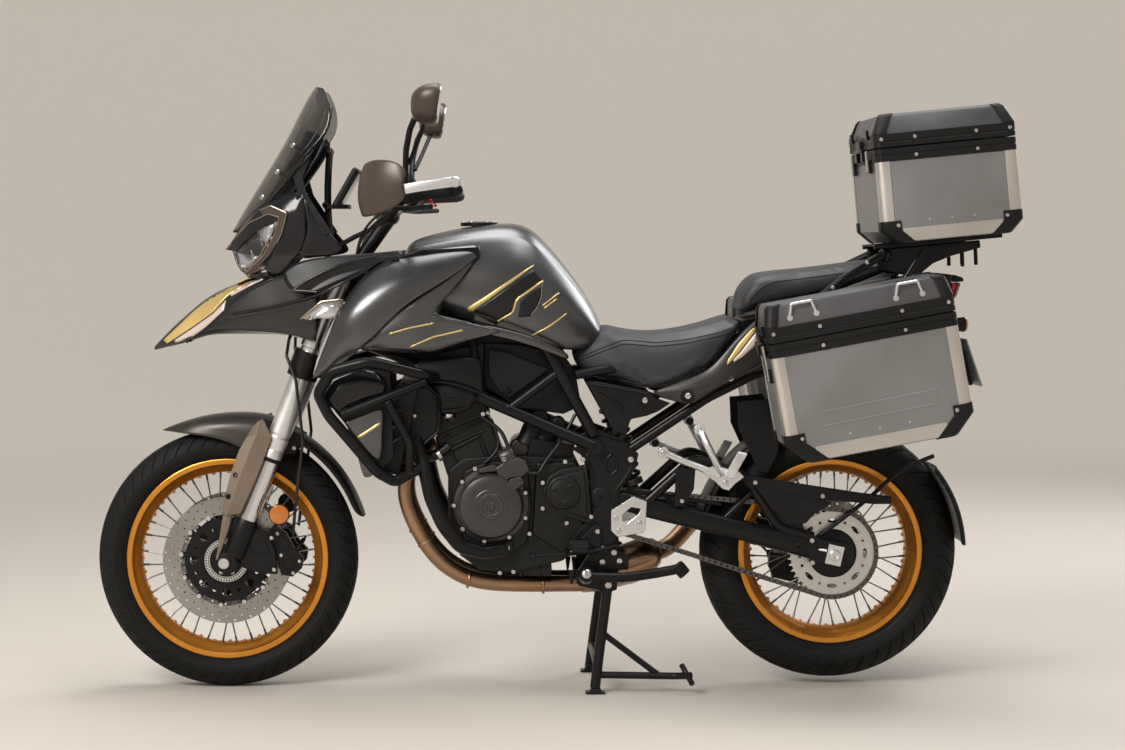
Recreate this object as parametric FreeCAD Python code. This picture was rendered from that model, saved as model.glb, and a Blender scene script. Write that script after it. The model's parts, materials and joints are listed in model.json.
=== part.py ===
"""Adventure motorcycle on its centre stand, as separate jointed parts.

Millimetres.  +Z is up, +X is to the rear, -Y is the rider's left.
The functions below count X from the front axle; keep() moves every finished
part by SHIFT_X so that X = 0 is the middle of the machine's length.
"""
import FreeCAD, Part
import math
import os

V = FreeCAD.Vector

SHIFT_X = -828.0
WHEELBASE = 1533.0

# Wheels: tyre radius, half width, rim flange radius, bead half width.
FRONT_TYRE_R = 329.3
FRONT_TYRE_HALF = 55.0
FRONT_FLANGE_R = 254.5
FRONT_BEAD_HALF = 38.0
REAR_TYRE_R = 330.0
REAR_TYRE_HALF = 75.0
REAR_FLANGE_R = 236.0
REAR_BEAD_HALF = 56.0
REAR_LIFT = 14.0
REAR_AXLE_Z = REAR_TYRE_R + REAR_LIFT
FRONT_DISC_R = 160.0
REAR_DISC_R = 130.0
SPROCKET_R = 114.0
SPROCKET_X = 880.0
SPROCKET_Z = 478.0
SPOKE_R = 2.0
SPOKES_A_SIDE = 18

# Steering: rake from upright, leg spacing, and where the leg line passes.
RAKE = math.radians(21.0)
LEG_Y = 106.0
LEG_BACK = 16.0
YOKE_OFFSET = 27.0
STEERING_ROOM_R = 155.0
STANCHION_R = 25.0
AXLE_BORE_R = 8.0
DEVICE_BAR_R = 6.0
SIDE_PIVOT_LEAN = math.radians(20.0)
UPPER_TUBE_R = 29.0

# Threaded spool bosses on the swingarm for a paddock stand.
SPOOL_X = 1440.0
SPOOL_Z = 366.0
SPOOL_Y = 140.0
SPOOL_HOLE_R = 4.0

# Frame tubes.
FRAME_TUBE_R = 15.0
RAIL_TUBE_R = 12.0
CRASH_BAR_R = 12.5

# Cases.
WALL = 3.0
PANNIER_TILT = math.radians(10.4)
PANNIER_OUT_Y = 475.0
PANNIER_IN_Y = 250.0
PANNIER_LONG = 450.0
PANNIER_DEEP = 290.0
PANNIER_LID = 91.0
TOP_TILT = math.radians(5.5)
TOP_HALF_Y = 205.0
TOP_LONG = 348.0
TOP_DEEP = 235.0
HINGE_AHEAD = -11.0
TOP_LID = 84.0

made = {}


def keep(name, shape):
    """Store a finished part under its node name, moved to the shared origin."""
    moved = shape.copy()
    moved.translate(V(SHIFT_X, 0, 0))
    made[name] = moved


def both_sides(shape):
    """The shape and its mirror image across the centre plane."""
    return Part.makeCompound([shape, shape.mirror(V(0, 0, 0), V(0, 1, 0))])


def fuse(shapes):
    """One shape from several that touch or overlap."""
    solid = shapes[0]
    if len(shapes) > 1:
        solid = shapes[0].multiFuse(shapes[1:])
    return solid.removeSplitter()


def block(x0, x1, y0, y1, z0, z1):
    return Part.makeBox(x1 - x0, y1 - y0, z1 - z0, V(x0, y0, z0))


def round_y(x, z, radius, y0, y1):
    """A round bar across the machine."""
    return Part.makeCylinder(radius, y1 - y0, V(x, y0, z), V(0, 1, 0))


def round_bar(start, end, radius):
    a = V(*start)
    run = V(*end) - a
    return Part.makeCylinder(radius, run.Length, a, run)


def outline(points, y):
    """A closed wire of X, Z corners standing at one Y."""
    corners = [V(x, y, z) for x, z in points]
    return Part.makePolygon(corners + [corners[0]])


def side_plate(points, y0, y1):
    """A flat plate with the outline of X, Z corners, from y0 to y1."""
    face = Part.Face(outline(points, y0))
    return face.extrude(V(0, y1 - y0, 0))


def bent_path(points, bend):
    """A wire of straight runs with round corners."""
    corners = [V(*p) for p in points]
    edges = []
    start = corners[0]
    for before, here, after in zip(corners, corners[1:], corners[2:]):
        come = here - before
        go = after - here
        half = come.getAngle(go) / 2
        if half < 0.01:
            continue
        room = 0.45 * min(come.Length, go.Length)
        cut = min(bend * math.tan(half), room)
        come.normalize()
        go.normalize()
        a = here - come * cut
        b = here + go * cut
        radius = cut / math.tan(half)
        inward = (a + b) * 0.5 - here
        inward.normalize()
        middle = here + inward * (radius / math.cos(half) - radius)
        edges.append(Part.makeLine(start, a))
        edges.append(Part.Arc(a, middle, b).toShape())
        start = b
    edges.append(Part.makeLine(start, corners[-1]))
    return Part.Wire(edges)


def tube(points, radius, bend=60.0):
    """A round tube, closed at both ends, bent at each inner point."""
    path = bent_path(points, bend)
    start = V(*points[0])
    ring = Part.Wire(Part.makeCircle(radius, start, V(*points[1]) - start))
    return path.makePipeShell([ring], True, False)


def loft(sections, ruled=True):
    """A solid through closed wires of corner points."""
    wires = []
    for section in sections:
        corners = [V(*p) for p in section]
        wires.append(Part.makePolygon(corners + [corners[0]]))
    return Part.makeLoft(wires, True, ruled)


def faceted(corners, triangles):
    """A closed solid from corner points and triangles of their numbers."""
    skin = Part.Shape()
    skin.makeShapeFromMesh(([V(*c) for c in corners], triangles), 0.01)
    solid = Part.makeSolid(skin)
    if solid.Volume < 0:
        solid.reverse()
    return solid


def sheet(rows, thick):
    """A plate through rows of corners, its back set off by thick (dx, dy, dz)."""
    wide = len(rows[0])
    front = [c for row in rows for c in row]
    back = [(x + thick[0], y + thick[1], z + thick[2]) for x, y, z in front]
    count = len(front)
    triangles = []
    for i in range(len(rows) - 1):
        for j in range(wide - 1):
            a = i * wide + j
            b, c, d = a + 1, a + wide + 1, a + wide
            triangles += [(a, b, c), (a, c, d)]
            triangles += [(a + count, c + count, b + count), (a + count, d + count, c + count)]
    edge = [j for j in range(wide)]
    edge += [i * wide + wide - 1 for i in range(1, len(rows))]
    edge += [(len(rows) - 1) * wide + j for j in range(wide - 2, -1, -1)]
    edge += [i * wide for i in range(len(rows) - 2, 0, -1)]
    for a, b in zip(edge, edge[1:] + edge[:1]):
        triangles += [(b, a, a + count), (b, a + count, b + count)]
    return faceted(front + back, triangles)


def plate_of(corners, faces, thick):
    """A plate of flat pieces: its back is the same corners set off by thick."""
    count = len(corners)
    back = [(x + thick[0], y + thick[1], z + thick[2]) for x, y, z in corners]
    triangles = []
    edges = []
    for face in faces:
        for b, c in zip(face[1:], face[2:]):
            a = face[0]
            triangles += [(a, b, c), (a + count, c + count, b + count)]
        edges += list(zip(face, face[1:] + face[:1]))
    for a, b in edges:
        if (b, a) not in edges:
            triangles += [(b, a, a + count), (b, a + count, b + count)]
    return faceted(corners + back, triangles)


def skin(sections):
    """A solid through closed rings of corners, its ends fanned from their middles."""
    wide = len(sections[0])
    corners = [c for ring in sections for c in ring]
    triangles = []
    for i in range(len(sections) - 1):
        for j in range(wide):
            k = (j + 1) % wide
            a, b = i * wide + j, i * wide + k
            c, d = b + wide, a + wide
            triangles += [(a, b, c), (a, c, d)]
    for ring, first, flip in ((sections[0], 0, True), (sections[-1], len(corners) - wide, False)):
        middle = tuple(sum(c[axis] for c in ring) / wide for axis in range(3))
        corners.append(middle)
        last = len(corners) - 1
        for j in range(wide):
            a, b = first + j, first + (j + 1) % wide
            triangles.append((b, a, last) if flip else (a, b, last))
    return faceted(corners, triangles)


def ring_of(points, x, z):
    """A ring about a wheel axle from a section of Y, radius corners."""
    corners = [V(x, y, z + r) for y, r in points]
    face = Part.Face(Part.makePolygon(corners + [corners[0]]))
    return face.revolve(V(x, 0, z), V(0, 1, 0), 360)


def leg_x(z):
    """X of the fork leg line at a height."""
    return LEG_BACK + (z - FRONT_TYRE_R) * math.tan(RAKE)


def on_leg(z, ahead=0.0, y=LEG_Y):
    """A point on a fork leg's line, moved ahead square to it."""
    return (leg_x(z) - ahead * math.cos(RAKE), y, z + ahead * math.sin(RAKE))


def on_steering(z):
    """A point on the steering axis."""
    return (leg_x(z) + YOKE_OFFSET / math.cos(RAKE), 0, z)


def on_side_pivot(inward):
    """A point on the side stand's pivot line, measured in from its boss."""
    return (905, -170 + inward * math.cos(SIDE_PIVOT_LEAN), 300 - inward * math.sin(SIDE_PIVOT_LEAN))


def steering_room():
    """The round space that the fork and yokes need to swing in."""
    return round_bar(on_steering(700), on_steering(1125), STEERING_ROOM_R)


# ---------------------------------------------------------------- wheels

def tyre(x, z, radius, half, flange, bead):
    """Hollow tyre: crown and side arcs outside, the same inside."""
    shoulder = flange + 0.42 * (radius - flange)
    seat = flange - 10.5
    thick = 9.0

    def at(y, r):
        return V(x, y, z + r)

    rise = shoulder - flange
    middle = (half ** 2 - bead ** 2 - rise ** 2) / (2 * (half - bead))
    turn = math.atan2(rise, bead - middle) / 2
    side_y = middle + (half - middle) * math.cos(turn)
    side_r = shoulder - (half - middle) * math.sin(turn)
    edges = [Part.makeLine(at(bead, seat), at(bead, flange))]
    edges.append(Part.Arc(at(bead, flange), at(side_y, side_r), at(half, shoulder)).toShape())
    edges.append(Part.Arc(at(half, shoulder), at(0, radius), at(-half, shoulder)).toShape())
    edges.append(Part.Arc(at(-half, shoulder), at(-side_y, side_r), at(-bead, flange)).toShape())
    edges.append(Part.makeLine(at(-bead, flange), at(-bead, seat)))
    inner_bead = bead - 7
    inner = half - thick
    edges.append(Part.makeLine(at(-bead, seat), at(-inner_bead, seat)))
    edges.append(Part.makeLine(at(-inner_bead, seat), at(-inner, shoulder)))
    edges.append(Part.Arc(at(-inner, shoulder), at(0, radius - thick), at(inner, shoulder)).toShape())
    edges.append(Part.makeLine(at(inner, shoulder), at(inner_bead, seat)))
    edges.append(Part.makeLine(at(inner_bead, seat), at(bead, seat)))
    face = Part.Face(Part.Wire(edges))
    return face.revolve(V(x, 0, z), V(0, 1, 0), 360)


def rim(x, z, flange, bead):
    """Rolled rim with a drop centre."""
    seat = flange - 10.5
    outer = [(-bead - 4, flange), (-bead, flange), (-bead, seat), (-bead + 13, seat),
             (-14, seat - 13), (14, seat - 13), (bead - 13, seat), (bead, seat),
             (bead, flange), (bead + 4, flange)]
    inner = [(bead + 4, seat - 3), (bead - 10, seat - 5), (14, seat - 20),
             (-14, seat - 20), (-bead + 10, seat - 5), (-bead - 4, seat - 3)]
    return ring_of(outer + inner, x, z)


def spokes(x, z, hub_y, hub_r, rim_r, rim_y):
    """Crossed wire spokes, a set from each hub flange."""
    wires = []
    step = 2 * math.pi / SPOKES_A_SIDE
    for side in (-1, 1):
        for i in range(SPOKES_A_SIDE):
            lean = 0.62 if i % 2 else -0.62
            out = (i + 0.25 * side) * step
            root = out + lean
            a = (x + hub_r * math.cos(root), side * hub_y, z + hub_r * math.sin(root))
            b = (x + rim_r * math.cos(out), side * rim_y, z + rim_r * math.sin(out))
            wires.append(round_bar(a, b, SPOKE_R))
    return wires


def disc(x, z, radius, y0, y1, hole):
    """Brake disc with rows of drilled holes."""
    plate = round_y(x, z, radius, y0, y1).cut(round_y(x, z, hole, y0 - 1, y1 + 1))
    return plate


def front_wheel():
    x, z = 0.0, FRONT_TYRE_R
    keep("front_tyre", tyre(x, z, FRONT_TYRE_R, FRONT_TYRE_HALF, FRONT_FLANGE_R, FRONT_BEAD_HALF))
    keep("front_rim", rim(x, z, FRONT_FLANGE_R, FRONT_BEAD_HALF))
    core = [round_y(x, z, 26, -62, 62), round_y(x, z, 34, -44, -30), round_y(x, z, 34, 30, 44)]
    for side in (-1, 1):
        y0, y1 = sorted((side * 62, side * 67))
        core.append(disc(x, z, FRONT_DISC_R, y0, y1, 112))
        core.append(disc(x, z, 113, y0 + 1, y1 - 1, 62))
        core.append(round_y(x, z, 66, *sorted((side * 55, side * 66))))
    core += spokes(x, z, 37, 31, FRONT_FLANGE_R - 30.2, 6)
    hub = fuse(core).cut(round_y(x, z, 12.5, -80, 80))
    keep("front_hub", hub)


def rear_wheel():
    x, z = WHEELBASE, REAR_AXLE_Z
    keep("rear_tyre", tyre(x, z, REAR_TYRE_R, REAR_TYRE_HALF, REAR_FLANGE_R, REAR_BEAD_HALF))
    keep("rear_rim", rim(x, z, REAR_FLANGE_R, REAR_BEAD_HALF))
    core = [round_y(x, z, 34, -78, 80), round_y(x, z, 52, -50, -36), round_y(x, z, 44, 36, 50)]
    core.append(disc(x, z, SPROCKET_R, -95, -88, 50))
    core.append(round_y(x, z, 66, -88, -60))
    core.append(round_y(x, z, 54, 60, 80))
    core.append(disc(x, z, REAR_DISC_R, 80, 85, 88))
    core.append(disc(x, z, 89, 80, 84, 50))
    core += spokes(x, z, 43, 44, REAR_FLANGE_R - 30.2, 8)
    hub = fuse(core).cut(round_y(x, z, 12.5, -100, 100))
    keep("rear_hub", hub)


# -------------------------------------------------------------- steering

def yokes():
    """Both yokes and the steering stem."""
    parts = []
    for z, thick, reach in ((835, 46, 24), (1062, 28, 20)):
        bridge = Part.makeBox(62 + reach, 2 * LEG_Y, thick, V(-reach, -LEG_Y, -thick / 2))
        bridge.rotate(V(0, 0, 0), V(0, 1, 0), math.degrees(RAKE))
        bridge.translate(V(leg_x(z), 0, z))
        parts.append(bridge)
        for y in (-LEG_Y, LEG_Y):
            a = on_leg(z - thick / 2 * math.cos(RAKE), 0, y)
            b = on_leg(z + thick / 2 * math.cos(RAKE), 0, y)
            parts.append(round_bar(a, b, UPPER_TUBE_R + 11))
    parts.append(round_bar(on_steering(830), on_steering(1078), 16.5))
    parts.append(round_bar(on_steering(1072), on_steering(1086), 26))
    solid = fuse(parts)
    for y in (-LEG_Y, LEG_Y):
        solid = solid.cut(round_bar(on_leg(760, 0, y), on_leg(1120, 0, y), UPPER_TUBE_R))
    keep("yokes", solid)


def fork():
    uppers, lowers, guards = [], [], []
    for y in (-LEG_Y, LEG_Y):
        side = 1 if y > 0 else -1
        outer = round_bar(on_leg(586, 0, y), on_leg(1078, 0, y), UPPER_TUBE_R)
        seal = round_bar(on_leg(580, 0, y), on_leg(600, 0, y), UPPER_TUBE_R + 2)
        uppers.append(fuse([outer, seal]).cut(round_bar(on_leg(540, 0, y), on_leg(700, 0, y), STANCHION_R)))
        leg = round_bar(on_leg(372, 0, y), on_leg(698, 0, y), STANCHION_R)
        shoe = round_bar(on_leg(330, 0, y), on_leg(440, 0, y), STANCHION_R + 5)
        lug = round_y(8, FRONT_TYRE_R, 27, *sorted((y - side * 26, y + side * 24)))
        ear = side_plate([(120, 330), (165, 285), (190, 318), (140, 420), (70, 440), (40, 395)],
                         y - 8, y + 8)
        lowers.append(fuse([leg, shoe, lug, ear]))
        inner = sorted((y + side * 6, y + side * 40))
        shield = side_plate([(86, 694), (122, 672), (46, 453), (0, 453), (40, 600)], *inner)
        shield = shield.cut(round_bar(on_leg(380, 0, y), on_leg(760, 0, y), UPPER_TUBE_R + 4))
        guards.append(shield)
    axle = round_y(0, FRONT_TYRE_R, 12, -LEG_Y - 30, LEG_Y + 30)
    bore = round_y(0, FRONT_TYRE_R, AXLE_BORE_R, -LEG_Y - 40, LEG_Y + 40)
    keep("fork_uppers", Part.makeCompound(uppers))
    keep("fork_lowers", fuse(lowers + [axle]).cut(bore))
    keep("fork_guards", Part.makeCompound(guards))


def front_calipers():
    pads = []
    for side in (-1, 1):
        body = side_plate([(112, 330), (150, 270), (184, 292), (168, 392), (120, 388)],
                          *sorted((side * 50, side * 96)))
        gap = round_y(0, FRONT_TYRE_R, FRONT_DISC_R + 6, *sorted((side * 57, side * 72)))
        pads.append(body.cut(gap))
    keep("front_calipers", Part.makeCompound(pads))


def front_mudguard():
    """Arched guard close over the front tyre, longer to the rear."""
    z = FRONT_TYRE_R
    section = [(-66, 306), (-70, 306), (-70, 338), (-52, 358), (0, 368), (52, 358),
               (70, 338), (70, 306), (66, 306), (66, 336), (49, 352), (0, 361.5),
               (-49, 352), (-66, 336)]
    corners = [V(0, y, z + r) for y, r in section]
    face = Part.Face(Part.makePolygon(corners + [corners[0]]))
    face.rotate(V(0, 0, z), V(0, 1, 0), -28)
    arch = face.revolve(V(0, 0, z), V(0, 1, 0), 100)
    low = side_plate([(-400, 0), (500, 0), (500, 470), (330, 430), (60, 610), (-60, 640), (-400, 655)],
                     -90, 90)
    keep("front_mudguard", arch.cut(low))


def handlebar():
    half = [(415, 0, 1196), (418, -80, 1196), (452, -215, 1246), (590, -432, 1256)]
    left = tube(half, 12, 40)
    right = left.mirror(V(0, 0, 0), V(0, 1, 0))
    bar = fuse([left, right])
    keep("handlebar", bar)
    clamps = []
    for y in (-45, 45):
        post = round_bar((on_steering(1062)[0] - 10, y, 1058), (415, y, 1196), 17)
        cap = round_y(415, 1196, 21, y - 18, y + 18)
        clamps.append(fuse([post, cap]).cut(round_y(415, 1196, 12, y - 30, y + 30)))
    return clamps


def grips():
    items = []
    a, b = (478, -256, 1248), (584, -423, 1255.6)
    start, end = V(*a), V(*b)
    run = end - start
    grip = Part.makeCylinder(17, run.Length, start, run)
    bore = Part.makeCylinder(12, run.Length * 3, start - run, run)
    items.append(grip.cut(bore))
    run.normalize()
    pod = Part.makeCylinder(26, 40, start - run * 44, run).cut(bore)
    items.append(pod)
    lever = tube([(452, -224, 1222), (430, -270, 1206), (520, -405, 1210)], 7, 30)
    items.append(lever)
    keep("hand_controls", both_sides(fuse(items)))


def handguards():
    bar = tube([(592, -440, 1258), (560, -462, 1278), (380, -372, 1236), (352, -300, 1222),
                (430, -180, 1226)], 9, 30)
    shield = skin([
        [(345, -310, 1200), (350, -318, 1200), (352, -330, 1290), (347, -322, 1290)],
        [(356, -385, 1188), (362, -390, 1188), (372, -398, 1322), (366, -392, 1322)],
        [(430, -448, 1205), (436, -444, 1205), (436, -440, 1330), (430, -444, 1330)],
        [(470, -462, 1250), (475, -458, 1250), (474, -456, 1292), (469, -460, 1292)]])
    keep("handguards", both_sides(fuse([bar, shield])))


def mirrors():
    stem = tube([(462, -236, 1262), (456, -262, 1300), (458, -290, 1350), (485, -330, 1398)], 8, 30)
    boss = round_bar((466, -232, 1244), (461, -238, 1270), 14)
    shell = skin([
        [(470, -330, 1405), (475, -440, 1425), (500, -455, 1500), (498, -345, 1508), (480, -318, 1440)],
        [(505, -322, 1398), (515, -446, 1418), (540, -462, 1505), (538, -340, 1514), (520, -310, 1440)]])
    keep("mirrors", both_sides(fuse([stem, boss, shell])))


def brake_hoses():
    left = tube([(170, -94, 398), (178, -118, 470), (200, -150, 640), (184, -156, 790),
                 (160, -140, 850), (164, -104, 890), (216, -78, 1000), (238, -60, 1062),
                 (264, -66, 1112), (326, -98, 1146), (400, -150, 1178), (438, -196, 1220)], 4, 18)
    keep("brake_hoses", both_sides(left))


# ------------------------------------------------------------ main frame

def main_frame():
    """Head tube, trellis side tubes, pivot plates and cross tubes."""
    parts = [round_bar(on_steering(872), on_steering(1032), 32)]
    for s in (-1, 1):
        y = s * 150
        parts.append(tube([(235, s * 26, 905), (345, s * 50, 878), (430, s * 118, 850), (640, y, 746),
                           (925, y, 622)], FRAME_TUBE_R, 45))
        parts.append(tube([(290, s * 26, 985), (520, s * 110, 950), (800, s * 140, 880),
                           (925, s * 140, 650)], FRAME_TUBE_R, 60))
        parts.append(round_bar((645, y, 744), (615, s * 122, 925), 11))
        parts.append(round_bar((712, y, 716), (842, s * 140, 812), 11))
        plate = side_plate([(880, 640), (926, 665), (994, 640), (1022, 600), (985, 526), (990, 330),
                            (984, 258), (961, 250), (936, 258), (888, 268), (884, 300), (914, 350),
                            (925, 536)], s * 117 - 9, s * 117 + 9)
        parts.append(plate)
        parts.append(round_y(925, 622, 20, *sorted((s * 108, s * 160))))
    parts.append(round_y(955, 345, 14, -118, 118))
    parts.append(round_y(985, 610, 14, -118, 118))
    parts.append(round_bar(on_side_pivot(13), on_side_pivot(58), 14))
    solid = fuse(parts)
    solid = solid.cut(round_bar(on_steering(800), on_steering(1100), 17.5))
    keep("main_frame", solid)


def rear_subframe():
    parts = []
    for s in (-1, 1):
        y = s * 118
        parts.append(tube([(1000, y, 600), (1210, y, 740), (1330, y, 800), (1700, s * 100, 905)],
                          RAIL_TUBE_R, 60))
        parts.append(tube([(880, s * 128, 800), (1240, s * 110, 860), (1560, s * 95, 985),
                           (1800, s * 80, 1015)], RAIL_TUBE_R, 60))
        parts.append(round_bar((1210, y, 740), (1300, s * 108, 880), 9))
        parts.append(round_bar((1560, s * 107, 868), (1640, s * 92, 990), 9))
    parts.append(round_y(1210, 740, 10, -118, 118))
    parts.append(round_y(1560, 985, 10, -95, 95))
    parts.append(round_y(1780, 1013, 10, -81, 81))
    keep("rear_subframe", fuse(parts))


def engine():
    """Crankcase block with sump, covers and the inclined cylinders."""
    case = side_plate([(560, 560), (600, 590), (700, 600), (880, 590), (915, 520), (905, 400),
                       (850, 320), (740, 288), (640, 300), (590, 345), (560, 430)], -140, 140)
    barrel = side_plate([(520, 672), (655, 724), (705, 590), (600, 540), (560, 540)], -120, 120)
    head = side_plate([(500, 690), (650, 750), (668, 700), (515, 640)], -128, 128)
    covers = [round_y(670, 476, 80, -188, -138), round_y(850, 507, 57, -168, -138),
              round_y(690, 480, 92, 138, 180), round_y(840, 500, 50, 138, 165)]
    solid = fuse([case, barrel, head] + covers)
    solid = solid.cut(block(SPROCKET_X - 54, 940, -106, -76, 385, 540))
    hub = round_y(SPROCKET_X, SPROCKET_Z, 33, -99, -84)
    shaft = round_y(SPROCKET_X, SPROCKET_Z, 14, -107, -75)
    keep("engine", fuse([solid, hub, shaft]))


def radiator():
    core = block(0, 50, -170, 170, 0, 230)
    core.rotate(V(0, 0, 0), V(0, 1, 0), 12)
    core.translate(V(392, 0, 560))
    keep("radiator", core)


def exhaust():
    pipes = []
    for y in (-62, 62):
        pipes.append(tube([(535, y, 610), (462, y, 560), (466, y, 470), (508, y, 372),
                           (620, y * 0.9, 262), (900, y * 0.8, 262)], 21, 60))
    box_part = side_plate([(890, 236), (1085, 268), (1110, 330), (1080, 372), (1000, 372), (890, 295)],
                          -88, 88)
    link = tube([(1040, 60, 320), (1130, 120, 330), (1200, 178, 400), (1260, 182, 450)], 24, 60)
    can = round_bar((1250, 182, 442), (1640, 192, 640), 52)
    keep("exhaust", fuse(pipes + [box_part, link, can]))


# ------------------------------------------------------------ body panels

def fuel_tank():
    """Tall tank with a shoulder ridge, full sides and a rear that narrows to the seat."""
    # x, top, lower edge, half width at the side, at the shoulder and at the crown
    stations = [
        (452, 1110, 985, 120, 92, 50), (470, 1133, 975, 150, 108, 62), (520, 1152, 958, 178, 120, 72),
        (602, 1171, 937, 190, 128, 78), (693, 1181, 917, 194, 132, 80), (740, 1178, 902, 193, 132, 80),
        (792, 1150, 882, 186, 124, 74), (847, 1087, 860, 170, 108, 64), (897, 1019, 862, 140, 84, 52),
        (930, 965, 868, 112, 62, 40), (948, 920, 872, 84, 44, 28)]
    rings = []
    for x, top, low, side, shoulder, crown in stations:
        tall = top - low
        half = [(side * 0.82, low), (side * 0.97, low + tall * 0.12), (side, low + tall * 0.38),
                (side * 0.88, low + tall * 0.66), (shoulder, low + tall * 0.85), (crown, low + tall * 0.97)]
        left = [(x, -y, z) for y, z in half]
        right = [(x, y, z) for y, z in reversed(half)]
        rings.append(left + [(x, 0, top)] + right)
    keep("fuel_tank", skin(rings))


def side_shrouds():
    """Each side: a swept blade from its low front tip to the tank, and a flank behind its groove."""
    blade = sheet([
        [(227, -200, 797), (238, -204, 800), (252, -207, 805), (269, -208, 813)],
        [(246, -206, 850), (268, -218, 848), (298, -226, 850), (331, -228, 852)],
        [(268, -208, 905), (292, -228, 900), (318, -238, 893), (345, -240, 886)],
        [(302, -204, 978), (320, -228, 958), (345, -246, 940), (378, -246, 924)],
        [(262, -174, 1006), (305, -205, 1000), (355, -238, 985), (430, -246, 972)],
        [(320, -172, 1046), (360, -200, 1030), (415, -226, 1012), (500, -240, 1018)],
        [(400, -168, 1092), (440, -188, 1078), (500, -206, 1060), (570, -222, 1048)],
        [(500, -160, 1114), (530, -172, 1106), (570, -182, 1094), (610, -196, 1070)],
        [(620, -162, 1123), (632, -166, 1118), (636, -170, 1110), (638, -176, 1100)]], (0, 14, 0))
    corners = [(342, -222, 878), (399, -229, 942), (470, -226, 1000), (560, -206, 1046), (628, -176, 1086),
               (344, -222, 868), (405, -236, 905), (468, -234, 930), (523, -222, 957), (584, -204, 1022),
               (636, -172, 1094), (410, -226, 866), (464, -224, 862), (525, -216, 860), (592, -210, 884),
               (589, -212, 939), (692, -198, 916), (664, -202, 906)]
    faces = [(0, 1, 6, 5), (1, 2, 7, 6), (2, 8, 7), (2, 3, 9, 8), (3, 4, 10, 9), (5, 6, 11), (6, 7, 12, 11),
             (7, 8, 13, 12), (8, 15, 14, 13), (15, 16, 17, 14)]
    flank = plate_of(corners, faces, (0, 14, 0))
    keep("side_shrouds", both_sides(Part.makeCompound([blade, flank.cut(blade)])))


def side_covers():
    """Black panels below the tank and the seat, and round the radiator."""
    infill = side_plate([(540, 858), (660, 880), (850, 838), (812, 813), (708, 738), (640, 762), (520, 800)],
                        -132, -120)
    duct = side_plate([(259, 740), (330, 800), (410, 800), (424, 570), (375, 557), (308, 681)], -214, -204)
    cheek = side_plate([(462, 832), (617, 848), (644, 753), (609, 713), (545, 702), (542, 749), (514, 781)],
                       -172, -162)
    cheek = cheek.cut(round_bar((560, -125, 790), (480, -262, 814), CRASH_BAR_R + 3))
    cover = side_plate([(905, 784), (937, 783), (1068, 758), (1118, 729), (1057, 697), (1018, 689),
                        (1004, 648), (974, 660)], -146, -142)
    lug = side_plate([(968, 700), (1000, 690), (1000, 628), (968, 628)], -142, -126)
    keep("side_covers", both_sides(Part.makeCompound([infill, duct, cheek, fuse([cover, lug])])))


def beak():
    """Pointed beak that widens into flanks beside the fork, hollowed where the fork swings."""
    # x, then (half width, height) of the lower edge, side, crease and top edge, and the top's middle
    stations = [
        (-183, (10, 857), (14, 859), (12, 861), (7, 864), 865),
        (-100, (30, 878), (48, 882), (42, 905), (24, 942), 950),
        (-45, (50, 898), (72, 915), (62, 950), (42, 990), 992),
        (10, (66, 902), (92, 930), (92, 955), (60, 1026), 1018),
        (100, (92, 902), (124, 910), (128, 968), (78, 1054), 1040),
        (160, (108, 903), (146, 907), (150, 980), (92, 1066), 1050),
        (236, (152, 884), (176, 886), (176, 998), (150, 1078), 1070)]
    rings = []
    for x, low, side, crease, top, middle in stations:
        half = [(x, -y, z) for y, z in (low, side, crease, top)]
        other = [(x, y, z) for y, z in (top, crease, side, low)]
        rings.append(half + [(x, 0, middle)] + other)
    keep("beak", skin(rings).cut(steering_room()))


def front_cowl():
    """Lamp housing with side wings, and a lens let into each front corner."""
    # x, then (half width, height) of the bottom, side and upper corner, and the middle's top
    stations = [
        (11, (30, 1096), (42, 1117), (30, 1129), 1131),
        (40, (60, 1066), (86, 1112), (66, 1164), 1176),
        (100, (94, 1060), (120, 1120), (106, 1208), 1222),
        (160, (118, 1072), (142, 1135), (120, 1258), 1268),
        (205, (140, 1098), (152, 1150), (122, 1240), 1250),
        (272, (152, 1124), (156, 1146), (134, 1178), 1184)]
    rings = []
    for x, low, side, upper, middle in stations:
        half = [(x, -y, z) for y, z in (low, side, upper)]
        other = [(x, y, z) for y, z in (upper, side, low)]
        rings.append(half + [(x, 0, middle)] + other)
    body = skin(rings).cut([steering_room(), block(185, 300, -116, 116, 1000, 1300)])
    keep("front_cowl", body)
    lens = sheet([
        [(14, -40, 1124), (40, -70, 1158), (66, -94, 1180), (118, -121, 1206), (150, -136, 1180)],
        [(26, -60, 1086), (42, -82, 1112), (68, -104, 1128), (110, -124, 1134), (134, -132, 1130)],
        [(34, -62, 1072), (48, -74, 1060), (70, -88, 1056), (96, -102, 1060), (116, -112, 1070)]], (5, 14, 0))
    keep("headlamp", both_sides(lens))


def windscreen():
    """Curved clear screen, 4 mm thick, leaning back."""
    def row(x, z, half, back):
        places = ((-1, 1.0), (-0.6, 0.38), (0, 0), (0.6, 0.38), (1, 1.0))
        return [(x + back * b, half * a, z - back * b * 0.35) for a, b in places]
    keep("windscreen", sheet([row(14, 1160, 34, 8), row(60, 1240, 105, 50), row(106, 1316, 135, 70),
                              row(160, 1405, 142, 76), row(203, 1487, 128, 66), row(224, 1524, 95, 34)],
                             (4.5, 0, -2)))


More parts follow.
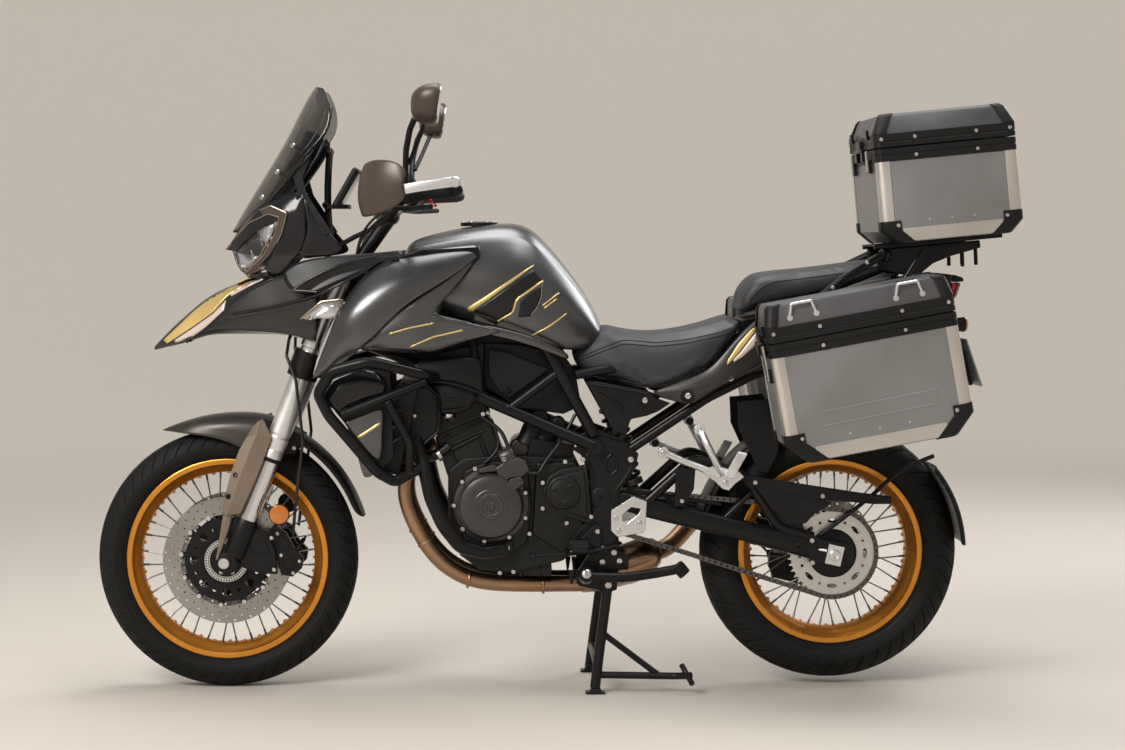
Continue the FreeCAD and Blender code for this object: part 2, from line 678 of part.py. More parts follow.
def instrument_panel():
    screen = block(-8, 8, -90, 90, -55, 55)
    screen.rotate(V(0, 0, 0), V(0, 1, 0), 30)
    screen.translate(V(306, 0, 1268))
    arms = []
    for s in (-1, 1):
        arms.append(tube([(262, s * 30, 1150), (250, s * 30, 1240), (262, s * 30, 1362)], 7, 20))
    arms.append(round_y(262, 1362, DEVICE_BAR_R, -90, 90))
    arms.append(round_y(262, 1362, DEVICE_BAR_R + 2, -38, 38))
    arms.append(round_y(252, 1225, 7, -62, 62))
    shelf = block(248, 312, -62, 62, 1216, 1226)
    keep("instrument_panel", fuse(arms + [shelf, screen]))


def rider_seat():
    def ring(x, top, low, half):
        return [(x, -half * 0.8, low), (x, -half, (top + low) / 2), (x, -half * 0.82, top - 12),
                (x, 0, top), (x, half * 0.82, top - 12), (x, half, (top + low) / 2), (x, half * 0.8, low)]
    keep("rider_seat", loft([ring(872, 905, 815, 80), ring(950, 925, 800, 112), ring(1070, 922, 790, 150),
                             ring(1190, 930, 820, 158), ring(1296, 965, 872, 140)]))


def pillion_seat():
    def ring(x, top, low, half):
        return [(x, -half * 0.8, low), (x, -half, (top + low) / 2), (x, -half * 0.82, top - 12),
                (x, 0, top), (x, half * 0.82, top - 12), (x, half, (top + low) / 2), (x, half * 0.8, low)]
    keep("pillion_seat", loft([ring(1298, 1010, 940, 125), ring(1340, 1046, 945, 132),
                               ring(1500, 1062, 998, 130), ring(1690, 1088, 1028, 100)]))


def tail_panels():
    plate = sheet([
        [(1063, -145, 768), (1162, -158, 792), (1225, -160, 829), (1326, -152, 930), (1420, -140, 950)],
        [(1076, -143, 740), (1170, -152, 742), (1245, -154, 777), (1330, -150, 800), (1420, -140, 830)]],
        (0, 8, 0))
    under = block(1420, 1830, -78, 78, 955, 975)
    keep("tail_panels", Part.makeCompound([both_sides(plate), under]))


def tail_lamp():
    keep("tail_lamp", block(1822, 1862, -70, 70, 985, 1040))


def plate_holder():
    arm = side_plate([(1800, 960), (1835, 960), (1862, 880), (1900, 765), (1892, 762), (1850, 870),
                      (1790, 940)], -40, 40)
    plate = side_plate([(1866, 884), (1870, 885), (1912, 765), (1908, 764)], -95, 95)
    lamps = []
    for s in (-1, 1):
        lamps.append(round_bar((1842, s * 38, 925), (1846, s * 130, 925), 9))
        lamps.append(round_bar((1835, s * 130, 925), (1862, s * 130, 925), 18))
    keep("plate_holder", fuse([arm, plate] + lamps))


def crash_bars():
    """Each side: a loop from the frame to the down tube, two braces and the down tube to the engine."""
    loop = tube([(548, -142, 792), (505, -228, 806), (372, -268, 842), (278, -260, 818), (244, -245, 762),
                 (270, -242, 708), (388, -224, 566), (430, -205, 540), (505, -172, 578)], CRASH_BAR_R, 42)
    middle = round_bar((302, -246, 709), (508, -226, 790), 10)
    brace = tube([(412, -235, 745), (468, -212, 636), (464, -190, 556)], 11, 40)
    down = tube([(478, -160, 640), (503, -172, 572), (520, -186, 496), (550, -190, 430), (592, -180, 376),
                 (650, -160, 358), (706, -141, 366)], 18, 60)
    keep("crash_bars", both_sides(fuse([loop, middle, brace, down])))


# ------------------------------------------------------------- rear end

def swingarm():
    z = 491
    parts = [round_y(941, z, 27, -78, 104), round_y(941, z, 14, -104, 104)]
    for s in (-1, 1):
        y0, y1 = sorted((s * 103, s * 133))
        beam = side_plate([(925, 515), (1060, 488), (1330, 425), (1498, 385), (1580, 371), (1582, 319),
                           (1498, 326), (1330, 372), (1060, 440), (930, 468)], y0, y1)
        parts.append(beam)
        brace = tube([(1060, s * 118, 480), (1180, s * 118, 590), (1310, s * 118, 540),
                      (1470, s * 118, 385)], 14, 40)
        parts.append(brace)
        parts.append(round_y(WHEELBASE, REAR_AXLE_Z, 16, *sorted((s * 133, s * 148))))
    parts.append(block(1050, 1110, -104, 104, 450, 485))
    parts.append(round_y(WHEELBASE, REAR_AXLE_Z, 12, -150, 150))
    for s in (-1, 1):
        parts.append(round_y(SPOOL_X, SPOOL_Z, 12, *sorted((s * 130, s * SPOOL_Y))))
    solid = fuse(parts).cut(round_y(941, z, 10, -140, 140))
    for s in (-1, 1):
        solid = solid.cut(round_y(SPOOL_X, SPOOL_Z, SPOOL_HOLE_R, *sorted((s * SPOOL_Y, s * (SPOOL_Y - 28)))))
    keep("swingarm", solid)
    pin = round_y(941, z, 10, -130, 130)
    return pin


def chain():
    """Closed chain loop between the gearbox and wheel sprockets."""
    y0, y1 = -100, -83
    front = (SPROCKET_X, SPROCKET_Z)
    rear = (WHEELBASE, REAR_AXLE_Z)
    loops = []
    for grow in (6.0, -6.0):
        r1 = 40.0 + grow
        r2 = SPROCKET_R + 8.0 + grow
        dx = rear[0] - front[0]
        dz = rear[1] - front[1]
        span = math.hypot(dx, dz)
        base = math.atan2(dz, dx)
        off = math.acos((r1 - r2) / span)
        pts = []
        for sign in (1, -1):
            a = base + sign * off
            pts.append((V(front[0] + r1 * math.cos(a), y0, front[1] + r1 * math.sin(a)),
                        V(rear[0] + r2 * math.cos(a), y0, rear[1] + r2 * math.sin(a))))
        far1 = V(front[0] - r1 * math.cos(base), y0, front[1] - r1 * math.sin(base))
        far2 = V(rear[0] + r2 * math.cos(base), y0, rear[1] + r2 * math.sin(base))
        edges = [Part.makeLine(pts[0][0], pts[0][1]), Part.Arc(pts[0][1], far2, pts[1][1]).toShape(),
                 Part.makeLine(pts[1][1], pts[1][0]), Part.Arc(pts[1][0], far1, pts[0][0]).toShape()]
        loops.append(Part.Face(Part.Wire(edges)).extrude(V(0, y1 - y0, 0)))
    keep("chain", loops[0].cut(loops[1]))


def rear_hugger():
    guard = side_plate([(1130, 575), (1340, 552), (1566, 517), (1673, 500), (1660, 470), (1500, 486),
                        (1341, 525), (1160, 540)], -146, -138)
    x, z = WHEELBASE, REAR_AXLE_Z
    section = [(-92, 330), (-92, 348), (92, 348), (92, 330), (86, 330), (86, 342), (-86, 342), (-86, 330)]
    corners = [V(x, y, z + r) for y, r in section]
    face = Part.Face(Part.makePolygon(corners + [corners[0]]))
    front = face.copy()
    front.rotate(V(x, 0, z), V(0, 1, 0), -75)
    shell = front.revolve(V(x, 0, z), V(0, 1, 0), 60)
    flap = face.copy()
    flap.rotate(V(x, 0, z), V(0, 1, 0), 50)
    tail = flap.revolve(V(x, 0, z), V(0, 1, 0), 38)
    stay = tube([(1500, -112, 392), (1700, -112, 560), (1790, -90, 590)], 8, 60)
    keep("rear_hugger", Part.makeCompound([guard, shell, fuse([tail, stay])]))


def rear_shock():
    body = round_bar((1035, 0, 470), (965, 0, 760), 22)
    spring = round_bar((1025, 0, 512), (978, 0, 705), 36)
    keep("rear_shock", fuse([body, spring]))


def footrests():
    items = []
    plate = side_plate([(895, 434), (940, 470), (985, 470), (1000, 420), (960, 350), (905, 350)], -140, -127)
    peg = loft([
        [(862, -140, 366), (905, -140, 366), (905, -140, 384), (862, -140, 384)],
        [(868, -242, 366), (908, -242, 366), (908, -242, 382), (868, -242, 382)]])
    heel = side_plate([(965, 465), (1026, 502), (1056, 482), (1049, 416), (972, 401)], -152, -140)
    lever = tube([(985, -150, 372), (860, -160, 352), (770, -182, 350)], 6, 30)
    items.append(fuse([plate, peg, heel, lever]))
    hanger = side_plate([(1090, 620), (1180, 684), (1196, 668), (1222, 590), (1246, 570), (1296, 622),
                         (1306, 612), (1240, 535), (1200, 548), (1090, 606)], -168, -156)
    items.append(hanger)
    keep("footrests", both_sides(Part.makeCompound(items)))


def rear_caliper():
    body = side_plate([(1440, 330), (1500, 228), (1400, 255), (1385, 330)], 66, 99)
    gap = round_y(WHEELBASE, REAR_AXLE_Z, REAR_DISC_R + 6, 75, 90)
    keep("rear_caliper", body.cut(gap))


# ---------------------------------------------------------------- cases

def tilted(shape, origin, tilt):
    """Lean a shape drawn square at zero, then set it in place."""
    moved = shape.copy()
    moved.rotate(V(0, 0, 0), V(0, 1, 0), -math.degrees(tilt))
    moved.translate(V(*origin))
    return moved


def box_outline(long, deep, chamfer):
    """A case side with cut lower corners; top edge at zero."""
    return [(0, 0), (long, 0), (long, -deep + chamfer), (long - chamfer, -deep), (chamfer, -deep),
            (0, -deep + chamfer)]


def hollow_case(long, deep, chamfer, y0, y1):
    outer = side_plate(box_outline(long, deep, chamfer), y0, y1)
    inner = side_plate([(WALL, 1), (long - WALL, 1), (long - WALL, -deep + chamfer),
                        (long - chamfer, -deep + WALL), (chamfer, -deep + WALL),
                        (WALL, -deep + chamfer)], y0 + WALL, y1 - WALL)
    return outer.cut(inner)


def hollow_lid(long, high, inset, y0, y1):
    """A lid with leaning sides, open below."""
    def ring(x0, x1, ya, yb, z):
        return [(x0, ya, z), (x1, ya, z), (x1, yb, z), (x0, yb, z)]
    low = 0.42 * high
    outer = fuse([block(-6, long + 6, y0 - 4, y1 + 4, 0, low),
                  loft([ring(-6, long + 6, y0 - 4, y1 + 4, low),
                        ring(inset, long - inset, y0 + inset, y1 - inset, high)])])
    inner = fuse([block(-2, long + 2, y0, y1, -1, low),
                  loft([ring(-2, long + 2, y0, y1, low),
                        ring(inset + 4, long - inset - 4, y0 + inset + 4, y1 - inset - 4, high - 4)])])
    return outer.cut(inner)


def hinge_knuckles(middle):
    """Barrels in line at a case's front edge: the outer two stay, the centre one lifts with the lid."""
    def barrel(y0, y1):
        return round_y(HINGE_AHEAD, 1, 4.5, y0, y1)
    fixed = []
    for y0, y1 in ((middle - 60, middle - 31), (middle + 31, middle + 60)):
        fixed.append(fuse([barrel(y0, y1), block(HINGE_AHEAD, 0, y0, y1, -3.5, -0.5)]))
    leaf = block(HINGE_AHEAD, -5.5, middle - 30, middle + 30, 2, 5.5)
    return Part.makeCompound(fixed), fuse([barrel(middle - 30, middle + 30), leaf])


PANNIER_ORIGIN = (1324, 0, 888)
TOP_ORIGIN = (1619, 0, 1361)


def cases():
    fixed, moving = hinge_knuckles(-(PANNIER_OUT_Y + PANNIER_IN_Y) / 2)
    left = hollow_case(PANNIER_LONG, PANNIER_DEEP, 46, -PANNIER_OUT_Y, -PANNIER_IN_Y)
    left = fuse([left] + fixed.Solids)
    keep("pannier_boxes", both_sides(tilted(left, PANNIER_ORIGIN, PANNIER_TILT)))
    lid = hollow_lid(PANNIER_LONG, PANNIER_LID, 10, -PANNIER_OUT_Y, -PANNIER_IN_Y)
    lid.translate(V(0, 0, 1))
    lid = tilted(fuse([lid, moving]), PANNIER_ORIGIN, PANNIER_TILT)
    keep("pannier_lid_left", lid)
    keep("pannier_lid_right", lid.mirror(V(0, 0, 0), V(0, 1, 0)))
    fixed, moving = hinge_knuckles(0)
    top = hollow_case(TOP_LONG, TOP_DEEP, 30, -TOP_HALF_Y, TOP_HALF_Y)
    top = fuse([top] + fixed.Solids)
    keep("top_case_box", tilted(top, TOP_ORIGIN, TOP_TILT))
    cover = hollow_lid(TOP_LONG, TOP_LID, 22, -TOP_HALF_Y, TOP_HALF_Y)
    cover.translate(V(0, 0, 1))
    keep("top_case_lid", tilted(fuse([cover, moving]), TOP_ORIGIN, TOP_TILT))


def luggage_racks():
    deck = tilted(block(-10, 320, -100, 100, -TOP_DEEP - 14, -TOP_DEEP - 1), TOP_ORIGIN, TOP_TILT)
    parts = [deck]
    for s in (-1, 1):
        parts.append(tube([(1480, s * 150, 985), (1560, s * 146, 1050), (1660, s * 95, 1102)], 11, 40))
        parts.append(tube([(1480, s * 150, 985), (1440, s * 140, 955), (1440, s * 112, 935)], 11, 20))
        parts.append(round_bar((1700, s * 88, 1018), (1760, s * 90, 1112), 9))
        parts.append(side_plate([(1648, 1117), (1902, 1141), (1905, 1118), (1828, 1096), (1784, 1078),
                                 (1754, 1053), (1715, 1048), (1642, 1062)], *sorted((s * 80, s * 96))))
    hoops = []
    for s in (-1, 1):
        y = s * (PANNIER_IN_Y - 14)
        hoops.append(tube([(1480, s * 150, 985), (1460, y, 900), (1440, y, 650), (1700, y, 700),
                           (1740, y, 900), (1480, s * 230, 870)], 9, 40))
    keep("luggage_racks", fuse(parts + hoops))


# --------------------------------------------------------------- stands

def centre_stand():
    parts = []
    for s in (-1, 1):
        parts.append(round_y(961, 275, 18, *sorted((s * 127, s * 157))))
        parts.append(tube([(961, s * 141, 275), (945, s * 141, 150), (928, s * 152, 14)], 13, 60))
        parts.append(block(905, 952, *sorted((s * 136, s * 172)), 0, 17))
    parts.append(round_bar((934, -145, 74), (934, 145, 74), 11))
    legs = fuse(parts)
    lever = tube([(930, -146, 46), (1130, -160, 44), (1170, -190, 50)], 9, 20).cut(legs)
    strut = round_bar((948, -140, 150), (1085, -156, 48), 8).cut([legs, lever])
    keep("centre_stand", Part.makeCompound([legs, lever, strut]))


def side_stand():
    leg = tube([(905, -180, 300), (1000, -180, 296), (1140, -181, 316)], 13, 40)
    foot = round_bar((1128, -182, 330), (1152, -182, 302), 17)
    boss = round_bar(on_side_pivot(-20), on_side_pivot(12), 20)
    keep("side_stand", fuse([leg, foot, boss]))


# Parts of each moving body, in the order they are cut to fit each other.
BODIES = [
    ["main_frame", "engine", "swingarm", "rear_subframe", "fuel_tank", "rider_seat", "pillion_seat",
     "front_cowl", "headlamp", "beak", "windscreen", "radiator", "exhaust", "instrument_panel",
     "side_covers", "side_shrouds", "tail_panels", "tail_lamp", "plate_holder", "chain", "rear_caliper",
     "rear_hugger", "rear_shock", "footrests", "top_case_box", "pannier_boxes", "luggage_racks",
     "crash_bars"],
    ["fork_lowers", "fork_uppers", "yokes", "handlebar", "hand_controls", "mirrors", "handguards",
     "front_calipers", "fork_guards", "front_mudguard", "brake_hoses"],
    ["front_rim", "front_tyre", "front_hub"],
    ["rear_rim", "rear_tyre", "rear_hub"],
]


def fit_neighbours():
    """Cut each part back to the faces of those listed before it."""
    for names in BODIES:
        for i, name in enumerate(names):
            shape = made[name]
            tools = []
            for other in names[:i]:
                if made[other].BoundBox.intersect(shape.BoundBox):
                    tools.append(made[other])
            if tools:
                shape = shape.cut(tools)
            solids = [s for s in shape.Solids if s.Volume > 60]
            made[name] = Part.makeCompound(solids)


def build():
    front_wheel()
    rear_wheel()
    yokes()
    fork()
    front_calipers()
    front_mudguard()
    clamps = handlebar()
    moved = Part.makeCompound(clamps)
    moved.translate(V(SHIFT_X, 0, 0))
    made["yokes"] = fuse([made["yokes"]] + moved.Solids)
    grips()
    handguards()
    mirrors()
    brake_hoses()
    main_frame()
    rear_subframe()
    engine()
    radiator()
    exhaust()
    fuel_tank()
    side_shrouds()
    side_covers()
    beak()
    front_cowl()
    windscreen()
    instrument_panel()
    rider_seat()
    pillion_seat()
    tail_panels()
    tail_lamp()
    plate_holder()
    crash_bars()
    swingarm()
    chain()
    rear_hugger()
    rear_shock()
    footrests()
    rear_caliper()
    cases()
    luggage_racks()
    centre_stand()
    side_stand()
    fit_neighbours()
    os.makedirs("parts", exist_ok=True)
    for name, shape in made.items():
        shape.exportStep("parts/%s.step" % name)


build()
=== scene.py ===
"""Adventure motorcycle on its centre stand: finishes, fine pieces, lights and camera."""
import json
import math

import bmesh
import bpy
from mathutils.bvhtree import BVHTree
from mathutils import Matrix, Vector

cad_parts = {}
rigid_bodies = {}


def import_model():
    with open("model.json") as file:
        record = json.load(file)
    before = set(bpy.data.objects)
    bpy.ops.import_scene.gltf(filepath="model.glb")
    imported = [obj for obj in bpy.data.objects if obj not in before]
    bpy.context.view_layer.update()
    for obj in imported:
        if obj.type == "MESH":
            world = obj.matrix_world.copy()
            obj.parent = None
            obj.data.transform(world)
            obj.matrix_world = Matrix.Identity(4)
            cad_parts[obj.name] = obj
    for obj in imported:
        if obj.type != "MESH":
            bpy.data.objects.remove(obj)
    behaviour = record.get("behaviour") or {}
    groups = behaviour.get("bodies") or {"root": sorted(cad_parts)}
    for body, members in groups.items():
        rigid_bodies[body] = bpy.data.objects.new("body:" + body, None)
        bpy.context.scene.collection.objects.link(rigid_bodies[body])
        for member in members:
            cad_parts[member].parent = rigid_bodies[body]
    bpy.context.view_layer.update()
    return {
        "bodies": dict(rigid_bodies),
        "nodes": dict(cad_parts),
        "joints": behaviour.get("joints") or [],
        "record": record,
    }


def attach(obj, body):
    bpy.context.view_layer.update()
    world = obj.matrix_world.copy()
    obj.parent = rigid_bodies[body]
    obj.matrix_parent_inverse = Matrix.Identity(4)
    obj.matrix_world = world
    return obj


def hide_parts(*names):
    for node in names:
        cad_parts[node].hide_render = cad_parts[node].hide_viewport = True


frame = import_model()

JOINTS = {row["name"]: row for row in frame["record"]["behaviour"]["joints"]}
FRONT_AXLE = Vector(JOINTS["front_wheel_spin"]["pos_m"])
REAR_AXLE = Vector(JOINTS["rear_wheel_spin"]["pos_m"])
MM = 0.001
BOTH = (-1, 1)
FULL_TURN = 2 * math.pi

# ------------------------------------------------------------------ camera

CAMERA_BACK = 6.12
CAMERA_SIDE = -0.187
CAMERA_HIGH = 1.137
CAMERA_DOWN = 3.22
CAMERA_TURN = 1.97
CAMERA_LENS = 76.8


def make_camera():
    data = bpy.data.cameras.new("camera")
    data.lens = CAMERA_LENS
    data.sensor_width = 36.0
    data.clip_end = 60.0
    camera = bpy.data.objects.new("camera", data)
    camera.location = (CAMERA_SIDE, -CAMERA_BACK, CAMERA_HIGH)
    camera.rotation_euler = (math.radians(90 - CAMERA_DOWN), 0, math.radians(-CAMERA_TURN))
    bpy.context.collection.objects.link(camera)
    bpy.context.scene.camera = camera


make_camera()

# --------------------------------------------------------------- materials

def new_material(name):
    mat = bpy.data.materials.new(name)
    mat.use_nodes = True
    tree = mat.node_tree
    shader = tree.nodes["Principled BSDF"]
    return mat, tree, shader


def node(tree, kind, **values):
    made = tree.nodes.new(kind)
    for key, value in values.items():
        setattr(made, key, value)
    return made


def make_grain_group():
    """Fine surface grain: a mask that varies slowly and a height for bump."""
    group = bpy.data.node_groups.new("surface_grain", "ShaderNodeTree")
    face = group.interface
    for name, value in (("Fine", 900.0), ("Broad", 6.0)):
        socket = face.new_socket(name, in_out="INPUT", socket_type="NodeSocketFloat")
        socket.default_value = value
    for name in ("Mottle", "Height"):
        face.new_socket(name, in_out="OUTPUT", socket_type="NodeSocketFloat")
    into = node(group, "NodeGroupInput")
    out = node(group, "NodeGroupOutput")
    where = node(group, "ShaderNodeTexCoord")
    fine = node(group, "ShaderNodeTexNoise")
    fine.inputs["Detail"].default_value = 2.0
    broad = node(group, "ShaderNodeTexNoise")
    broad.inputs["Detail"].default_value = 3.0
    group.links.new(where.outputs["Object"], fine.inputs["Vector"])
    group.links.new(where.outputs["Object"], broad.inputs["Vector"])
    group.links.new(into.outputs["Fine"], fine.inputs["Scale"])
    group.links.new(into.outputs["Broad"], broad.inputs["Scale"])
    group.links.new(fine.outputs["Fac"], out.inputs["Height"])
    group.links.new(broad.outputs["Fac"], out.inputs["Mottle"])
    return group


GRAIN = make_grain_group()


BROAD_MOTTLE = 6.0
GRAIN_DEEP = 0.0002
MOTTLE_LOW, MOTTLE_HIGH = 0.3, 0.7
GLASS_BENDING = 1.45


def grained(name, color, rough, metal=0.0, spread=0.15, rough_spread=0.12, fine=900.0,
            bump=0.15, coat=0.0, coat_rough=0.1, shine=0.5):
    """A finish whose colour and roughness vary a little, with fine bump."""
    mat, tree, shader = new_material(name)
    grain = node(tree, "ShaderNodeGroup", node_tree=GRAIN)
    grain.inputs["Fine"].default_value = fine
    grain.inputs["Broad"].default_value = BROAD_MOTTLE
    ramp = node(tree, "ShaderNodeValToRGB")
    low = [c * (1 - spread) for c in color]
    high = [min(1.0, c * (1 + spread)) for c in color]
    ramp.color_ramp.elements[0].position = MOTTLE_LOW
    ramp.color_ramp.elements[1].position = MOTTLE_HIGH
    ramp.color_ramp.elements[0].color = (*low, 1)
    ramp.color_ramp.elements[1].color = (*high, 1)
    tree.links.new(grain.outputs["Mottle"], ramp.inputs["Fac"])
    tree.links.new(ramp.outputs["Color"], shader.inputs["Base Color"])
    span = node(tree, "ShaderNodeMapRange")
    span.inputs["From Min"].default_value = MOTTLE_LOW
    span.inputs["From Max"].default_value = MOTTLE_HIGH
    span.inputs["To Min"].default_value = max(0.02, rough - rough_spread)
    span.inputs["To Max"].default_value = min(1.0, rough + rough_spread)
    tree.links.new(grain.outputs["Mottle"], span.inputs["Value"])
    tree.links.new(span.outputs["Result"], shader.inputs["Roughness"])
    if bump > 0:
        push = node(tree, "ShaderNodeBump")
        push.inputs["Strength"].default_value = bump
        push.inputs["Distance"].default_value = GRAIN_DEEP
        tree.links.new(grain.outputs["Height"], push.inputs["Height"])
        tree.links.new(push.outputs["Normal"], shader.inputs["Normal"])
    shader.inputs["Metallic"].default_value = metal
    shader.inputs["Specular IOR Level"].default_value = shine
    shader.inputs["Coat Weight"].default_value = coat
    shader.inputs["Coat Roughness"].default_value = coat_rough
    return mat


def clear_glass(name, color, rough=0.02):
    """See-through plastic, tinted by its colour."""
    mat, _, shader = new_material(name)
    shader.inputs["Base Color"].default_value = (*color, 1)
    shader.inputs["Roughness"].default_value = rough
    shader.inputs["Transmission Weight"].default_value = 1.0
    shader.inputs["IOR"].default_value = GLASS_BENDING
    return mat


def make_materials():
    return {
        "tyre": grained("tyre_rubber", (0.007, 0.0067, 0.0065), 0.7, fine=700, bump=0.2, shine=0.2),
        "gold_rim": grained("gold_anodised", (0.66, 0.265, 0.038), 0.34, metal=0.8, spread=0.06),
        "wire_steel": grained("dark_wire", (0.16, 0.155, 0.15), 0.38, metal=1.0, spread=0.1),
        "disc_steel": grained("ground_disc", (0.33, 0.315, 0.295), 0.34, metal=1.0, spread=0.08),
        "sprocket_alloy": grained("sprocket_alloy", (0.60, 0.59, 0.56), 0.38, metal=1.0, spread=0.06),
        "wheel_steel": grained("satin_steel", (0.60, 0.60, 0.60), 0.32, metal=1.0, spread=0.06),
        "black_metal": grained("black_powder_coat", (0.0045, 0.0045, 0.0048), 0.36, spread=0.15, shine=0.25),
        "silver_alloy": grained("silver_alloy", (0.72, 0.72, 0.73), 0.36, metal=1.0, spread=0.05),
        "fork_chrome": grained("hard_chrome", (0.66, 0.65, 0.66), 0.16, metal=1.0, spread=0.03, rough_spread=0.04,
                               bump=0.03),
        "bronze_plastic": grained("bronze_guard", (0.20, 0.155, 0.12), 0.38, metal=0.5),
        "graphite_plastic": grained("graphite_guard", (0.05, 0.043, 0.038), 0.33, metal=0.4),
        "dark_paint": grained("dark_paint", (0.028, 0.027, 0.026), 0.36, metal=0.5, coat=0.4, coat_rough=0.2),
        "gloss_black": grained("gloss_black", (0.008, 0.008, 0.009), 0.12, spread=0.05, rough_spread=0.05, bump=0.03),
        "decal_black": grained("decal_black", (0.010, 0.010, 0.011), 0.34, spread=0.05, rough_spread=0.05, bump=0.05,
                               shine=0.3),
        "gold_paint": grained("gold_paint", (0.72, 0.52, 0.20), 0.30, metal=0.55, spread=0.05, bump=0.05, coat=0.3),
        "sand_paint": grained("sand_paint", (0.60, 0.51, 0.45), 0.35, metal=0.2, spread=0.04, bump=0.05, coat=0.3),
        "bronze_trim": grained("bronze_trim", (0.44, 0.35, 0.26), 0.26, metal=1.0, spread=0.05),
        "clear_ribbed": grained("clear_ribbed", (0.62, 0.62, 0.63), 0.22, metal=0.6, spread=0.15, fine=400, bump=0.6),
        "case_profile": grained("case_profile", (0.62, 0.59, 0.55), 0.38, metal=0.9, spread=0.04),
        "lid_sheet": grained("lid_sheet", (0.14, 0.141, 0.15), 0.42, metal=0.9, spread=0.04),
        "case_guard": grained("case_guard", (0.0075, 0.0073, 0.0073), 0.5, spread=0.1, shine=0.25),
        "cover_grey": grained("cover_grey", (0.055, 0.052, 0.05), 0.36, metal=0.6, spread=0.1, coat=0.1),
        "dark_alloy": grained("dark_alloy", (0.12, 0.118, 0.115), 0.42, metal=0.9, spread=0.1),
        "brown_plastic": grained("brown_plastic", (0.055, 0.04, 0.032), 0.34, metal=0.2, spread=0.1),
        "amber_lens": grained("amber_lens", (0.46, 0.13, 0.008), 0.14, spread=0.08, bump=0.05, coat=0.8,
                              coat_rough=0.03),
        "red_plastic": grained("red_plastic", (0.45, 0.01, 0.01), 0.3, spread=0.05),
        "mirror_glass": grained("mirror_glass", (0.85, 0.86, 0.87), 0.04, metal=1.0, spread=0.01, rough_spread=0.01,
                                bump=0.0),
        "black_rubber": grained("grip_rubber", (0.006, 0.006, 0.006), 0.7, shine=0.25),
        "hose_rubber": grained("hose_rubber", (0.005, 0.005, 0.005), 0.4),
        "black_plastic": grained("black_moulding", (0.0050, 0.0050, 0.0053), 0.42, shine=0.25),
        "engine_black": grained("engine_enamel", (0.0060, 0.0060, 0.0060), 0.42, shine=0.3),
        "bronze_steel": grained("bronze_steel", (0.36, 0.22, 0.13), 0.34, metal=1.0),
        "graphite_paint": grained("graphite_paint", (0.100, 0.101, 0.105), 0.29, metal=0.85, rough_spread=0.05,
                                  coat=0.4, coat_rough=0.25),
        "bronze_paint": grained("bronze_paint", (0.25, 0.22, 0.16), 0.4, metal=0.5),
        "lamp_glass": clear_glass("lamp_glass", (0.95, 0.97, 1.0)),
        "tinted_screen": clear_glass("smoke_screen", (0.34, 0.34, 0.33)),
        "seat_vinyl": grained("seat_vinyl", (0.021, 0.022, 0.025), 0.55, fine=500, bump=0.4),
        "red_lens": clear_glass("red_lens", (0.6, 0.02, 0.02), rough=0.08),
        "chain_steel": grained("chain_steel", (0.13, 0.122, 0.115), 0.4, metal=1.0),
        "case_aluminium": grained("case_sheet", (0.30, 0.30, 0.305), 0.46, metal=0.9, spread=0.04),
        "case_lid": grained("case_lid", (0.03, 0.03, 0.03), 0.5),
    }


FINISH = make_materials()



# ------------------------------------------------------------ mesh workshop
# Lengths here are millimetres back from the front axle, out to the side and up from the floor.

def place(x, y, z):
    """The spot in the model's own metres."""
    return Vector((FRONT_AXLE.x + x * MM, y * MM, z * MM))


def mesh_from(points, faces):
    mesh = bpy.data.meshes.new("work")
    mesh.from_pydata([tuple(p) for p in points], [], faces)
    return mesh


def finish_mesh(shape, merge=True, recalc=True):
    """Turns a work mesh being built into a mesh with its faces outwards."""
    if merge:
        bmesh.ops.remove_doubles(shape, verts=shape.verts, dist=0.00002)
    if recalc:
        bmesh.ops.recalc_face_normals(shape, faces=shape.faces)
    mesh = bpy.data.meshes.new("work")
    shape.to_mesh(mesh)
    shape.free()
    return mesh


def span(side, inner, outer):
    """Two distances from the middle as crosswise limits, the lower first."""
    return sorted((side * inner, side * outer))


def joined(meshes):
    shape = bmesh.new()
    for mesh in meshes:
        shape.from_mesh(mesh)
    mesh = bpy.data.meshes.new("work")
    shape.to_mesh(mesh)
    shape.free()
    return mesh


def turned(mesh, matrix):
    """A moved copy; a mirror keeps its faces outwards."""
    shape = bmesh.new()
    shape.from_mesh(mesh)
    bmesh.ops.transform(shape, matrix=matrix, verts=shape.verts)
    if matrix.determinant() < 0:
        bmesh.ops.reverse_faces(shape, faces=shape.faces)
    made = bpy.data.meshes.new("work")
    shape.to_mesh(made)
    shape.free()
    return made


MIRROR = Matrix.Diagonal((1, -1, 1, 1))


def pair(mesh):
    """The left piece and its mirror on the right."""
    return joined([mesh, turned(mesh, MIRROR)])


def box_mesh(x0, x1, y0, y1, z0, z1):
    corners = [place(x, y, z) for x in (x0, x1) for y in (y0, y1) for z in (z0, z1)]
    faces = [(0, 1, 3, 2), (4, 6, 7, 5), (0, 4, 5, 1), (2, 3, 7, 6), (0, 2, 6, 4), (1, 5, 7, 3)]
    shape = bmesh.new()
    shape.from_mesh(mesh_from(corners, faces))
    return finish_mesh(shape)


def plate_mesh(outline, y0, y1):
    """A flat plate across the machine, from its side outline in (x, z)."""
    count = len(outline)
    points = [place(x, y0, z) for x, z in outline] + [place(x, y1, z) for x, z in outline]
    faces = [tuple(range(count)), tuple(reversed(range(count, 2 * count)))]
    for i in range(count):
        j = (i + 1) % count
        faces.append((i, j, j + count, i + count))
    shape = bmesh.new()
    shape.from_mesh(mesh_from(points, faces))
    return finish_mesh(shape)


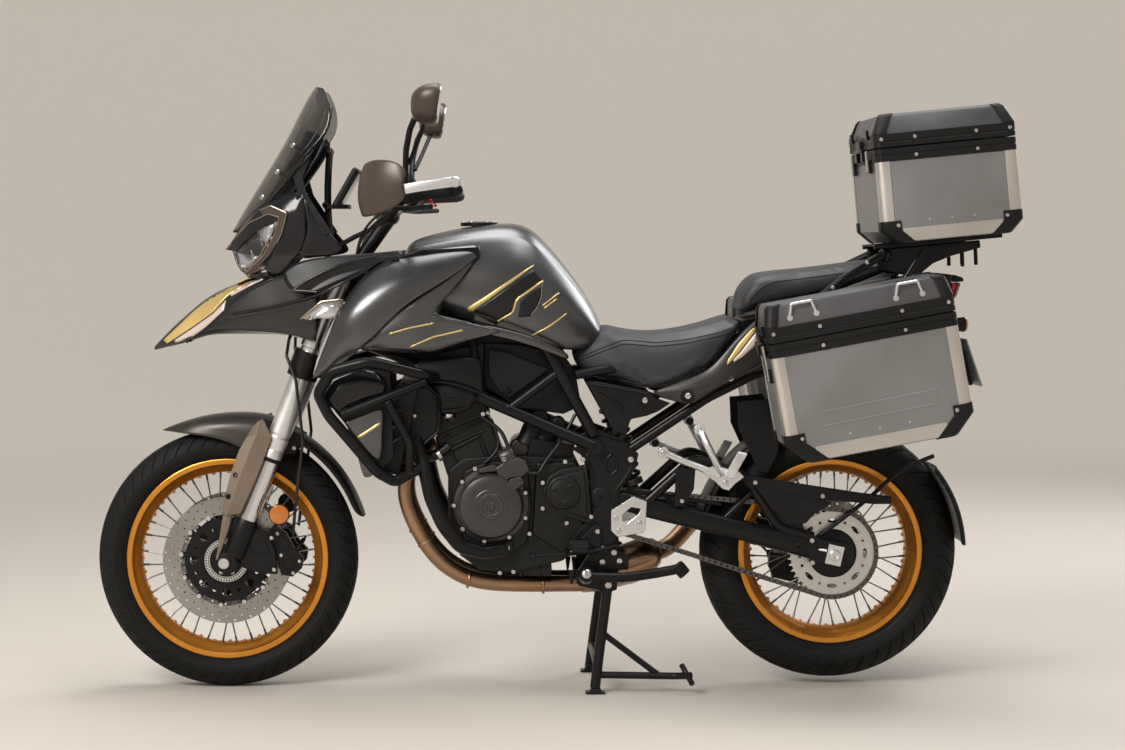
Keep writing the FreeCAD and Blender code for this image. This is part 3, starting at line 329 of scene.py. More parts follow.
def leaning_plate(outline, depth):
    """A plate whose outline points are full (x, y, z) and whose thickness runs across the machine."""
    count = len(outline)
    points = [place(*p) for p in outline] + [place(x, y + depth, z) for x, y, z in outline]
    faces = [tuple(range(count)), tuple(reversed(range(count, 2 * count)))]
    for i in range(count):
        j = (i + 1) % count
        faces.append((i, j, j + count, i + count))
    shape = bmesh.new()
    shape.from_mesh(mesh_from(points, faces))
    return finish_mesh(shape)


def tilted_to(point, angle):
    """The move from millimetres round the front axle's foot to a point, tilted about the crosswise axis."""
    return Matrix.Translation(place(*point)) @ Matrix.Rotation(angle, 4, "Y") @ Matrix.Translation(-place(0, 0, 0))


def turned_ring(profile, centre, segments):
    """A turned part round a crosswise axis, from a profile in (y, radius)."""
    shape = bmesh.new()
    rows = []
    for i in range(segments):
        angle = FULL_TURN * i / segments
        rows.append([shape.verts.new(centre + Vector((r * MM * math.cos(angle), y * MM, r * MM * math.sin(angle))))
                     for y, r in profile])
    count = len(profile)
    for i in range(segments):
        a, b = rows[i], rows[(i + 1) % segments]
        for j in range(count):
            k = (j + 1) % count
            shape.faces.new((a[j], a[k], b[k], b[j]))
    return finish_mesh(shape)


def lathe(start, end, profile, segments):
    """A turned part from start to end, from a profile of (share of the length, radius)."""
    a, b = Vector(start), Vector(end)
    run = b - a
    spin = run.to_track_quat("Z", "Y").to_matrix()
    shape = bmesh.new()
    rows = []
    for share, radius in profile:
        centre = a + run * share
        row = []
        for i in range(segments):
            angle = FULL_TURN * i / segments
            flat = Vector((math.cos(angle), math.sin(angle), 0)) * radius * MM
            row.append(shape.verts.new(centre + spin @ flat))
        rows.append(row)
    for a_row, b_row in zip(rows, rows[1:]):
        for i in range(segments):
            j = (i + 1) % segments
            shape.faces.new((a_row[i], a_row[j], b_row[j], b_row[i]))
    shape.faces.new(list(reversed(rows[0])))
    shape.faces.new(rows[-1])
    return finish_mesh(shape)


def rod(start, end, radius, segments=16, chamfer=0.0):
    """A round bar between two millimetre points, with a small chamfer at each end."""
    a, b = place(*start), place(*end)
    length = (b - a).length / MM
    cut = min(0.4, chamfer / length)
    if chamfer:
        return lathe(a, b, [(0, radius - chamfer), (cut, radius), (1 - cut, radius), (1, radius - chamfer)], segments)
    return lathe(a, b, [(0, radius), (1, radius)], segments)


def bent_tube(points, radius, sides=3, order=3, closed=False):
    """A smooth round tube led by a few millimetre points."""
    data = bpy.data.curves.new("lead", "CURVE")
    data.dimensions = "3D"
    data.bevel_depth = radius * MM
    data.bevel_resolution = sides
    data.use_fill_caps = True
    data.resolution_u = 6
    line = data.splines.new("NURBS")
    line.points.add(len(points) - 1)
    for spot, point in zip(line.points, points):
        spot.co = (*place(*point), 1)
    line.order_u = order
    line.use_endpoint_u = not closed
    line.use_cyclic_u = closed
    obj = bpy.data.objects.new("lead", data)
    bpy.context.collection.objects.link(obj)
    deps = bpy.context.evaluated_depsgraph_get()
    mesh = bpy.data.meshes.new_from_object(obj.evaluated_get(deps))
    bpy.data.objects.remove(obj)
    shape = bmesh.new()
    shape.from_mesh(mesh)
    return finish_mesh(shape)


def cornered_tube(points, radius, bend, sides=3):
    """A bent steel tube: straight runs with a round bend at each middle point."""
    led = [points[0]]
    for before, here, after in zip(points, points[1:], points[2:]):
        p, q, r = Vector(before), Vector(here), Vector(after)
        back, ahead = (p - q), (r - q)
        reach = min(bend, back.length * 0.45, ahead.length * 0.45)
        led.append(tuple(q + back.normalized() * reach))
        led.append(tuple(q))
        led.append(tuple(q + ahead.normalized() * reach))
    led.append(points[-1])
    return bent_tube(led, radius, sides=sides)


def grid_mesh(rows):
    """An open sheet through rows of millimetre points."""
    shape = bmesh.new()
    spots = [[shape.verts.new(place(*p)) for p in row] for row in rows]
    for a, b in zip(spots, spots[1:]):
        for i in range(len(a) - 1):
            shape.faces.new((a[i], a[i + 1], b[i + 1], b[i]))
    return finish_mesh(shape, merge=False, recalc=True)


def ring_mesh(rings, capped=True):
    """A closed skin through rings of millimetre points."""
    shape = bmesh.new()
    spots = [[shape.verts.new(place(*p)) for p in ring] for ring in rings]
    count = len(spots[0])
    for a, b in zip(spots, spots[1:]):
        for i in range(count):
            j = (i + 1) % count
            shape.faces.new((a[i], a[j], b[j], b[i]))
    if capped:
        shape.faces.new(list(reversed(spots[0])))
        shape.faces.new(spots[-1])
    return finish_mesh(shape, merge=False)


def crease(mesh, test, amount):
    """Sharpens the subdivided edges whose two ends pass a test."""
    layer = mesh.attributes.get("crease_edge") or mesh.attributes.new("crease_edge", "FLOAT", "EDGE")
    for edge in mesh.edges:
        a, b = (mesh.vertices[i].co for i in edge.vertices)
        if test(a, b):
            layer.data[edge.index].value = amount
    return mesh


def piece(name, mesh, finish, body, slot=None, bevel=0.0, segments=2, levels=0, thick=0.0, sharp=38.0,
          replaces=(), weighted=False):
    """A finished piece of the machine, riding on one of its bodies."""
    if isinstance(mesh, (list, tuple)):
        mesh = joined(mesh)
    mesh.name = name
    mesh.materials.clear()
    mesh.materials.append(FINISH[finish])
    obj = bpy.data.objects.new(name, mesh)
    bpy.context.collection.objects.link(obj)
    for face in mesh.polygons:
        face.use_smooth = True
        face.material_index = 0
    if levels:
        cage = obj.modifiers.new("smooth", "SUBSURF")
        cage.levels = levels
        cage.render_levels = levels
    elif not bevel:
        mesh.set_sharp_from_angle(angle=math.radians(sharp))
    if thick:
        wall = obj.modifiers.new("wall", "SOLIDIFY")
        wall.thickness = thick * MM
        wall.offset = -1.0
    if bevel:
        edge = obj.modifiers.new("edges", "BEVEL")
        edge.width = bevel * MM
        edge.segments = segments
        edge.limit_method = "ANGLE"
        edge.angle_limit = math.radians(sharp)
        edge.harden_normals = True
    if weighted:
        even = obj.modifiers.new("even", "WEIGHTED_NORMAL")
        even.keep_sharp = True
    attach(obj, body)
    if replaces:
        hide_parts(*replaces)
    return obj


# -------------------------------------------------------- repeating trees

def new_tree(name, inputs):
    """An empty geometry tree with named inputs and one geometry output."""
    tree = bpy.data.node_groups.new(name, "GeometryNodeTree")
    tree.interface.new_socket("Geometry", in_out="INPUT", socket_type="NodeSocketGeometry")
    for label, kind in inputs:
        tree.interface.new_socket(label, in_out="INPUT", socket_type=kind)
    tree.interface.new_socket("Geometry", in_out="OUTPUT", socket_type="NodeSocketGeometry")
    return tree, tree.nodes.new("NodeGroupInput"), tree.nodes.new("NodeGroupOutput")


def end_tree(tree, made, into, out):
    """Every tree ends by realising its copies and giving them their finish."""
    real = tree.nodes.new("GeometryNodeRealizeInstances")
    coat = tree.nodes.new("GeometryNodeSetMaterial")
    tree.links.new(made, real.inputs[0])
    tree.links.new(real.outputs[0], coat.inputs["Geometry"])
    tree.links.new(into.outputs["Material"], coat.inputs["Material"])
    tree.links.new(coat.outputs[0], out.inputs[0])


def math_node(tree, operation, a, b):
    step = tree.nodes.new("ShaderNodeMath")
    step.operation = operation
    for socket, value in zip(step.inputs, (a, b)):
        if isinstance(value, (int, float)):
            socket.default_value = value
        else:
            tree.links.new(value, socket)
    return step.outputs[0]


def make_round_tree():
    """Copies of an item, evenly turned about a crosswise axis through the origin."""
    tree, into, out = new_tree("round_the_axle", [("Item", "NodeSocketObject"), ("Count", "NodeSocketInt"),
                                                  ("Start Angle", "NodeSocketFloat"),
                                                  ("Material", "NodeSocketMaterial")])
    points = tree.nodes.new("GeometryNodePoints")
    tree.links.new(into.outputs["Count"], points.inputs["Count"])
    index = tree.nodes.new("GeometryNodeInputIndex")
    share = math_node(tree, "DIVIDE", index.outputs[0], into.outputs["Count"])
    angle = math_node(tree, "MULTIPLY", share, FULL_TURN)
    angle = math_node(tree, "ADD", angle, into.outputs["Start Angle"])
    turn = tree.nodes.new("ShaderNodeCombineXYZ")
    tree.links.new(angle, turn.inputs["Y"])
    item = tree.nodes.new("GeometryNodeObjectInfo")
    tree.links.new(into.outputs["Item"], item.inputs["Object"])
    copies = tree.nodes.new("GeometryNodeInstanceOnPoints")
    tree.links.new(points.outputs[0], copies.inputs["Points"])
    tree.links.new(item.outputs["Geometry"], copies.inputs["Instance"])
    tree.links.new(turn.outputs[0], copies.inputs["Rotation"])
    end_tree(tree, copies.outputs[0], into, out)
    return tree


def make_path_tree():
    """Copies of an item set along a path, each with its own X along the path."""
    tree, into, out = new_tree("along_the_path", [("Item", "NodeSocketObject"), ("Count", "NodeSocketInt"),
                                                  ("Material", "NodeSocketMaterial")])
    even = tree.nodes.new("GeometryNodeResampleCurve")
    tree.links.new(into.outputs["Geometry"], even.inputs["Curve"])
    tree.links.new(into.outputs["Count"], even.inputs["Count"])
    tangent = tree.nodes.new("GeometryNodeInputTangent")
    aim = tree.nodes.new("FunctionNodeAlignRotationToVector")
    aim.axis = "X"
    aim.pivot_axis = "Y"
    tree.links.new(tangent.outputs[0], aim.inputs["Vector"])
    item = tree.nodes.new("GeometryNodeObjectInfo")
    tree.links.new(into.outputs["Item"], item.inputs["Object"])
    copies = tree.nodes.new("GeometryNodeInstanceOnPoints")
    tree.links.new(even.outputs[0], copies.inputs["Points"])
    tree.links.new(item.outputs["Geometry"], copies.inputs["Instance"])
    tree.links.new(aim.outputs[0], copies.inputs["Rotation"])
    end_tree(tree, copies.outputs[0], into, out)
    return tree


def make_spot_tree():
    """Copies of an item set on loose points, each with its Z along the point's own aim."""
    tree, into, out = new_tree("on_the_spots", [("Item", "NodeSocketObject"), ("Size", "NodeSocketFloat"),
                                                ("Material", "NodeSocketMaterial")])
    aim_name = tree.nodes.new("GeometryNodeInputNamedAttribute")
    aim_name.data_type = "FLOAT_VECTOR"
    aim_name.inputs["Name"].default_value = "aim"
    aim = tree.nodes.new("FunctionNodeAlignRotationToVector")
    aim.axis = "Z"
    tree.links.new(aim_name.outputs["Attribute"], aim.inputs["Vector"])
    item = tree.nodes.new("GeometryNodeObjectInfo")
    tree.links.new(into.outputs["Item"], item.inputs["Object"])
    copies = tree.nodes.new("GeometryNodeInstanceOnPoints")
    tree.links.new(into.outputs["Geometry"], copies.inputs["Points"])
    tree.links.new(item.outputs["Geometry"], copies.inputs["Instance"])
    tree.links.new(aim.outputs[0], copies.inputs["Rotation"])
    tree.links.new(into.outputs["Size"], copies.inputs["Scale"])
    end_tree(tree, copies.outputs[0], into, out)
    return tree


ROUND_TREE = make_round_tree()
PATH_TREE = make_path_tree()
SPOT_TREE = make_spot_tree()


def grown(tree, base, values):
    """The plain mesh that a repeating tree makes from a base and its inputs."""
    carrier = bpy.data.objects.new("carrier", base)
    bpy.context.collection.objects.link(carrier)
    step = carrier.modifiers.new("repeat", "NODES")
    step.node_group = tree
    for socket in tree.interface.items_tree:
        if socket.in_out == "INPUT" and socket.name in values:
            step[socket.identifier] = values[socket.name]
    deps = bpy.context.evaluated_depsgraph_get()
    mesh = bpy.data.meshes.new_from_object(carrier.evaluated_get(deps))
    bpy.data.objects.remove(carrier)
    return mesh


def held_item(mesh):
    obj = bpy.data.objects.new("item", mesh)
    bpy.context.collection.objects.link(obj)
    return obj


def round_axle(mesh, count, centre, finish, start=0.0):
    """Copies of a mesh drawn at its first place, turned about the axle at centre."""
    item = held_item(turned(mesh, Matrix.Translation(-centre)))
    made = grown(ROUND_TREE, bpy.data.meshes.new("seed"),
                 {"Item": item, "Count": count, "Start Angle": start, "Material": FINISH[finish]})
    bpy.data.objects.remove(item)
    return turned(made, Matrix.Translation(centre))


def on_spots(mesh, spots, finish):
    """Copies of a small mesh at (point, aim) spots; point in millimetres."""
    item = held_item(mesh)
    base = mesh_from([place(*point) for point, aim in spots], [])
    layer = base.attributes.new("aim", "FLOAT_VECTOR", "POINT")
    for entry, (point, aim) in zip(layer.data, spots):
        entry.vector = aim
    made = grown(SPOT_TREE, base, {"Item": item, "Size": 1.0, "Material": FINISH[finish]})
    bpy.data.objects.remove(item)
    return made


def round_path(mesh, points, count, finish):
    """Copies of a mesh round a closed path of model points."""
    item = held_item(mesh)
    data = bpy.data.curves.new("path", "CURVE")
    data.dimensions = "3D"
    line = data.splines.new("POLY")
    line.points.add(len(points) - 1)
    for spot, point in zip(line.points, points):
        spot.co = (*point, 1)
    line.use_cyclic_u = True
    made = grown(PATH_TREE, data, {"Item": item, "Count": count, "Material": FINISH[finish]})
    bpy.data.objects.remove(item)
    return made


def bolt_head(radius, height):
    """A button-head bolt with a sunk socket, standing on its seat."""
    sides = 12
    shape = bmesh.new()
    levels = [(radius, -0.3), (radius, height * 0.45), (radius * 0.8, height * 0.9), (radius * 0.5, height),
              (radius * 0.46, height * 0.35)]
    rows = []
    for r, h in levels:
        rows.append([shape.verts.new((r * MM * math.cos(FULL_TURN * i / sides),
                                      r * MM * math.sin(FULL_TURN * i / sides), h * MM)) for i in range(sides)])
    for a, b in zip(rows, rows[1:]):
        for i in range(sides):
            j = (i + 1) % sides
            shape.faces.new((a[i], a[j], b[j], b[i]))
    shape.faces.new(list(reversed(rows[0])))
    shape.faces.new(rows[-1])
    return finish_mesh(shape)


def bolted(name, radius, height, spots, finish, body):
    """A set of button-head bolts as one piece."""
    return piece(name, on_spots(bolt_head(radius, height), spots, finish), finish, body)


def pierced_ring(centre, radii, count, y0, y1, holes, steps=8):
    """A flat ring of equal cells; holes gives each row its (along, across) hole by cell, or None."""
    shape = bmesh.new()
    cell = FULL_TURN / count

    def at(angle, radius):
        return shape.verts.new(centre + Vector((radius * MM * math.cos(angle), y0 * MM,
                                                radius * MM * math.sin(angle))))

    for row, (low, high) in enumerate(zip(radii, radii[1:])):
        for i in range(count):
            middle = i * cell
            rim_pts = []
            for k in range(steps):
                turn = FULL_TURN * k / steps
                u, v = math.cos(turn), math.sin(turn)
                scale = 1 / max(abs(u), abs(v))
                rim_pts.append((u * scale, v * scale))
            outer = [at(middle + u * cell / 2, (low + high) / 2 + v * (high - low) / 2) for u, v in rim_pts]
            hole = holes(row, i)
            if hole is None:
                shape.faces.new(outer)
                continue
            along, across = hole
            radius = (low + high) / 2
            inner = [at(middle + along / radius * math.cos(FULL_TURN * k / steps),
                        radius + across * math.sin(FULL_TURN * k / steps)) for k in range(steps)]
            for k in range(steps):
                m = (k + 1) % steps
                shape.faces.new((outer[k], outer[m], inner[m], inner[k]))
    bmesh.ops.remove_doubles(shape, verts=shape.verts, dist=0.00005)
    flat = list(shape.faces)
    made = bmesh.ops.extrude_face_region(shape, geom=flat)
    lifted = [v for v in made["geom"] if isinstance(v, bmesh.types.BMVert)]
    bmesh.ops.translate(shape, verts=lifted, vec=(0, (y1 - y0) * MM, 0))
    return finish_mesh(shape, merge=False)

# ------------------------------------------------------------------ wheels

WHEELS = {
    # tyre radius, half width, rim flange radius, bead half width
    "front": (329.3, 55.0, 254.5, 38.0),
    "rear": (330.0, 75.0, 236.0, 56.0),
}


def crown(y, radius, half, shoulder):
    """Tread radius at a place across the tyre."""
    drop = radius - shoulder
    bow = (half ** 2 + drop ** 2) / (2 * drop)
    return radius - bow + math.sqrt(bow ** 2 - y ** 2)


def tyre_body(kind, centre):
    """The carcass under the tread, its ribbed sidewalls and beads, closed inside the rim."""
    radius, half, flange, bead = WHEELS[kind]
    shoulder = flange + 0.42 * (radius - flange)
    groove = 5.0
    rise = shoulder - flange
    middle = (half ** 2 - bead ** 2 - rise ** 2) / (2 * (half - bead))
    turn = math.atan2(rise, bead - middle)
    ribs = {0.16: 0.5, 0.2: 0.5, 0.55: 0.7, 0.78: 0.5, 0.82: 0.9, 0.86: 0.5}
    side = []
    for i in range(51):
        share = i / 50
        lift = 0.0
        for spot, height in ribs.items():
            if abs(share - spot) < 0.012:
                lift = height
        reach = half - middle + lift
        side.append((middle + reach * math.cos(turn * share), shoulder - reach * math.sin(turn * share)))
    tread = []
    for i in range(13):
        y = -(half - 1.5) + (2 * half - 3) * i / 12
        tread.append((y, crown(y, radius, half, shoulder) - groove))
    left = [(-y, r) for y, r in reversed(side)]
    liner = [(bead, flange - 10.5), (bead - 8, flange - 10.5), (-bead + 8, flange - 10.5), (-bead, flange - 10.5)]
    return turned_ring(left + tread + side + liner, centre, 144)


def tread_block(kind, centre, pitch, side, inner, outer, cut):
    """One slanted block of tread from y inner to y outer; cut is the groove between blocks."""
    radius, half, flange, _ = WHEELS[kind]
    shoulder = flange + 0.42 * (radius - flange)
    across, along = 6, 3
    slope = 0.85
    shape = bmesh.new()

    def spot(u, v, deep):
        y = inner + (outer - inner) * u
        turn = (v - 0.5) * (pitch - cut) + slope * pitch * (u ** 1.3)
        r = crown(min(y, half - 0.5), radius, half, shoulder) - deep
        return shape.verts.new(centre + Vector((r * MM * math.cos(turn), side * y * MM, r * MM * math.sin(turn))))

    edge = 0.06
    us = [0.0, edge] + [edge + (1 - 2 * edge) * i / across for i in range(1, across)] + [1 - edge, 1.0]
    vs = [0.0, 0.08] + [0.08 + 0.84 * i / along for i in range(1, along)] + [0.92, 1.0]
    top = []
    for u in us:
        row = []
        for v in vs:
            at_edge = u in (0.0, 1.0) or v in (0.0, 1.0)
            row.append(spot(u, v, 0.7 if at_edge else 0.0))
        top.append(row)
    for a, b in zip(top, top[1:]):
        for i in range(len(vs) - 1):
            shape.faces.new((a[i], a[i + 1], b[i + 1], b[i]))
    rim_u = [(u, 0.0) for u in us] + [(1.0, v) for v in vs[1:]]
    rim_u += [(u, 1.0) for u in reversed(us[:-1])] + [(0.0, v) for v in reversed(vs[1:-1])]
    upper = [top[us.index(u)][vs.index(v)] for u, v in rim_u]
    lower = [spot(u, v, 5.6) for u, v in rim_u]
    for i in range(len(rim_u)):
        j = (i + 1) % len(rim_u)
        shape.faces.new((upper[i], upper[j], lower[j], lower[i]))
    shape.faces.new(lower)
    return finish_mesh(shape)


def make_tyre(kind, centre, body):
    half = WHEELS[kind][1]
    count = 52 if kind == "front" else 46
    pitch = FULL_TURN / count
    meshes = [tyre_body(kind, centre)]
    split = 0.52 * half
    for side in BOTH:
        first = 0.0 if side < 0 else pitch / 2
        middle = tread_block(kind, centre, pitch, side, 2.2, split - 1.6, pitch * 0.10)
        edge = tread_block(kind, centre, pitch, side, split + 1.6, half - 0.8, pitch * 0.14)
        meshes.append(round_axle(middle, count, centre, "tyre", first))
        meshes.append(round_axle(edge, count, centre, "tyre", first + pitch * 0.55))
    piece(kind + "_tyre_and_tread", meshes, "tyre", body, sharp=30, replaces=[kind + "_tyre"])


def make_rim(kind, centre, body):
    """Rolled rim: tyre flange, bead step, well and the raised seats of the spoke nipples."""
    _, _, flange, bead = WHEELS[kind]
    side = [(bead + 1.5, flange - 0.6), (bead + 3.6, flange - 0.2), (bead + 4.6, flange - 2.2),
            (bead + 4.4, flange - 9.5),
            (bead + 3.2, flange - 13.5), (bead + 0.6, flange - 15.4), (bead - 4.5, flange - 17.2),
            (bead - 9.0, flange - 21.5), (bead - 15.0, flange - 29.0), (bead - 19.5, flange - 33.5),
            (9.0, flange - 36.4)]
    if kind == "rear":
        side[8:10] = [(bead - 18.0, flange - 28.0), (24.0, flange - 33.5)]
    other = [(-y, r) for y, r in reversed(side)]
    well = [(-bead, flange - 1.5), (-bead, flange - 10.6), (-bead + 13, flange - 11), (-14, flange - 23.6),
            (14, flange - 23.6), (bead - 13, flange - 11), (bead, flange - 10.6), (bead, flange - 1.5)]
    meshes = [turned_ring(side + other + well, centre, 160)]
    seat = lathe(centre + Vector((0, 0.006, (flange - 34.0) * MM)), centre + Vector((0, 0.006, (flange - 40.5) * MM)),
                 [(0, 5.2), (0.6, 4.6), (1, 3.6)], 10)
    meshes.append(round_axle(seat, 18, centre, "gold_rim"))
    meshes.append(round_axle(turned(seat, Matrix.Translation((0, -0.012, 0))), 18, centre, "gold_rim", math.pi / 18))
    piece(kind + "_rolled_rim", meshes, "gold_rim", body, sharp=28, replaces=[kind + "_rim"])


def wire_set(centre, hub_y, hub_r, rim_r, rim_y, finish_wire):
    """Crossed wires from both hub flanges, with a six-sided nipple at each rim end."""
    wires, nipples = [], []
    step = FULL_TURN / 18
    for side in BOTH:
        for i in (0, 1):
            lean = 0.62 if i % 2 else -0.62
            out = (i + 0.25 * side) * step
            root = out + lean
            a = centre + Vector((hub_r * math.cos(root), side * hub_y, hub_r * math.sin(root))) * MM
            b = centre + Vector((rim_r * math.cos(out), side * rim_y, rim_r * math.sin(out))) * MM
            wires.append(lathe(a, b, [(0, 1.9), (1, 1.9)], 8))
            c = b + (a - b).normalized() * 0.021
            nipples.append(lathe(c, b, [(0, 2.4), (0.06, 3.0), (0.8, 3.0), (0.84, 3.9), (1, 3.9)], 6))
    return joined([round_axle(joined(wires), 9, centre, finish_wire),
                   round_axle(joined(nipples), 9, centre, finish_wire)])


def make_front_hub():
    centre, body = FRONT_AXLE, "front_wheel"
    barrel = turned_ring([(-60, 14), (-60, 25), (-50, 27), (-46, 36), (-40, 38), (-35, 38), (-31, 30), (-20, 24),
                          (20, 24),
                          (31, 30), (35, 38), (40, 38), (46, 36), (50, 27), (60, 25), (60, 14)], centre, 64)
    piece("front_hub_shell", barrel, "black_metal", body, sharp=30, replaces=["front_hub"])
    piece("front_wires", wire_set(centre, 37, 36, 224, 6, "wire_steel"), "wire_steel", body, slot="wheel_steel",
          sharp=30)
    discs, carriers, buttons = [], [], []
    for side in BOTH:
        y0, y1 = (62, 67) if side > 0 else (-67, -62)

        def holes(row, i):
            return (2.7, 2.7) if (row + i) % 2 == 0 else None
        discs.append(pierced_ring(centre, (116, 127, 138, 149, 160), 48, y0, y1, holes))

        def windows(row, i):
            if row != 1:
                return None
            return (11.5, 10.5) if i % 2 == 0 else (4.5, 4.5)
        carriers.append(pierced_ring(centre, (62, 68, 96, 105), 16, y0 - 1 if side < 0 else y0 + 1,
                                     y1 - 1.5 if side < 0 else y1 + 1, windows, 16))
        arm = box_mesh(-8, 8, *span(side, 63, 66.5), FRONT_AXLE.z / MM + 100, FRONT_AXLE.z / MM + 113)
        carriers.append(round_axle(arm, 12, centre, "black_metal", 0.13))
        button = lathe(centre + Vector((0, side * 0.060, 0.1145)), centre + Vector((0, side * 0.0705, 0.1145)),
                       [(0, 6.4), (0.5, 6.4), (0.85, 6.4), (1, 5.2)], 14)
        buttons.append(round_axle(button, 12, centre, "wheel_steel", 0.13))
        cover = turned_ring([(side * 55, 20), (side * 55, 66), (side * 66, 63), (side * 67.5, 50), (side * 68, 20)],
                            centre, 64)
        carriers.append(cover)
    piece("front_discs", discs, "disc_steel", body, slot="wheel_steel", sharp=30)
    piece("front_disc_carriers", carriers, "black_metal", body, sharp=30)
    piece("front_disc_buttons", buttons, "wheel_steel", body, sharp=30)

    def teeth(_row, _i):
        return (2.0, 2.2)
    ring = pierced_ring(centre, (42, 48.5, 55), 48, -70.5, -68.8, teeth)
    piece("front_sensor_ring", ring, "wheel_steel", body, sharp=30)


def make_rear_hub():
    centre, body = REAR_AXLE, "rear_wheel"
    barrel = turned_ring([(-72, 14), (-72, 62), (-60, 66), (-56, 52), (-50, 52), (-44, 56), (-38, 52), (-34, 36),
                          (30, 34),
                          (36, 46), (44, 50), (50, 46), (54, 36), (78, 34), (78, 14)], centre, 64)
    piece("rear_hub_shell", barrel, "black_metal", body, sharp=30, replaces=["rear_hub"])
    piece("rear_wires", wire_set(centre, 43, 46, 206, 8, "wire_steel"), "wire_steel", body, slot="wheel_steel",
          sharp=30)

    def slots(row, i):
        if row != 1:
            return None
        return (13.5, 5.6) if i % 2 == 0 else (4.0, 4.0)
    sprocket = pierced_ring(centre, (62, 72, 94, 106), 16, -95, -89, slots, 16)
    tooth_ring = (106.2, 106.2, 106.4, 113.8, 113.8, 106.4) * TEETH
    shape = bmesh.new()
    rows = []
    for i, high in enumerate(tooth_ring):
        angle = first_tooth() + FULL_TURN * (i - 3.5) / len(tooth_ring)
        out = Vector((math.cos(angle), 0, math.sin(angle))) * MM
        wide = Vector((0, MM, 0))
        rows.append([shape.verts.new(centre + out * 103 - wide * 95),
                     shape.verts.new(centre + out * high - wide * 94.2),
                     shape.verts.new(centre + out * high - wide * 89.8),
                     shape.verts.new(centre + out * 103 - wide * 89)])
    for i in range(len(rows)):
        a, b = rows[i], rows[(i + 1) % len(rows)]
        for j in range(4):
            k = (j + 1) % 4
            shape.faces.new((a[j], a[k], b[k], b[j]))
    teeth = finish_mesh(shape)
    piece("rear_sprocket", [sprocket, teeth], "sprocket_alloy", body, slot="wheel_steel", sharp=30)
    carrier = turned_ring([(-92, 30), (-92, 58), (-88, 66), (-72, 70), (-72, 20)], centre, 64)
    piece("rear_sprocket_carrier", carrier, "black_metal", body, sharp=30)
    nut = lathe(centre + Vector((0, -0.0965, 0.0665)), centre + Vector((0, -0.088, 0.0665)), [(0, 4.6), (1, 5.4)], 6)
    piece("rear_sprocket_nuts", round_axle(nut, 8, centre, "wheel_steel", math.pi / 8), "wheel_steel", body, sharp=30)

    def holes(row, i):
        return (2.7, 2.7) if (row + i) % 2 == 0 else None
    disc = pierced_ring(centre, (96, 107, 118, 130), 36, 80, 85, holes)

    def windows(row, i):
        return (10, 6) if row == 1 and i % 2 == 0 else None
    arms = pierced_ring(centre, (52, 60, 84, 97), 20, 79.5, 84, windows, 16)
    piece("rear_disc", disc, "disc_steel", body, slot="wheel_steel", sharp=30)
    piece("rear_disc_carrier", arms, "black_metal", body, sharp=30)


# Rear sprocket teeth, links round both sprockets, and the sprockets' pitch radii in metres.
TEETH, LINKS, SMALL, LARGE = 44, 114, 0.040, 0.1116


def chain_path():
    """Points round the gearbox and wheel sprockets, in the model's metres."""
    front = place(880, -91.5, 478)
    rear = REAR_AXLE + Vector((0, -0.0915, 0))
    run = rear - front
    span = math.hypot(run.x, run.z)
    base = math.atan2(run.z, run.x)
    lean = math.asin((LARGE - SMALL) / span)
    points = []
    start, stop = base + math.pi / 2 + lean, base + 3 * math.pi / 2 - lean
    for i in range(13):
        angle = start + (stop - start) * i / 12
        points.append(front + Vector((SMALL * math.cos(angle), 0, SMALL * math.sin(angle))))
    start, stop = base - math.pi / 2 - lean, base + math.pi / 2 + lean
    for i in range(33):
        angle = start + (stop - start) * i / 32
        points.append(rear + Vector((LARGE * math.cos(angle), 0, LARGE * math.sin(angle))))
    return points


def first_tooth():
    """The turn at which a rear tooth stands midway between two rollers."""
    points = chain_path()
    run = sum((b - a).length for a, b in zip(points, points[1:14]))
    meet = points[13] - REAR_AXLE
    return math.atan2(meet.z, meet.x) - run / LARGE


def chain_link():
    """One link on its side: two waisted plates either side of a roller."""
    half = 15.875 / 2
    outline = []
    for i in range(20):
        angle = FULL_TURN * i / 20
        u = math.cos(angle)
        waist = 1.0 - 0.30 * (1 - abs(u)) ** 1.5
        outline.append((half * 0.62 * u + math.copysign(half * 0.62, u) * min(1.0, abs(u) * 1.5) * 0.75,
                        7.8 * math.sin(angle) * waist))
    meshes = []
    for y0, y1 in ((-7.6, -5.6), (5.6, 7.6)):
        points = [Vector((x * MM, y * MM, z * MM)) for y in (y0, y1) for x, z in outline]
        n = len(outline)
        faces = [tuple(range(n)), tuple(reversed(range(n, 2 * n)))]
        faces += [(i, (i + 1) % n, (i + 1) % n + n, i + n) for i in range(n)]
        shape = bmesh.new()
        shape.from_mesh(mesh_from(points, faces))
        meshes.append(finish_mesh(shape))
    for x in (-half, half):
        meshes.append(lathe(Vector((x * MM, -0.0085, 0)), Vector((x * MM, 0.0085, 0)), [(0, 2.6), (1, 2.6)], 8))
    meshes.append(lathe(Vector((half * MM, -0.0055, 0)), Vector((half * MM, 0.0055, 0)), [(0, 5.0), (1, 5.0)], 10))
    return joined(meshes)


def make_chain():
    made = round_path(chain_link(), chain_path(), LINKS, "chain_steel")
    piece("roller_chain", made, "chain_steel", "chassis", sharp=35, replaces=["chain"])


def make_wheels():
    make_tyre("front", FRONT_AXLE, "front_wheel")
    make_rim("front", FRONT_AXLE, "front_wheel")
    make_front_hub()
    make_tyre("rear", REAR_AXLE, "rear_wheel")
    make_rim("rear", REAR_AXLE, "rear_wheel")
    make_rear_hub()
    make_chain()

# ---------------------------------------------------------------- steering

RAKE = math.radians(21.0)
LEG_Y = 106.0


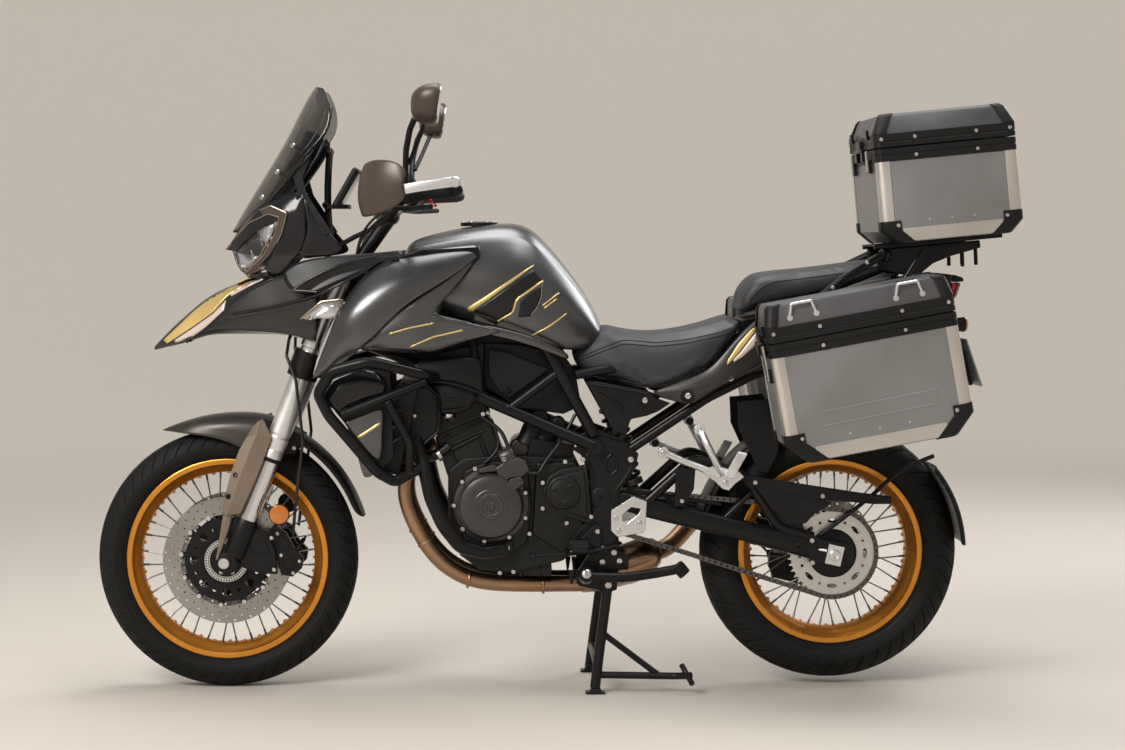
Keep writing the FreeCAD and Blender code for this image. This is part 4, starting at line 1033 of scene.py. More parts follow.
def on_leg(z, ahead, y):
    """A millimetre point on a fork leg's line, moved ahead square to it."""
    x = 16.0 + (z - FRONT_AXLE.z / MM) * math.tan(RAKE)
    return (x - ahead * math.cos(RAKE), y, z + ahead * math.sin(RAKE))


def leg_part(z0, z1, profile):
    """A turned part on both fork legs."""
    meshes = []
    for side in BOTH:
        meshes.append(lathe(place(*on_leg(z0, 0, side * LEG_Y)), place(*on_leg(z1, 0, side * LEG_Y)), profile, 40))
    return joined(meshes)


def make_fork():
    holder = [(0, 24), (0.004, 26.5), (0.04, 26.5), (0.045, 25.4), (0.05, 26.5), (0.085, 26.5), (0.09, 27.6),
              (0.105, 27.6), (0.11, 26.2), (0.12, 26.2), (0.125, 28.2), (0.15, 28.6), (1, 28.6)]
    piece("fork_upper_tubes", leg_part(592, 1080, holder), "silver_alloy", "steering", sharp=25,
          replaces=["fork_uppers"])
    piece("fork_dust_seals", leg_part(584, 593, [(0, 25.4), (0.3, 26.8), (1, 26.8)]), "black_rubber", "steering")
    piece("fork_clamp_bands", leg_part(792, 838, [(0, 36), (0.05, 38.5), (0.95, 38.5), (1, 36)]), "black_metal",
          "steering", sharp=25)
    piece("fork_clamp_rings", leg_part(866, 884, [(0, 30.4), (0.1, 31.4), (0.9, 31.4), (1, 30.4)]), "silver_alloy",
          "steering", sharp=25)
    piece("fork_stanchions", leg_part(400, 600, [(0, 24.9), (1, 24.9)]), "fork_chrome", "steering",
          replaces=["fork_lowers"])
    shoes, brackets, silver = [], [], []
    for side in BOTH:
        y = side * LEG_Y
        shoes.append(lathe(place(*on_leg(345, 0, y)), place(*on_leg(438, 0, y)),
                           [(0, 24), (0.08, 28), (0.55, 29.5), (0.93, 29.5), (1, 27)], 40))
        shoes.append(turned_ring([(y - 25, 8), (y - 25, 24), (y - 22, 27), (y + 22, 27), (y + 25, 24), (y + 25, 8)],
                                 place(8, 0, FRONT_AXLE.z / MM), 40))
        bracket = plate_mesh([(30, 436), (56, 424), (108, 402), (126, 360), (132, 300), (92, 300), (40, 318)],
                             y - 8, y + 8)
        brackets.append(bracket)
        silver.append(lathe(FRONT_AXLE + Vector((0, side * 0.1355, 0)), FRONT_AXLE + Vector((0, side * 0.1275, 0)),
                            [(0, 13), (0.5, 15), (1, 15)], 24))
    tube = turned_ring([(-136, 8), (-136, 12), (136, 12), (136, 8)], FRONT_AXLE, 32)
    piece("fork_shoes", shoes, "black_metal", "steering", bevel=1.5, sharp=40)
    piece("fork_brackets", brackets, "black_metal", "steering", bevel=3.0)
    piece("front_axle", [tube] + silver, "wheel_steel", "steering", sharp=30)
    webs = []
    for side in BOTH:
        y = side * LEG_Y
        webs.append(plate_mesh([(60, 412), (100, 398), (112, 352), (70, 352)], y - side * 2, y + side * 11))
    bolts = on_spots(bolt_head(5.5, 4), [((x, side * 119.5, z), (0, side, 0)) for side in BOTH
                                        for x, z in ((118, 392), (124, 312), (20, 306), (-8, 306))], "wheel_steel")
    piece("fork_bolts", bolts, "wheel_steel", "steering", sharp=30)
    piece("fork_webs", webs, "black_metal", "steering", bevel=2.0)


def make_fork_guards():
    # each row: inner front, front edge, ridge, rear edge and inner rear
    shield = [
        [(80, -106, 676), (84, -112, 683), (88, -114, 686), (95, -112, 688), (99, -106, 690)],
        [(78, -106, 669), (76, -126, 674), (88, -132, 682), (99, -128, 690), (101, -108, 686)],
        [(64, -104, 645), (58, -132, 645), (84, -144, 652), (120, -136, 645), (122, -114, 645)],
        [(47, -102, 614), (40, -134, 614), (65, -146, 606), (106, -138, 604), (109, -114, 604)],
        [(28, -102, 562), (21, -134, 562), (46, -146, 556), (87, -138, 556), (90, -114, 556)],
        [(11, -103, 500), (4, -133, 500), (26, -144, 497), (62, -136, 498), (65, -116, 498)],
        [(2, -106, 459), (-5, -130, 457), (9, -140, 452), (42, -133, 455), (44, -116, 456)],
        [(3, -106, 453), (-2, -114, 450), (9, -116, 446), (38, -114, 449), (40, -108, 450)]]
    tongue = [
        [(2, -112, 456), (-1, -126, 456), (8, -131, 452), (20, -128, 450), (22, -118, 450)],
        [(-4, -112, 420), (-7, -127, 420), (1, -131, 420), (13, -129, 420), (15, -120, 420)],
        [(-11, -114, 380), (-13, -127, 380), (-8, -131, 380), (-1, -130, 380), (1, -122, 380)],
        [(-20, -118, 338), (-21, -126, 338), (-19, -129, 338), (-16, -128, 338), (-15, -122, 338)]]
    left = joined([grid_mesh(shield), grid_mesh(tongue)])
    for name, mesh in (("left", left), ("right", turned(left, MIRROR))):
        piece("fork_guard_" + name, mesh, "bronze_plastic", "steering", thick=2.5, bevel=1.5, sharp=9,
              replaces=["fork_guards"], weighted=True)
    spots = [((x, side * 138, z), (-0.25, side, 0)) for side in BOTH for x, z in ((32, 552), (13, 499))]
    bolted("fork_guard_bolts", 7, 4, spots, "black_metal", "steering")


def make_front_brakes():
    bodies, caps, bolts = [], [], []
    for side in BOTH:
        outer = [(111, 402), (128, 416), (152, 402), (172, 364), (196, 338), (192, 312), (168, 290), (140, 296),
                 (128, 336)]
        inner = [(116, 396), (150, 396), (168, 360), (188, 334), (166, 296), (142, 302), (130, 338)]
        bodies.append(plate_mesh(outer, *span(side, 73, 97)))
        bodies.append(plate_mesh(inner, *span(side, 46, 57)))
        for x, z in ((146, 372), (160, 326)):
            caps.append(lathe(place(x, side * 95, z), place(x, side * 100.5, z),
                              [(0, 17), (0.5, 17), (0.75, 15.5), (0.8, 12), (1, 11)], 28))
        for x, z in ((131, 400), (170, 300), (186, 330), (140, 345)):
            bolts.append(((x, side * 97, z), (0, side, 0)))
        bodies.append(lathe(place(176, side * 84, 352), place(190, side * 84, 372),
                            [(0, 6), (0.6, 6), (0.7, 3), (1, 3)], 10))
    piece("front_caliper_halves", bodies, "black_metal", "steering", bevel=3.5, segments=3,
          replaces=["front_calipers"])
    piece("front_caliper_caps", caps, "black_metal", "steering", sharp=30)
    bolted("front_caliper_bolts", 5, 4, bolts, "wheel_steel", "steering")
    amber, cups = [], []
    for side in BOTH:
        a, b = place(139, side * 128, 453), place(139, side * 139, 453)
        cups.append(lathe(a, b, [(0, 20), (0.2, 25.5), (0.9, 26), (1, 25)], 36))
        amber.append(lathe(place(139, side * 138.4, 453), place(139, side * 142.5, 453),
                           [(0, 23.6), (0.55, 23.6), (0.85, 20.5), (1, 14)], 36))
        cups.append(cornered_tube([(139, side * 132, 436), (126, side * 124, 420), (112, side * 112, 405)], 4.5, 8))
    piece("side_reflector_cups", cups, "black_plastic", "steering", sharp=30)
    piece("side_reflectors", amber, "amber_lens", "steering", slot="red_lens", sharp=30)


def arch_row(x, top, mid, low):
    """A row across the front guard: edge, crease, shoulder and middle, both sides."""
    half = [(x, -low[0], low[1]), (x, -mid[0], mid[1]), (x, -mid[0] * 0.72, top - (top - mid[1]) * 0.28)]
    return half + [(x, 0, top)] + [(px, -py, pz) for px, py, pz in reversed(half)]


def make_front_mudguard():
    front = grid_mesh([
        arch_row(-165, 655.5, (3, 655), (4, 654)), arch_row(-140, 668, (24, 660), (27, 653)),
        arch_row(-103, 682, (44, 661), (49, 649)), arch_row(-52, 697, (58, 668), (63, 645)),
        arch_row(9, 704, (64, 671), (69, 630)), arch_row(56, 704, (66, 669), (71, 604)),
        arch_row(90, 700, (66, 665), (71, 592)), arch_row(120, 692, (66, 656), (71, 584))])

    def fold(a, b):
        on_a = abs(abs(a.y) - 0.061) < 0.006 and a.z > 0.6555
        on_b = abs(abs(b.y) - 0.061) < 0.006 and b.z > 0.6555
        return on_a and on_b
    crease(front, fold, 0.55)
    piece("front_mudguard_nose", front, "graphite_plastic", "steering", levels=2, thick=3.0,
          replaces=["front_mudguard"])
    rows = []
    centre = FRONT_AXLE.z / MM
    for i in range(9):
        angle = math.radians(18 + 52 * i / 8)
        crown_r = 374 - 8 * i / 8
        side_r = 344 + 6 * (1 - i / 8)
        half = 70 - 3 * i / 8
        section = [(-half, side_r), (-half + 1, side_r + 14), (-half * 0.72, crown_r - 5), (0, crown_r),
                   (half * 0.72, crown_r - 5), (half - 1, side_r + 14), (half, side_r)]
        rows.append([(r * math.sin(angle), y, centre + r * math.cos(angle)) for y, r in section])
    tip = math.radians(73)
    rows.append([(r * math.sin(tip), y, centre + r * math.cos(tip)) for y, r in
                 [(-40, 358), (-34, 361), (-20, 363), (0, 364), (20, 363), (34, 361), (40, 358)]])
    piece("front_mudguard_tail", grid_mesh(rows), "black_plastic", "steering", levels=2, thick=3.0)
    stays = []
    for side in BOTH:
        stays.append(leaning_plate([(96, side * 73 - 2, 690), (150, side * 73 - 2, 668), (196, side * 73 - 2, 640),
                                    (176, side * 73 - 2, 600), (120, side * 73 - 2, 596), (84, side * 73 - 2, 640)],
                                    4))
        stays.append(rod((130, side * 72, 636), (130, side * 88, 636), 9))
    piece("front_mudguard_stays", stays, "black_plastic", "steering", bevel=1.5)
    spots = [((x, side * 75.2, z), (0, side, 0)) for side in BOTH for x, z in ((150, 656), (172, 614))]
    bolted("front_mudguard_bolts", 5.5, 3.5, spots, "wheel_steel", "steering")


def make_handguards():
    bars, ends = [], []
    for side in BOTH:
        route = [(584, side * 458, 1274), (520, side * 463, 1266), (440, side * 446, 1252), (384, side * 400, 1240),
                 (356, side * 340, 1232), (362, side * 270, 1228), (414, side * 198, 1228)]
        data = bpy.data.curves.new("strap", "CURVE")
        data.dimensions = "3D"
        data.twist_mode = "Z_UP"
        data.extrude = 0.0085
        data.bevel_depth = 0.0035
        data.bevel_resolution = 3
        line = data.splines.new("NURBS")
        line.points.add(len(route) - 1)
        for spot, point in zip(line.points, route):
            spot.co = (*place(*point), 1)
        line.order_u = 3
        line.use_endpoint_u = True
        holder = bpy.data.objects.new("strap", data)
        bpy.context.collection.objects.link(holder)
        deps = bpy.context.evaluated_depsgraph_get()
        bars.append(bpy.data.meshes.new_from_object(holder.evaluated_get(deps)))
        bpy.data.objects.remove(holder)
        ends.append(lathe(place(583, side * 452, 1271), place(583, side * 467, 1274), [(0, 13), (0.8, 13), (1, 10)],
                          20))
    piece("handguard_straps", bars, "silver_alloy", "steering", sharp=40, replaces=["handguards"])
    piece("handguard_end_bolts", ends, "wheel_steel", "steering", sharp=30)
    # x, y, then the shield's upper edge, its swell above and below the strap, and its lower edge
    columns = [(366, -262, 1262, 1212), (353, -305, 1288, 1200), (348, -352, 1308, 1194), (362, -400, 1323, 1190),
               (396, -436, 1328, 1198), (440, -455, 1322, 1216), (462, -459, 1296, 1240)]
    rows = []
    for x, y, top, low in columns:
        middle = (top + low) / 2
        rows.append([(x + 10, y + 4, top), (x + 2, y, middle + (top - middle) * 0.62), (x - 3, y - 2, middle),
                     (x, y, middle - (middle - low) * 0.6), (x + 8, y + 4, low)])
    left = grid_mesh(rows)
    for name, mesh in (("left", left), ("right", turned(left, MIRROR))):
        piece("handguard_shield_" + name, mesh, "brown_plastic", "steering", slot="black_plastic", levels=2,
              thick=3.0)


def make_mirrors():
    for side, name in ((-1, "left"), (1, "right")):
        rings = []
        # x of the ring's middle, size, lean of the ring's top
        for x, size, lean in ((546, 0.93, 6), (541, 1.0, 7), (524, 1.0, 6), (502, 0.9, 4), (486, 0.68, 2),
                              (477, 0.36, 0)):
            ring = []
            for i in range(16):
                turn = FULL_TURN * i / 16
                u, v = math.cos(turn), math.sin(turn)
                u = math.copysign(abs(u) ** 0.75, u)
                v = math.copysign(abs(v) ** 0.8, v)
                ring.append((x + lean * v, side * (392 + 66 * size * u + 8 * v * size),
                             1458 + 50 * size * v + 6 * size * u))
            rings.append(ring)
        shell = ring_mesh(rings, capped=True)
        piece("mirror_shell_" + name, shell, "brown_plastic", "steering", slot="black_plastic", levels=1,
              replaces=["mirrors"] if side < 0 else [])
        glass = []
        for i in range(24):
            turn = FULL_TURN * i / 24
            u, v = math.cos(turn), math.sin(turn)
            u = math.copysign(abs(u) ** 0.75, u)
            v = math.copysign(abs(v) ** 0.8, v)
            glass.append((546.6 + 6 * v, side * (392 + 57 * u + 7 * v), 1458 + 42 * v + 5 * u))
        back = [(x - 2.5, y, z) for x, y, z in glass]
        face = ring_mesh([back, glass])
        piece("mirror_glass_" + name, face, "mirror_glass", "steering", slot="fork_chrome", bevel=0.5)
        stem = cornered_tube([(463, side * 238, 1246), (461, side * 252, 1300), (463, side * 292, 1352),
                              (474, side * 330, 1402), (486, side * 345, 1428)], 7.5, 22)
        brace = cornered_tube([(470, side * 262, 1322), (489, side * 300, 1366), (508, side * 340, 1414),
                               (512, side * 352, 1430)], 5.5, 18)
        foot = rod((463, side * 236, 1232), (462, side * 242, 1276), 13, 20, 2)
        piece("mirror_stem_" + name, [stem, brace, foot], "black_metal", "steering", sharp=35)


def make_controls():
    """Grips with end rings, switch pods, levers, reservoir and cables at the bar."""
    rubber, metal, silver, red = [], [], [], []
    for side in BOTH:
        a, b = Vector((482, side * 262, 1248.4)), Vector((582, side * 420, 1255.4))
        ribs = []
        for i in range(27):
            share = i / 26
            ribs.append((share, 16.6 if i % 2 else 15.6))
        rubber.append(lathe(place(*a), place(*b), [(0, 15)] + [(0.02 + 0.96 * s, r) for s, r in ribs] + [(1, 15)],
                            28))
        rubber.append(rod(a - (b - a) * 0.02, a + (b - a) * 0.01, 22, 28, 1.5))
        metal.append(rod(b, b + (b - a) * 0.075, 14, 24, 2))
        run = (b - a).normalized()
        pod_a, pod_b = a - run * 44, a - run * 4
        metal.append(lathe(place(*pod_a), place(*pod_b), [(0, 18), (0.1, 23), (0.9, 23), (1, 19)], 20))
        metal.append(box_mesh(pod_a.x - 26, pod_a.x + 12, *span(side, 232, 262), 1228, 1252))
        lever = cornered_tube([(446, side * 232, 1228), (432, side * 262, 1216), (470, side * 340, 1212),
                               (526, side * 420, 1216)], 6.5, 30)
        silver.append(lever)
        metal.append(rod((452, side * 222, 1236), (440, side * 246, 1216), 11, 18, 2))
        red.append(rod((519, side * 292, 1228), (526, side * 292, 1232), 5.5, 16, 1))
    metal.append(lathe(place(424, 250, 1262), place(424, 250, 1300),
                       [(0, 22), (0.1, 25), (0.85, 25), (0.9, 27), (1, 26)], 28))
    metal.append(rod((430, 236, 1240), (424, 250, 1264), 9, 12))
    piece("hand_grips", rubber, "black_rubber", "steering", sharp=50, replaces=["hand_controls"])
    piece("switch_pods", metal, "black_plastic", "steering", bevel=2.0)
    piece("levers", silver, "black_metal", "steering", sharp=40)
    piece("hand_switch_buttons", red, "red_plastic", "steering", slot="red_lens")
    cables = []
    for side, lift in ((-1, 0), (1, 0), (-1, 14), (1, 14)):
        cables.append(bent_tube([(448 - lift * 0.5, side * 214, 1226), (402, side * 186, 1196 + lift),
                                 (352, side * 140, 1150 + lift),
                                 (330, side * 88, 1100), (330, side * 70, 1060)], 3.2))
    piece("bar_cables", cables, "hose_rubber", "steering")


def make_steering():
    make_fork()
    make_fork_guards()
    make_front_brakes()
    make_front_mudguard()
    make_handguards()
    make_mirrors()
    make_controls()

# ---------------------------------------------------------------- bodywork

def folded(rows, columns=(), amount=0.8, lines=()):
    """A sheet through rows of points, folded along some columns and rows."""
    mesh = grid_mesh(rows)
    wide = len(rows[0])
    layer = mesh.attributes.new("crease_edge", "FLOAT", "EDGE")
    for edge in mesh.edges:
        a, b = sorted(edge.vertices)
        along = a % wide == b % wide and a % wide in columns
        across = a // wide == b // wide and a // wide in lines
        if along or across:
            layer.data[edge.index].value = amount
    return mesh


def whole_row(half, middle):
    """A row across the machine from its left half and its middle point."""
    return [*half, middle, *((x, -y, z) for x, y, z in reversed(half))]


def two_sides(mesh):
    return [mesh, turned(mesh, MIRROR)]


def cage_mesh(corners, faces):
    shape = bmesh.new()
    spots = [shape.verts.new(place(*p)) for p in corners]
    for face in faces:
        shape.faces.new([spots[i] for i in face])
    return finish_mesh(shape, merge=False, recalc=True)


def evenly(line, count):
    """Points spread evenly along a line of (x, z) points."""
    spots = [Vector(p) for p in line]
    lengths = [0.0]
    for a, b in zip(spots, spots[1:]):
        lengths.append(lengths[-1] + (b - a).length)
    result, j = [], 0
    for i in range(count):
        want = lengths[-1] * i / (count - 1)
        while j < len(spots) - 2 and lengths[j + 1] < want:
            j += 1
        span = max(lengths[j + 1] - lengths[j], 1e-9)
        result.append(spots[j].lerp(spots[j + 1], (want - lengths[j]) / span))
    return result


def laid_on(targets, upper, lower, across, lift, step=9.0):
    """A thin skin between two outlines, laid on the outside of finished panels."""
    deps = bpy.context.evaluated_depsgraph_get()
    trees = [BVHTree.FromObject(obj, deps) for obj in targets]
    length = sum((Vector(b) - Vector(a)).length for a, b in zip(upper, upper[1:]))
    count = max(3, int(length / step) + 1)
    meshes = []
    for side in BOTH:
        rows = []
        last = side * 180.0
        for top, low in zip(evenly(upper, count), evenly(lower, count)):
            row = []
            for j in range(across + 1):
                x, z = top.lerp(low, j / across)
                start = place(x, side * 420, z)
                found = [tree.ray_cast(start, Vector((0, -side, 0))) for tree in trees]
                found = [hit for hit in found if hit[0] is not None]
                if found:
                    spot, normal = min(found, key=lambda hit: hit[3])[:2]
                    if normal.y * side < 0:
                        normal = -normal
                    last = (spot + normal * lift * MM).y / MM
                row.append((x, last, z))
            rows.append(row)
        meshes.append(grid_mesh(rows))
    return meshes


def stroke(targets, line, width, ends, lift):
    """A painted line of a given width, which may taper to either end."""
    count = max(4, int(sum((Vector(b) - Vector(a)).length for a, b in zip(line, line[1:])) / 8))
    spots = evenly(line, count)
    upper, lower = [], []
    for i, spot in enumerate(spots):
        run = (spots[min(i + 1, count - 1)] - spots[max(i - 1, 0)]).normalized()
        side = Vector((-run.y, run.x))
        share = i / (count - 1)
        half = width / 2 * (ends[0] * (1 - share) + ends[1] * share)
        upper.append(spot + side * half)
        lower.append(spot - side * half)
    return laid_on(targets, upper, lower, across=1, lift=lift, step=8)


def make_tank():
    # x, top, lower edge, half width at the side, at the shoulder and at the crown
    stations = [
        (449, 1100, 985, 116, 96, 56), (460, 1126, 980, 138, 108, 64), (478, 1140, 970, 156, 116, 70),
        (520, 1153, 958, 178, 126, 78), (602, 1172, 937, 190, 134, 86), (693, 1183, 917, 195, 138, 88),
        (740, 1181, 902, 194, 138, 88), (768, 1168, 892, 190, 134, 84), (792, 1151, 882, 185, 128, 78),
        (847, 1088, 862, 168, 110, 66), (897, 1020, 862, 140, 86, 54), (930, 966, 868, 112, 64, 42),
        (948, 920, 872, 86, 46, 30)]
    rows = []
    for x, top, low, side, shoulder, crown in stations:
        tall = top - low
        half = [(x, -side * 0.84, low), (x, -side * 0.97, low + tall * 0.12), (x, -side, low + tall * 0.38),
                (x, -side * 0.93, low + tall * 0.64), (x, -shoulder, low + tall * 0.86),
                (x, -shoulder + 12, low + tall * 0.885), (x, -crown, low + tall * 0.975)]
        rows.append(whole_row(half, (x, 0, top)))
    tank = piece("tank_shell", folded(rows, (4, 10), 0.5), "graphite_paint", "chassis", levels=2, thick=2.5,
                 replaces=["fuel_tank"])
    cap = [lathe(place(640, 0, 1172), place(640, 0, 1184),
                 [(0, 48), (0.7, 48), (0.8, 46), (0.82, 32), (0.9, 30), (1, 28)], 48)]
    piece("tank_cap", cap, "black_metal", "chassis", sharp=25)
    bolts = [((640 + 40 * math.cos(t), 40 * math.sin(t), 1181.5),
              (0, 0, 1)) for t in [i * math.pi / 3 for i in range(6)]]
    bolted("tank_cap_bolts", 3.2, 3, bolts, "wheel_steel", "chassis")
    return tank


def make_blade():
    """The long shroud blade, its flank panel and the liner behind them, on each side."""
    rows = [
        [(236, -190, 800), (228, -203, 797), (245, -208, 804), (258, -209, 809), (270, -208, 814), (268, -194, 816)],
        [(254, -192, 846), (245, -206, 845), (272, -220, 848), (302, -226, 850), (331, -226, 852), (329, -210, 856)],
        [(275, -194, 894), (265, -207, 895), (288, -229, 884), (318, -238, 876), (344, -238, 868), (344, -222, 872)],
        [(294, -192, 942), (284, -206, 945), (305, -239, 922), (338, -245, 902), (368, -243, 885), (370, -227, 890)],
        [(312, -190, 984), (303, -202, 990), (324, -245, 968), (370, -249, 950), (416, -245, 940), (420, -228, 946)],
        [(352, -174, 1036), (350, -188, 1046), (388, -240, 1020), (432, -243, 1002), (472, -238, 989),
         (476, -221, 995)],
        [(394, -162, 1072), (392, -176, 1083), (446, -226, 1056), (490, -228, 1036), (528, -222, 1019),
         (533, -205, 1025)],
        [(468, -148, 1098), (466, -163, 1109), (534, -203, 1090), (572, -204, 1080), (606, -198, 1071),
         (610, -184, 1077)],
        [(560, -146, 1110), (560, -160, 1121), (590, -186, 1108), (610, -188, 1098), (624, -184, 1086),
         (628, -172, 1090)],
        [(634, -146, 1116), (640, -158, 1126), (642, -170, 1116), (641, -176, 1108), (637, -178, 1096),
         (632, -166, 1098)]]
    piece("shroud_blades", two_sides(folded(rows, (1, 4), 0.9)), "graphite_paint", "chassis", levels=2,
                  thick=2.5, replaces=["side_shrouds"])
    corners = [(347, -222, 876), (399, -229, 939), (470, -226, 986), (534, -212, 1022), (628, -176, 1088),
               (346, -222, 868), (405, -238, 905), (468, -236, 930), (523, -222, 957), (584, -200, 1024),
               (634, -172, 1094), (410, -224, 864), (464, -222, 860), (525, -216, 863), (596, -208, 886),
               (589, -214, 940), (700, -199, 912), (660, -202, 903)]
    faces = [(0, 1, 6, 5), (1, 2, 7, 6), (2, 8, 7), (2, 3, 9, 8), (3, 4, 10, 9), (5, 6, 11), (6, 7, 12, 11),
             (7, 8, 13, 12), (8, 15, 14, 13), (15, 16, 17, 14)]
    mesh = cage_mesh(corners, faces)
    crease(mesh, lambda a, b: True, 0.35)
    flank = piece("shroud_flanks", two_sides(mesh), "graphite_paint", "chassis", levels=2, thick=2.5)
    liner = [(330, 866), (420, 960), (520, 1026), (600, 1074), (636, 1094), (640, 1120), (500, 1112), (420, 1086),
             (360, 1036), (320, 960), (280, 880), (262, 820), (300, 820)]
    piece("shroud_liners", pair(leaning_plate([(x, -180, z) for x, z in liner], 6)), "black_plastic", "chassis")
    return flank


def make_beak():
    # x, then (half width, height) of the lower edge, side, groove, crease, upper face and top edge, and the middle
    stations = [
        (-184, (5, 858), (8, 860), (9, 862), (9, 863), (8, 865), (5, 867), 868),
        (-150, (18, 867), (27, 872), (28, 876), (26, 884), (20, 898), (10, 904), 905),
        (-100, (34, 877), (47, 885), (47, 893), (43, 908), (32, 934), (20, 948), 952),
        (-45, (52, 900), (70, 913), (69, 926), (62, 946), (48, 976), (30, 994), 999),
        (10, (70, 902), (92, 918), (94, 946), (88, 958), (70, 1000), (44, 1018), 1024),
        (60, (84, 902), (110, 912), (114, 952), (107, 964), (86, 1026), (56, 1036), 1040),
        (110, (96, 902), (126, 910), (134, 961), (128, 973), (100, 1046), (70, 1052), 1052),
        (170, (116, 900), (150, 904), (156, 978), (150, 990), (128, 1052), (98, 1062), 1058)]
    rows = []
    for x, *half, middle in stations:
        rows.append(whole_row([(x, -y, z) for y, z in half], (x, 0, middle)))
    # the rear edge steps forward in the middle, clear of the turning yokes
    rows.append(whole_row([(236, -156, 884), (236, -178, 887), (236, -186, 994), (234, -180, 1004), (216, -162, 1062),
                           (192, -140, 1066)], (186, 0, 1060)))
    beak = piece("beak_shell", folded(rows, (1, 2, 3, 4, 8, 9, 10, 11), 0.75), "dark_paint", "chassis",
                 slot="graphite_paint", levels=2, thick=2.5, replaces=["beak"])
    tops = [(-160, 884), (-120, 922), (-83, 957), (-19, 1006), (36, 1031), (88, 1050)]
    lows = [(-150, 876), (-132, 887), (-78, 922), (-28, 957), (11, 1000), (88, 1048)]
    piece("beak_gold_panels", laid_on([beak], tops, lows, 5, 1.2), "gold_paint", "chassis", slot="bronze_paint",
          thick=1.2)
    first = laid_on([beak], [(15, 1002), (50, 1028), (92, 1048), (130, 1056)],
                    [(17, 996), (54, 1016), (92, 1036), (130, 1054)], 4, 1.2)
    second = laid_on([beak], [(-130, 884), (-78, 918), (-28, 953), (4, 986)],
                     [(-128, 878), (-90, 888), (-48, 918), (0, 962)], 3, 1.2)
    band = stroke([beak], [(-100, 878), (-53, 911), (-8, 950), (14, 978), (68, 1014), (130, 1046)], 13, (0.4, 0.7),
                  0.9)
    piece("beak_dark_bands", band, "decal_black", "chassis", slot="graphite_paint", thick=0.4)
    piece("beak_sand_panels", first + second, "sand_paint", "chassis", slot="bronze_paint", thick=1.2)
    vent = [(171, 1010), (241, 1050), (317, 1082), (385, 1094), (440, 1098), (443, 1088), (392, 1083), (353, 1054),
            (280, 1020),
            (244, 1004), (236, 1014), (188, 1014)]
    piece("beak_vents", pair(leaning_plate([(x, -190 + (x - 171) * 0.02, z) for x, z in vent], 5)), "gloss_black",
          "chassis",
          slot="black_plastic", bevel=1.5)
    lips = []
    for line in ([(240, -196, 1009), (200, -188, 1013), (176, -184, 1011), (190, -186, 1022), (241, -192, 1052),
                  (317, -188, 1084), (385, -180, 1096)],
                 [(22, -98, 953), (90, -126, 964), (150, -150, 976), (203, -172, 990), (246, -196, 1003),
                  (300, -206, 1030), (354, -192, 1058), (392, -178, 1084)]):
        lips.append(pair(bent_tube(line, 3.6, sides=3)))
    piece("beak_groove_lips", lips, "gloss_black", "chassis", slot="black_plastic")
    flank = [[(150, -158, 1056), (160, -168, 1030), (176, -180, 1008), (236, -194, 1006)],
             [(185, -166, 1082), (200, -176, 1050), (232, -186, 1030), (262, -194, 1022)],
             [(236, -168, 1094), (256, -178, 1070), (280, -186, 1052), (306, -194, 1040)],
             [(313, -168, 1100), (326, -176, 1086), (340, -182, 1074), (356, -190, 1064)],
             [(392, -164, 1106), (396, -168, 1100), (400, -172, 1094), (404, -176, 1090)],
             [(452, -152, 1112), (454, -156, 1108), (456, -158, 1104), (458, -160, 1100)]]
    piece("upper_flanks", two_sides(folded(flank)), "decal_black", "chassis", slot="graphite_paint", levels=2,
          thick=2.5)
    strip = [[(201, -188, 945), (222, -196, 940), (240, -198, 944)],
             [(226, -192, 964), (244, -201, 952), (262, -203, 943)],
             [(249, -196, 982), (266, -203, 963), (283, -205, 944)],
             [(298, -199, 988), (300, -204, 968), (301, -206, 950)]]
    tail = [[(283, -205, 944), (301, -206, 950)], [(268, -205, 915), (284, -207, 916)],
            [(253, -203, 880), (268, -206, 882)],
            [(239, -201, 842), (250, -204, 842)], [(230, -199, 806), (236, -201, 806)]]
    piece("running_lamps", two_sides(grid_mesh(strip)) + two_sides(grid_mesh(tail)), "clear_ribbed", "chassis",
          slot="lamp_glass",
          sharp=12, thick=2.5)
    ribs = []
    for i in range(7):
        x = 216 + 12 * i
        ribs.append(rod((x, -196.5 - 1.3 * i, 942 + 0.6 * i), (x + 8, -194 - 1.3 * i, 950 + 5.2 * i), 1.6, 8))
    ribs.append(bent_tube([(199, -188, 943), (249, -197, 985), (304, -201, 992), (303, -207, 950), (286, -208, 916),
                           (252, -205, 842), (236, -202, 804)], 2.2, 2, order=2))
    piece("running_lamp_ribs", [pair(m) for m in ribs], "bronze_trim", "chassis", slot="bronze_plastic")
    return beak


def on_lamp(x, z, out):
    """A point of the left headlamp's face, pushed out square to it."""
    flat = [(4, 30), (14, 40), (40, 72), (66, 96), (118, 123), (152, 137), (170, 144)]
    full = [(4, 36), (26, 60), (42, 84), (68, 106), (110, 127), (136, 134), (170, 144)]

    def reach(table):
        for (x0, y0), (x1, y1) in zip(table, table[1:]):
            if x <= x1:
                break
        return y0 + (y1 - y0) * (x - x0) / (x1 - x0)
    share = max(0.0, 1.0 - abs(z - 1126) / 60)
    y = reach(flat) * (1 - share) + reach(full) * share
    return (x - out * 0.6, -y - out * 0.8, z)


def lamp_band(upper, lower, out):
    """A band of the left headlamp's face between two side lines of the same count."""
    rows = []
    for (x0, z0), (x1, z1) in zip(upper, lower):
        rows.append([on_lamp(x0 + (x1 - x0) * t, z0 + (z1 - z0) * t, out) for t in (0, 0.25, 0.5, 0.75, 1)])
    return grid_mesh(rows)


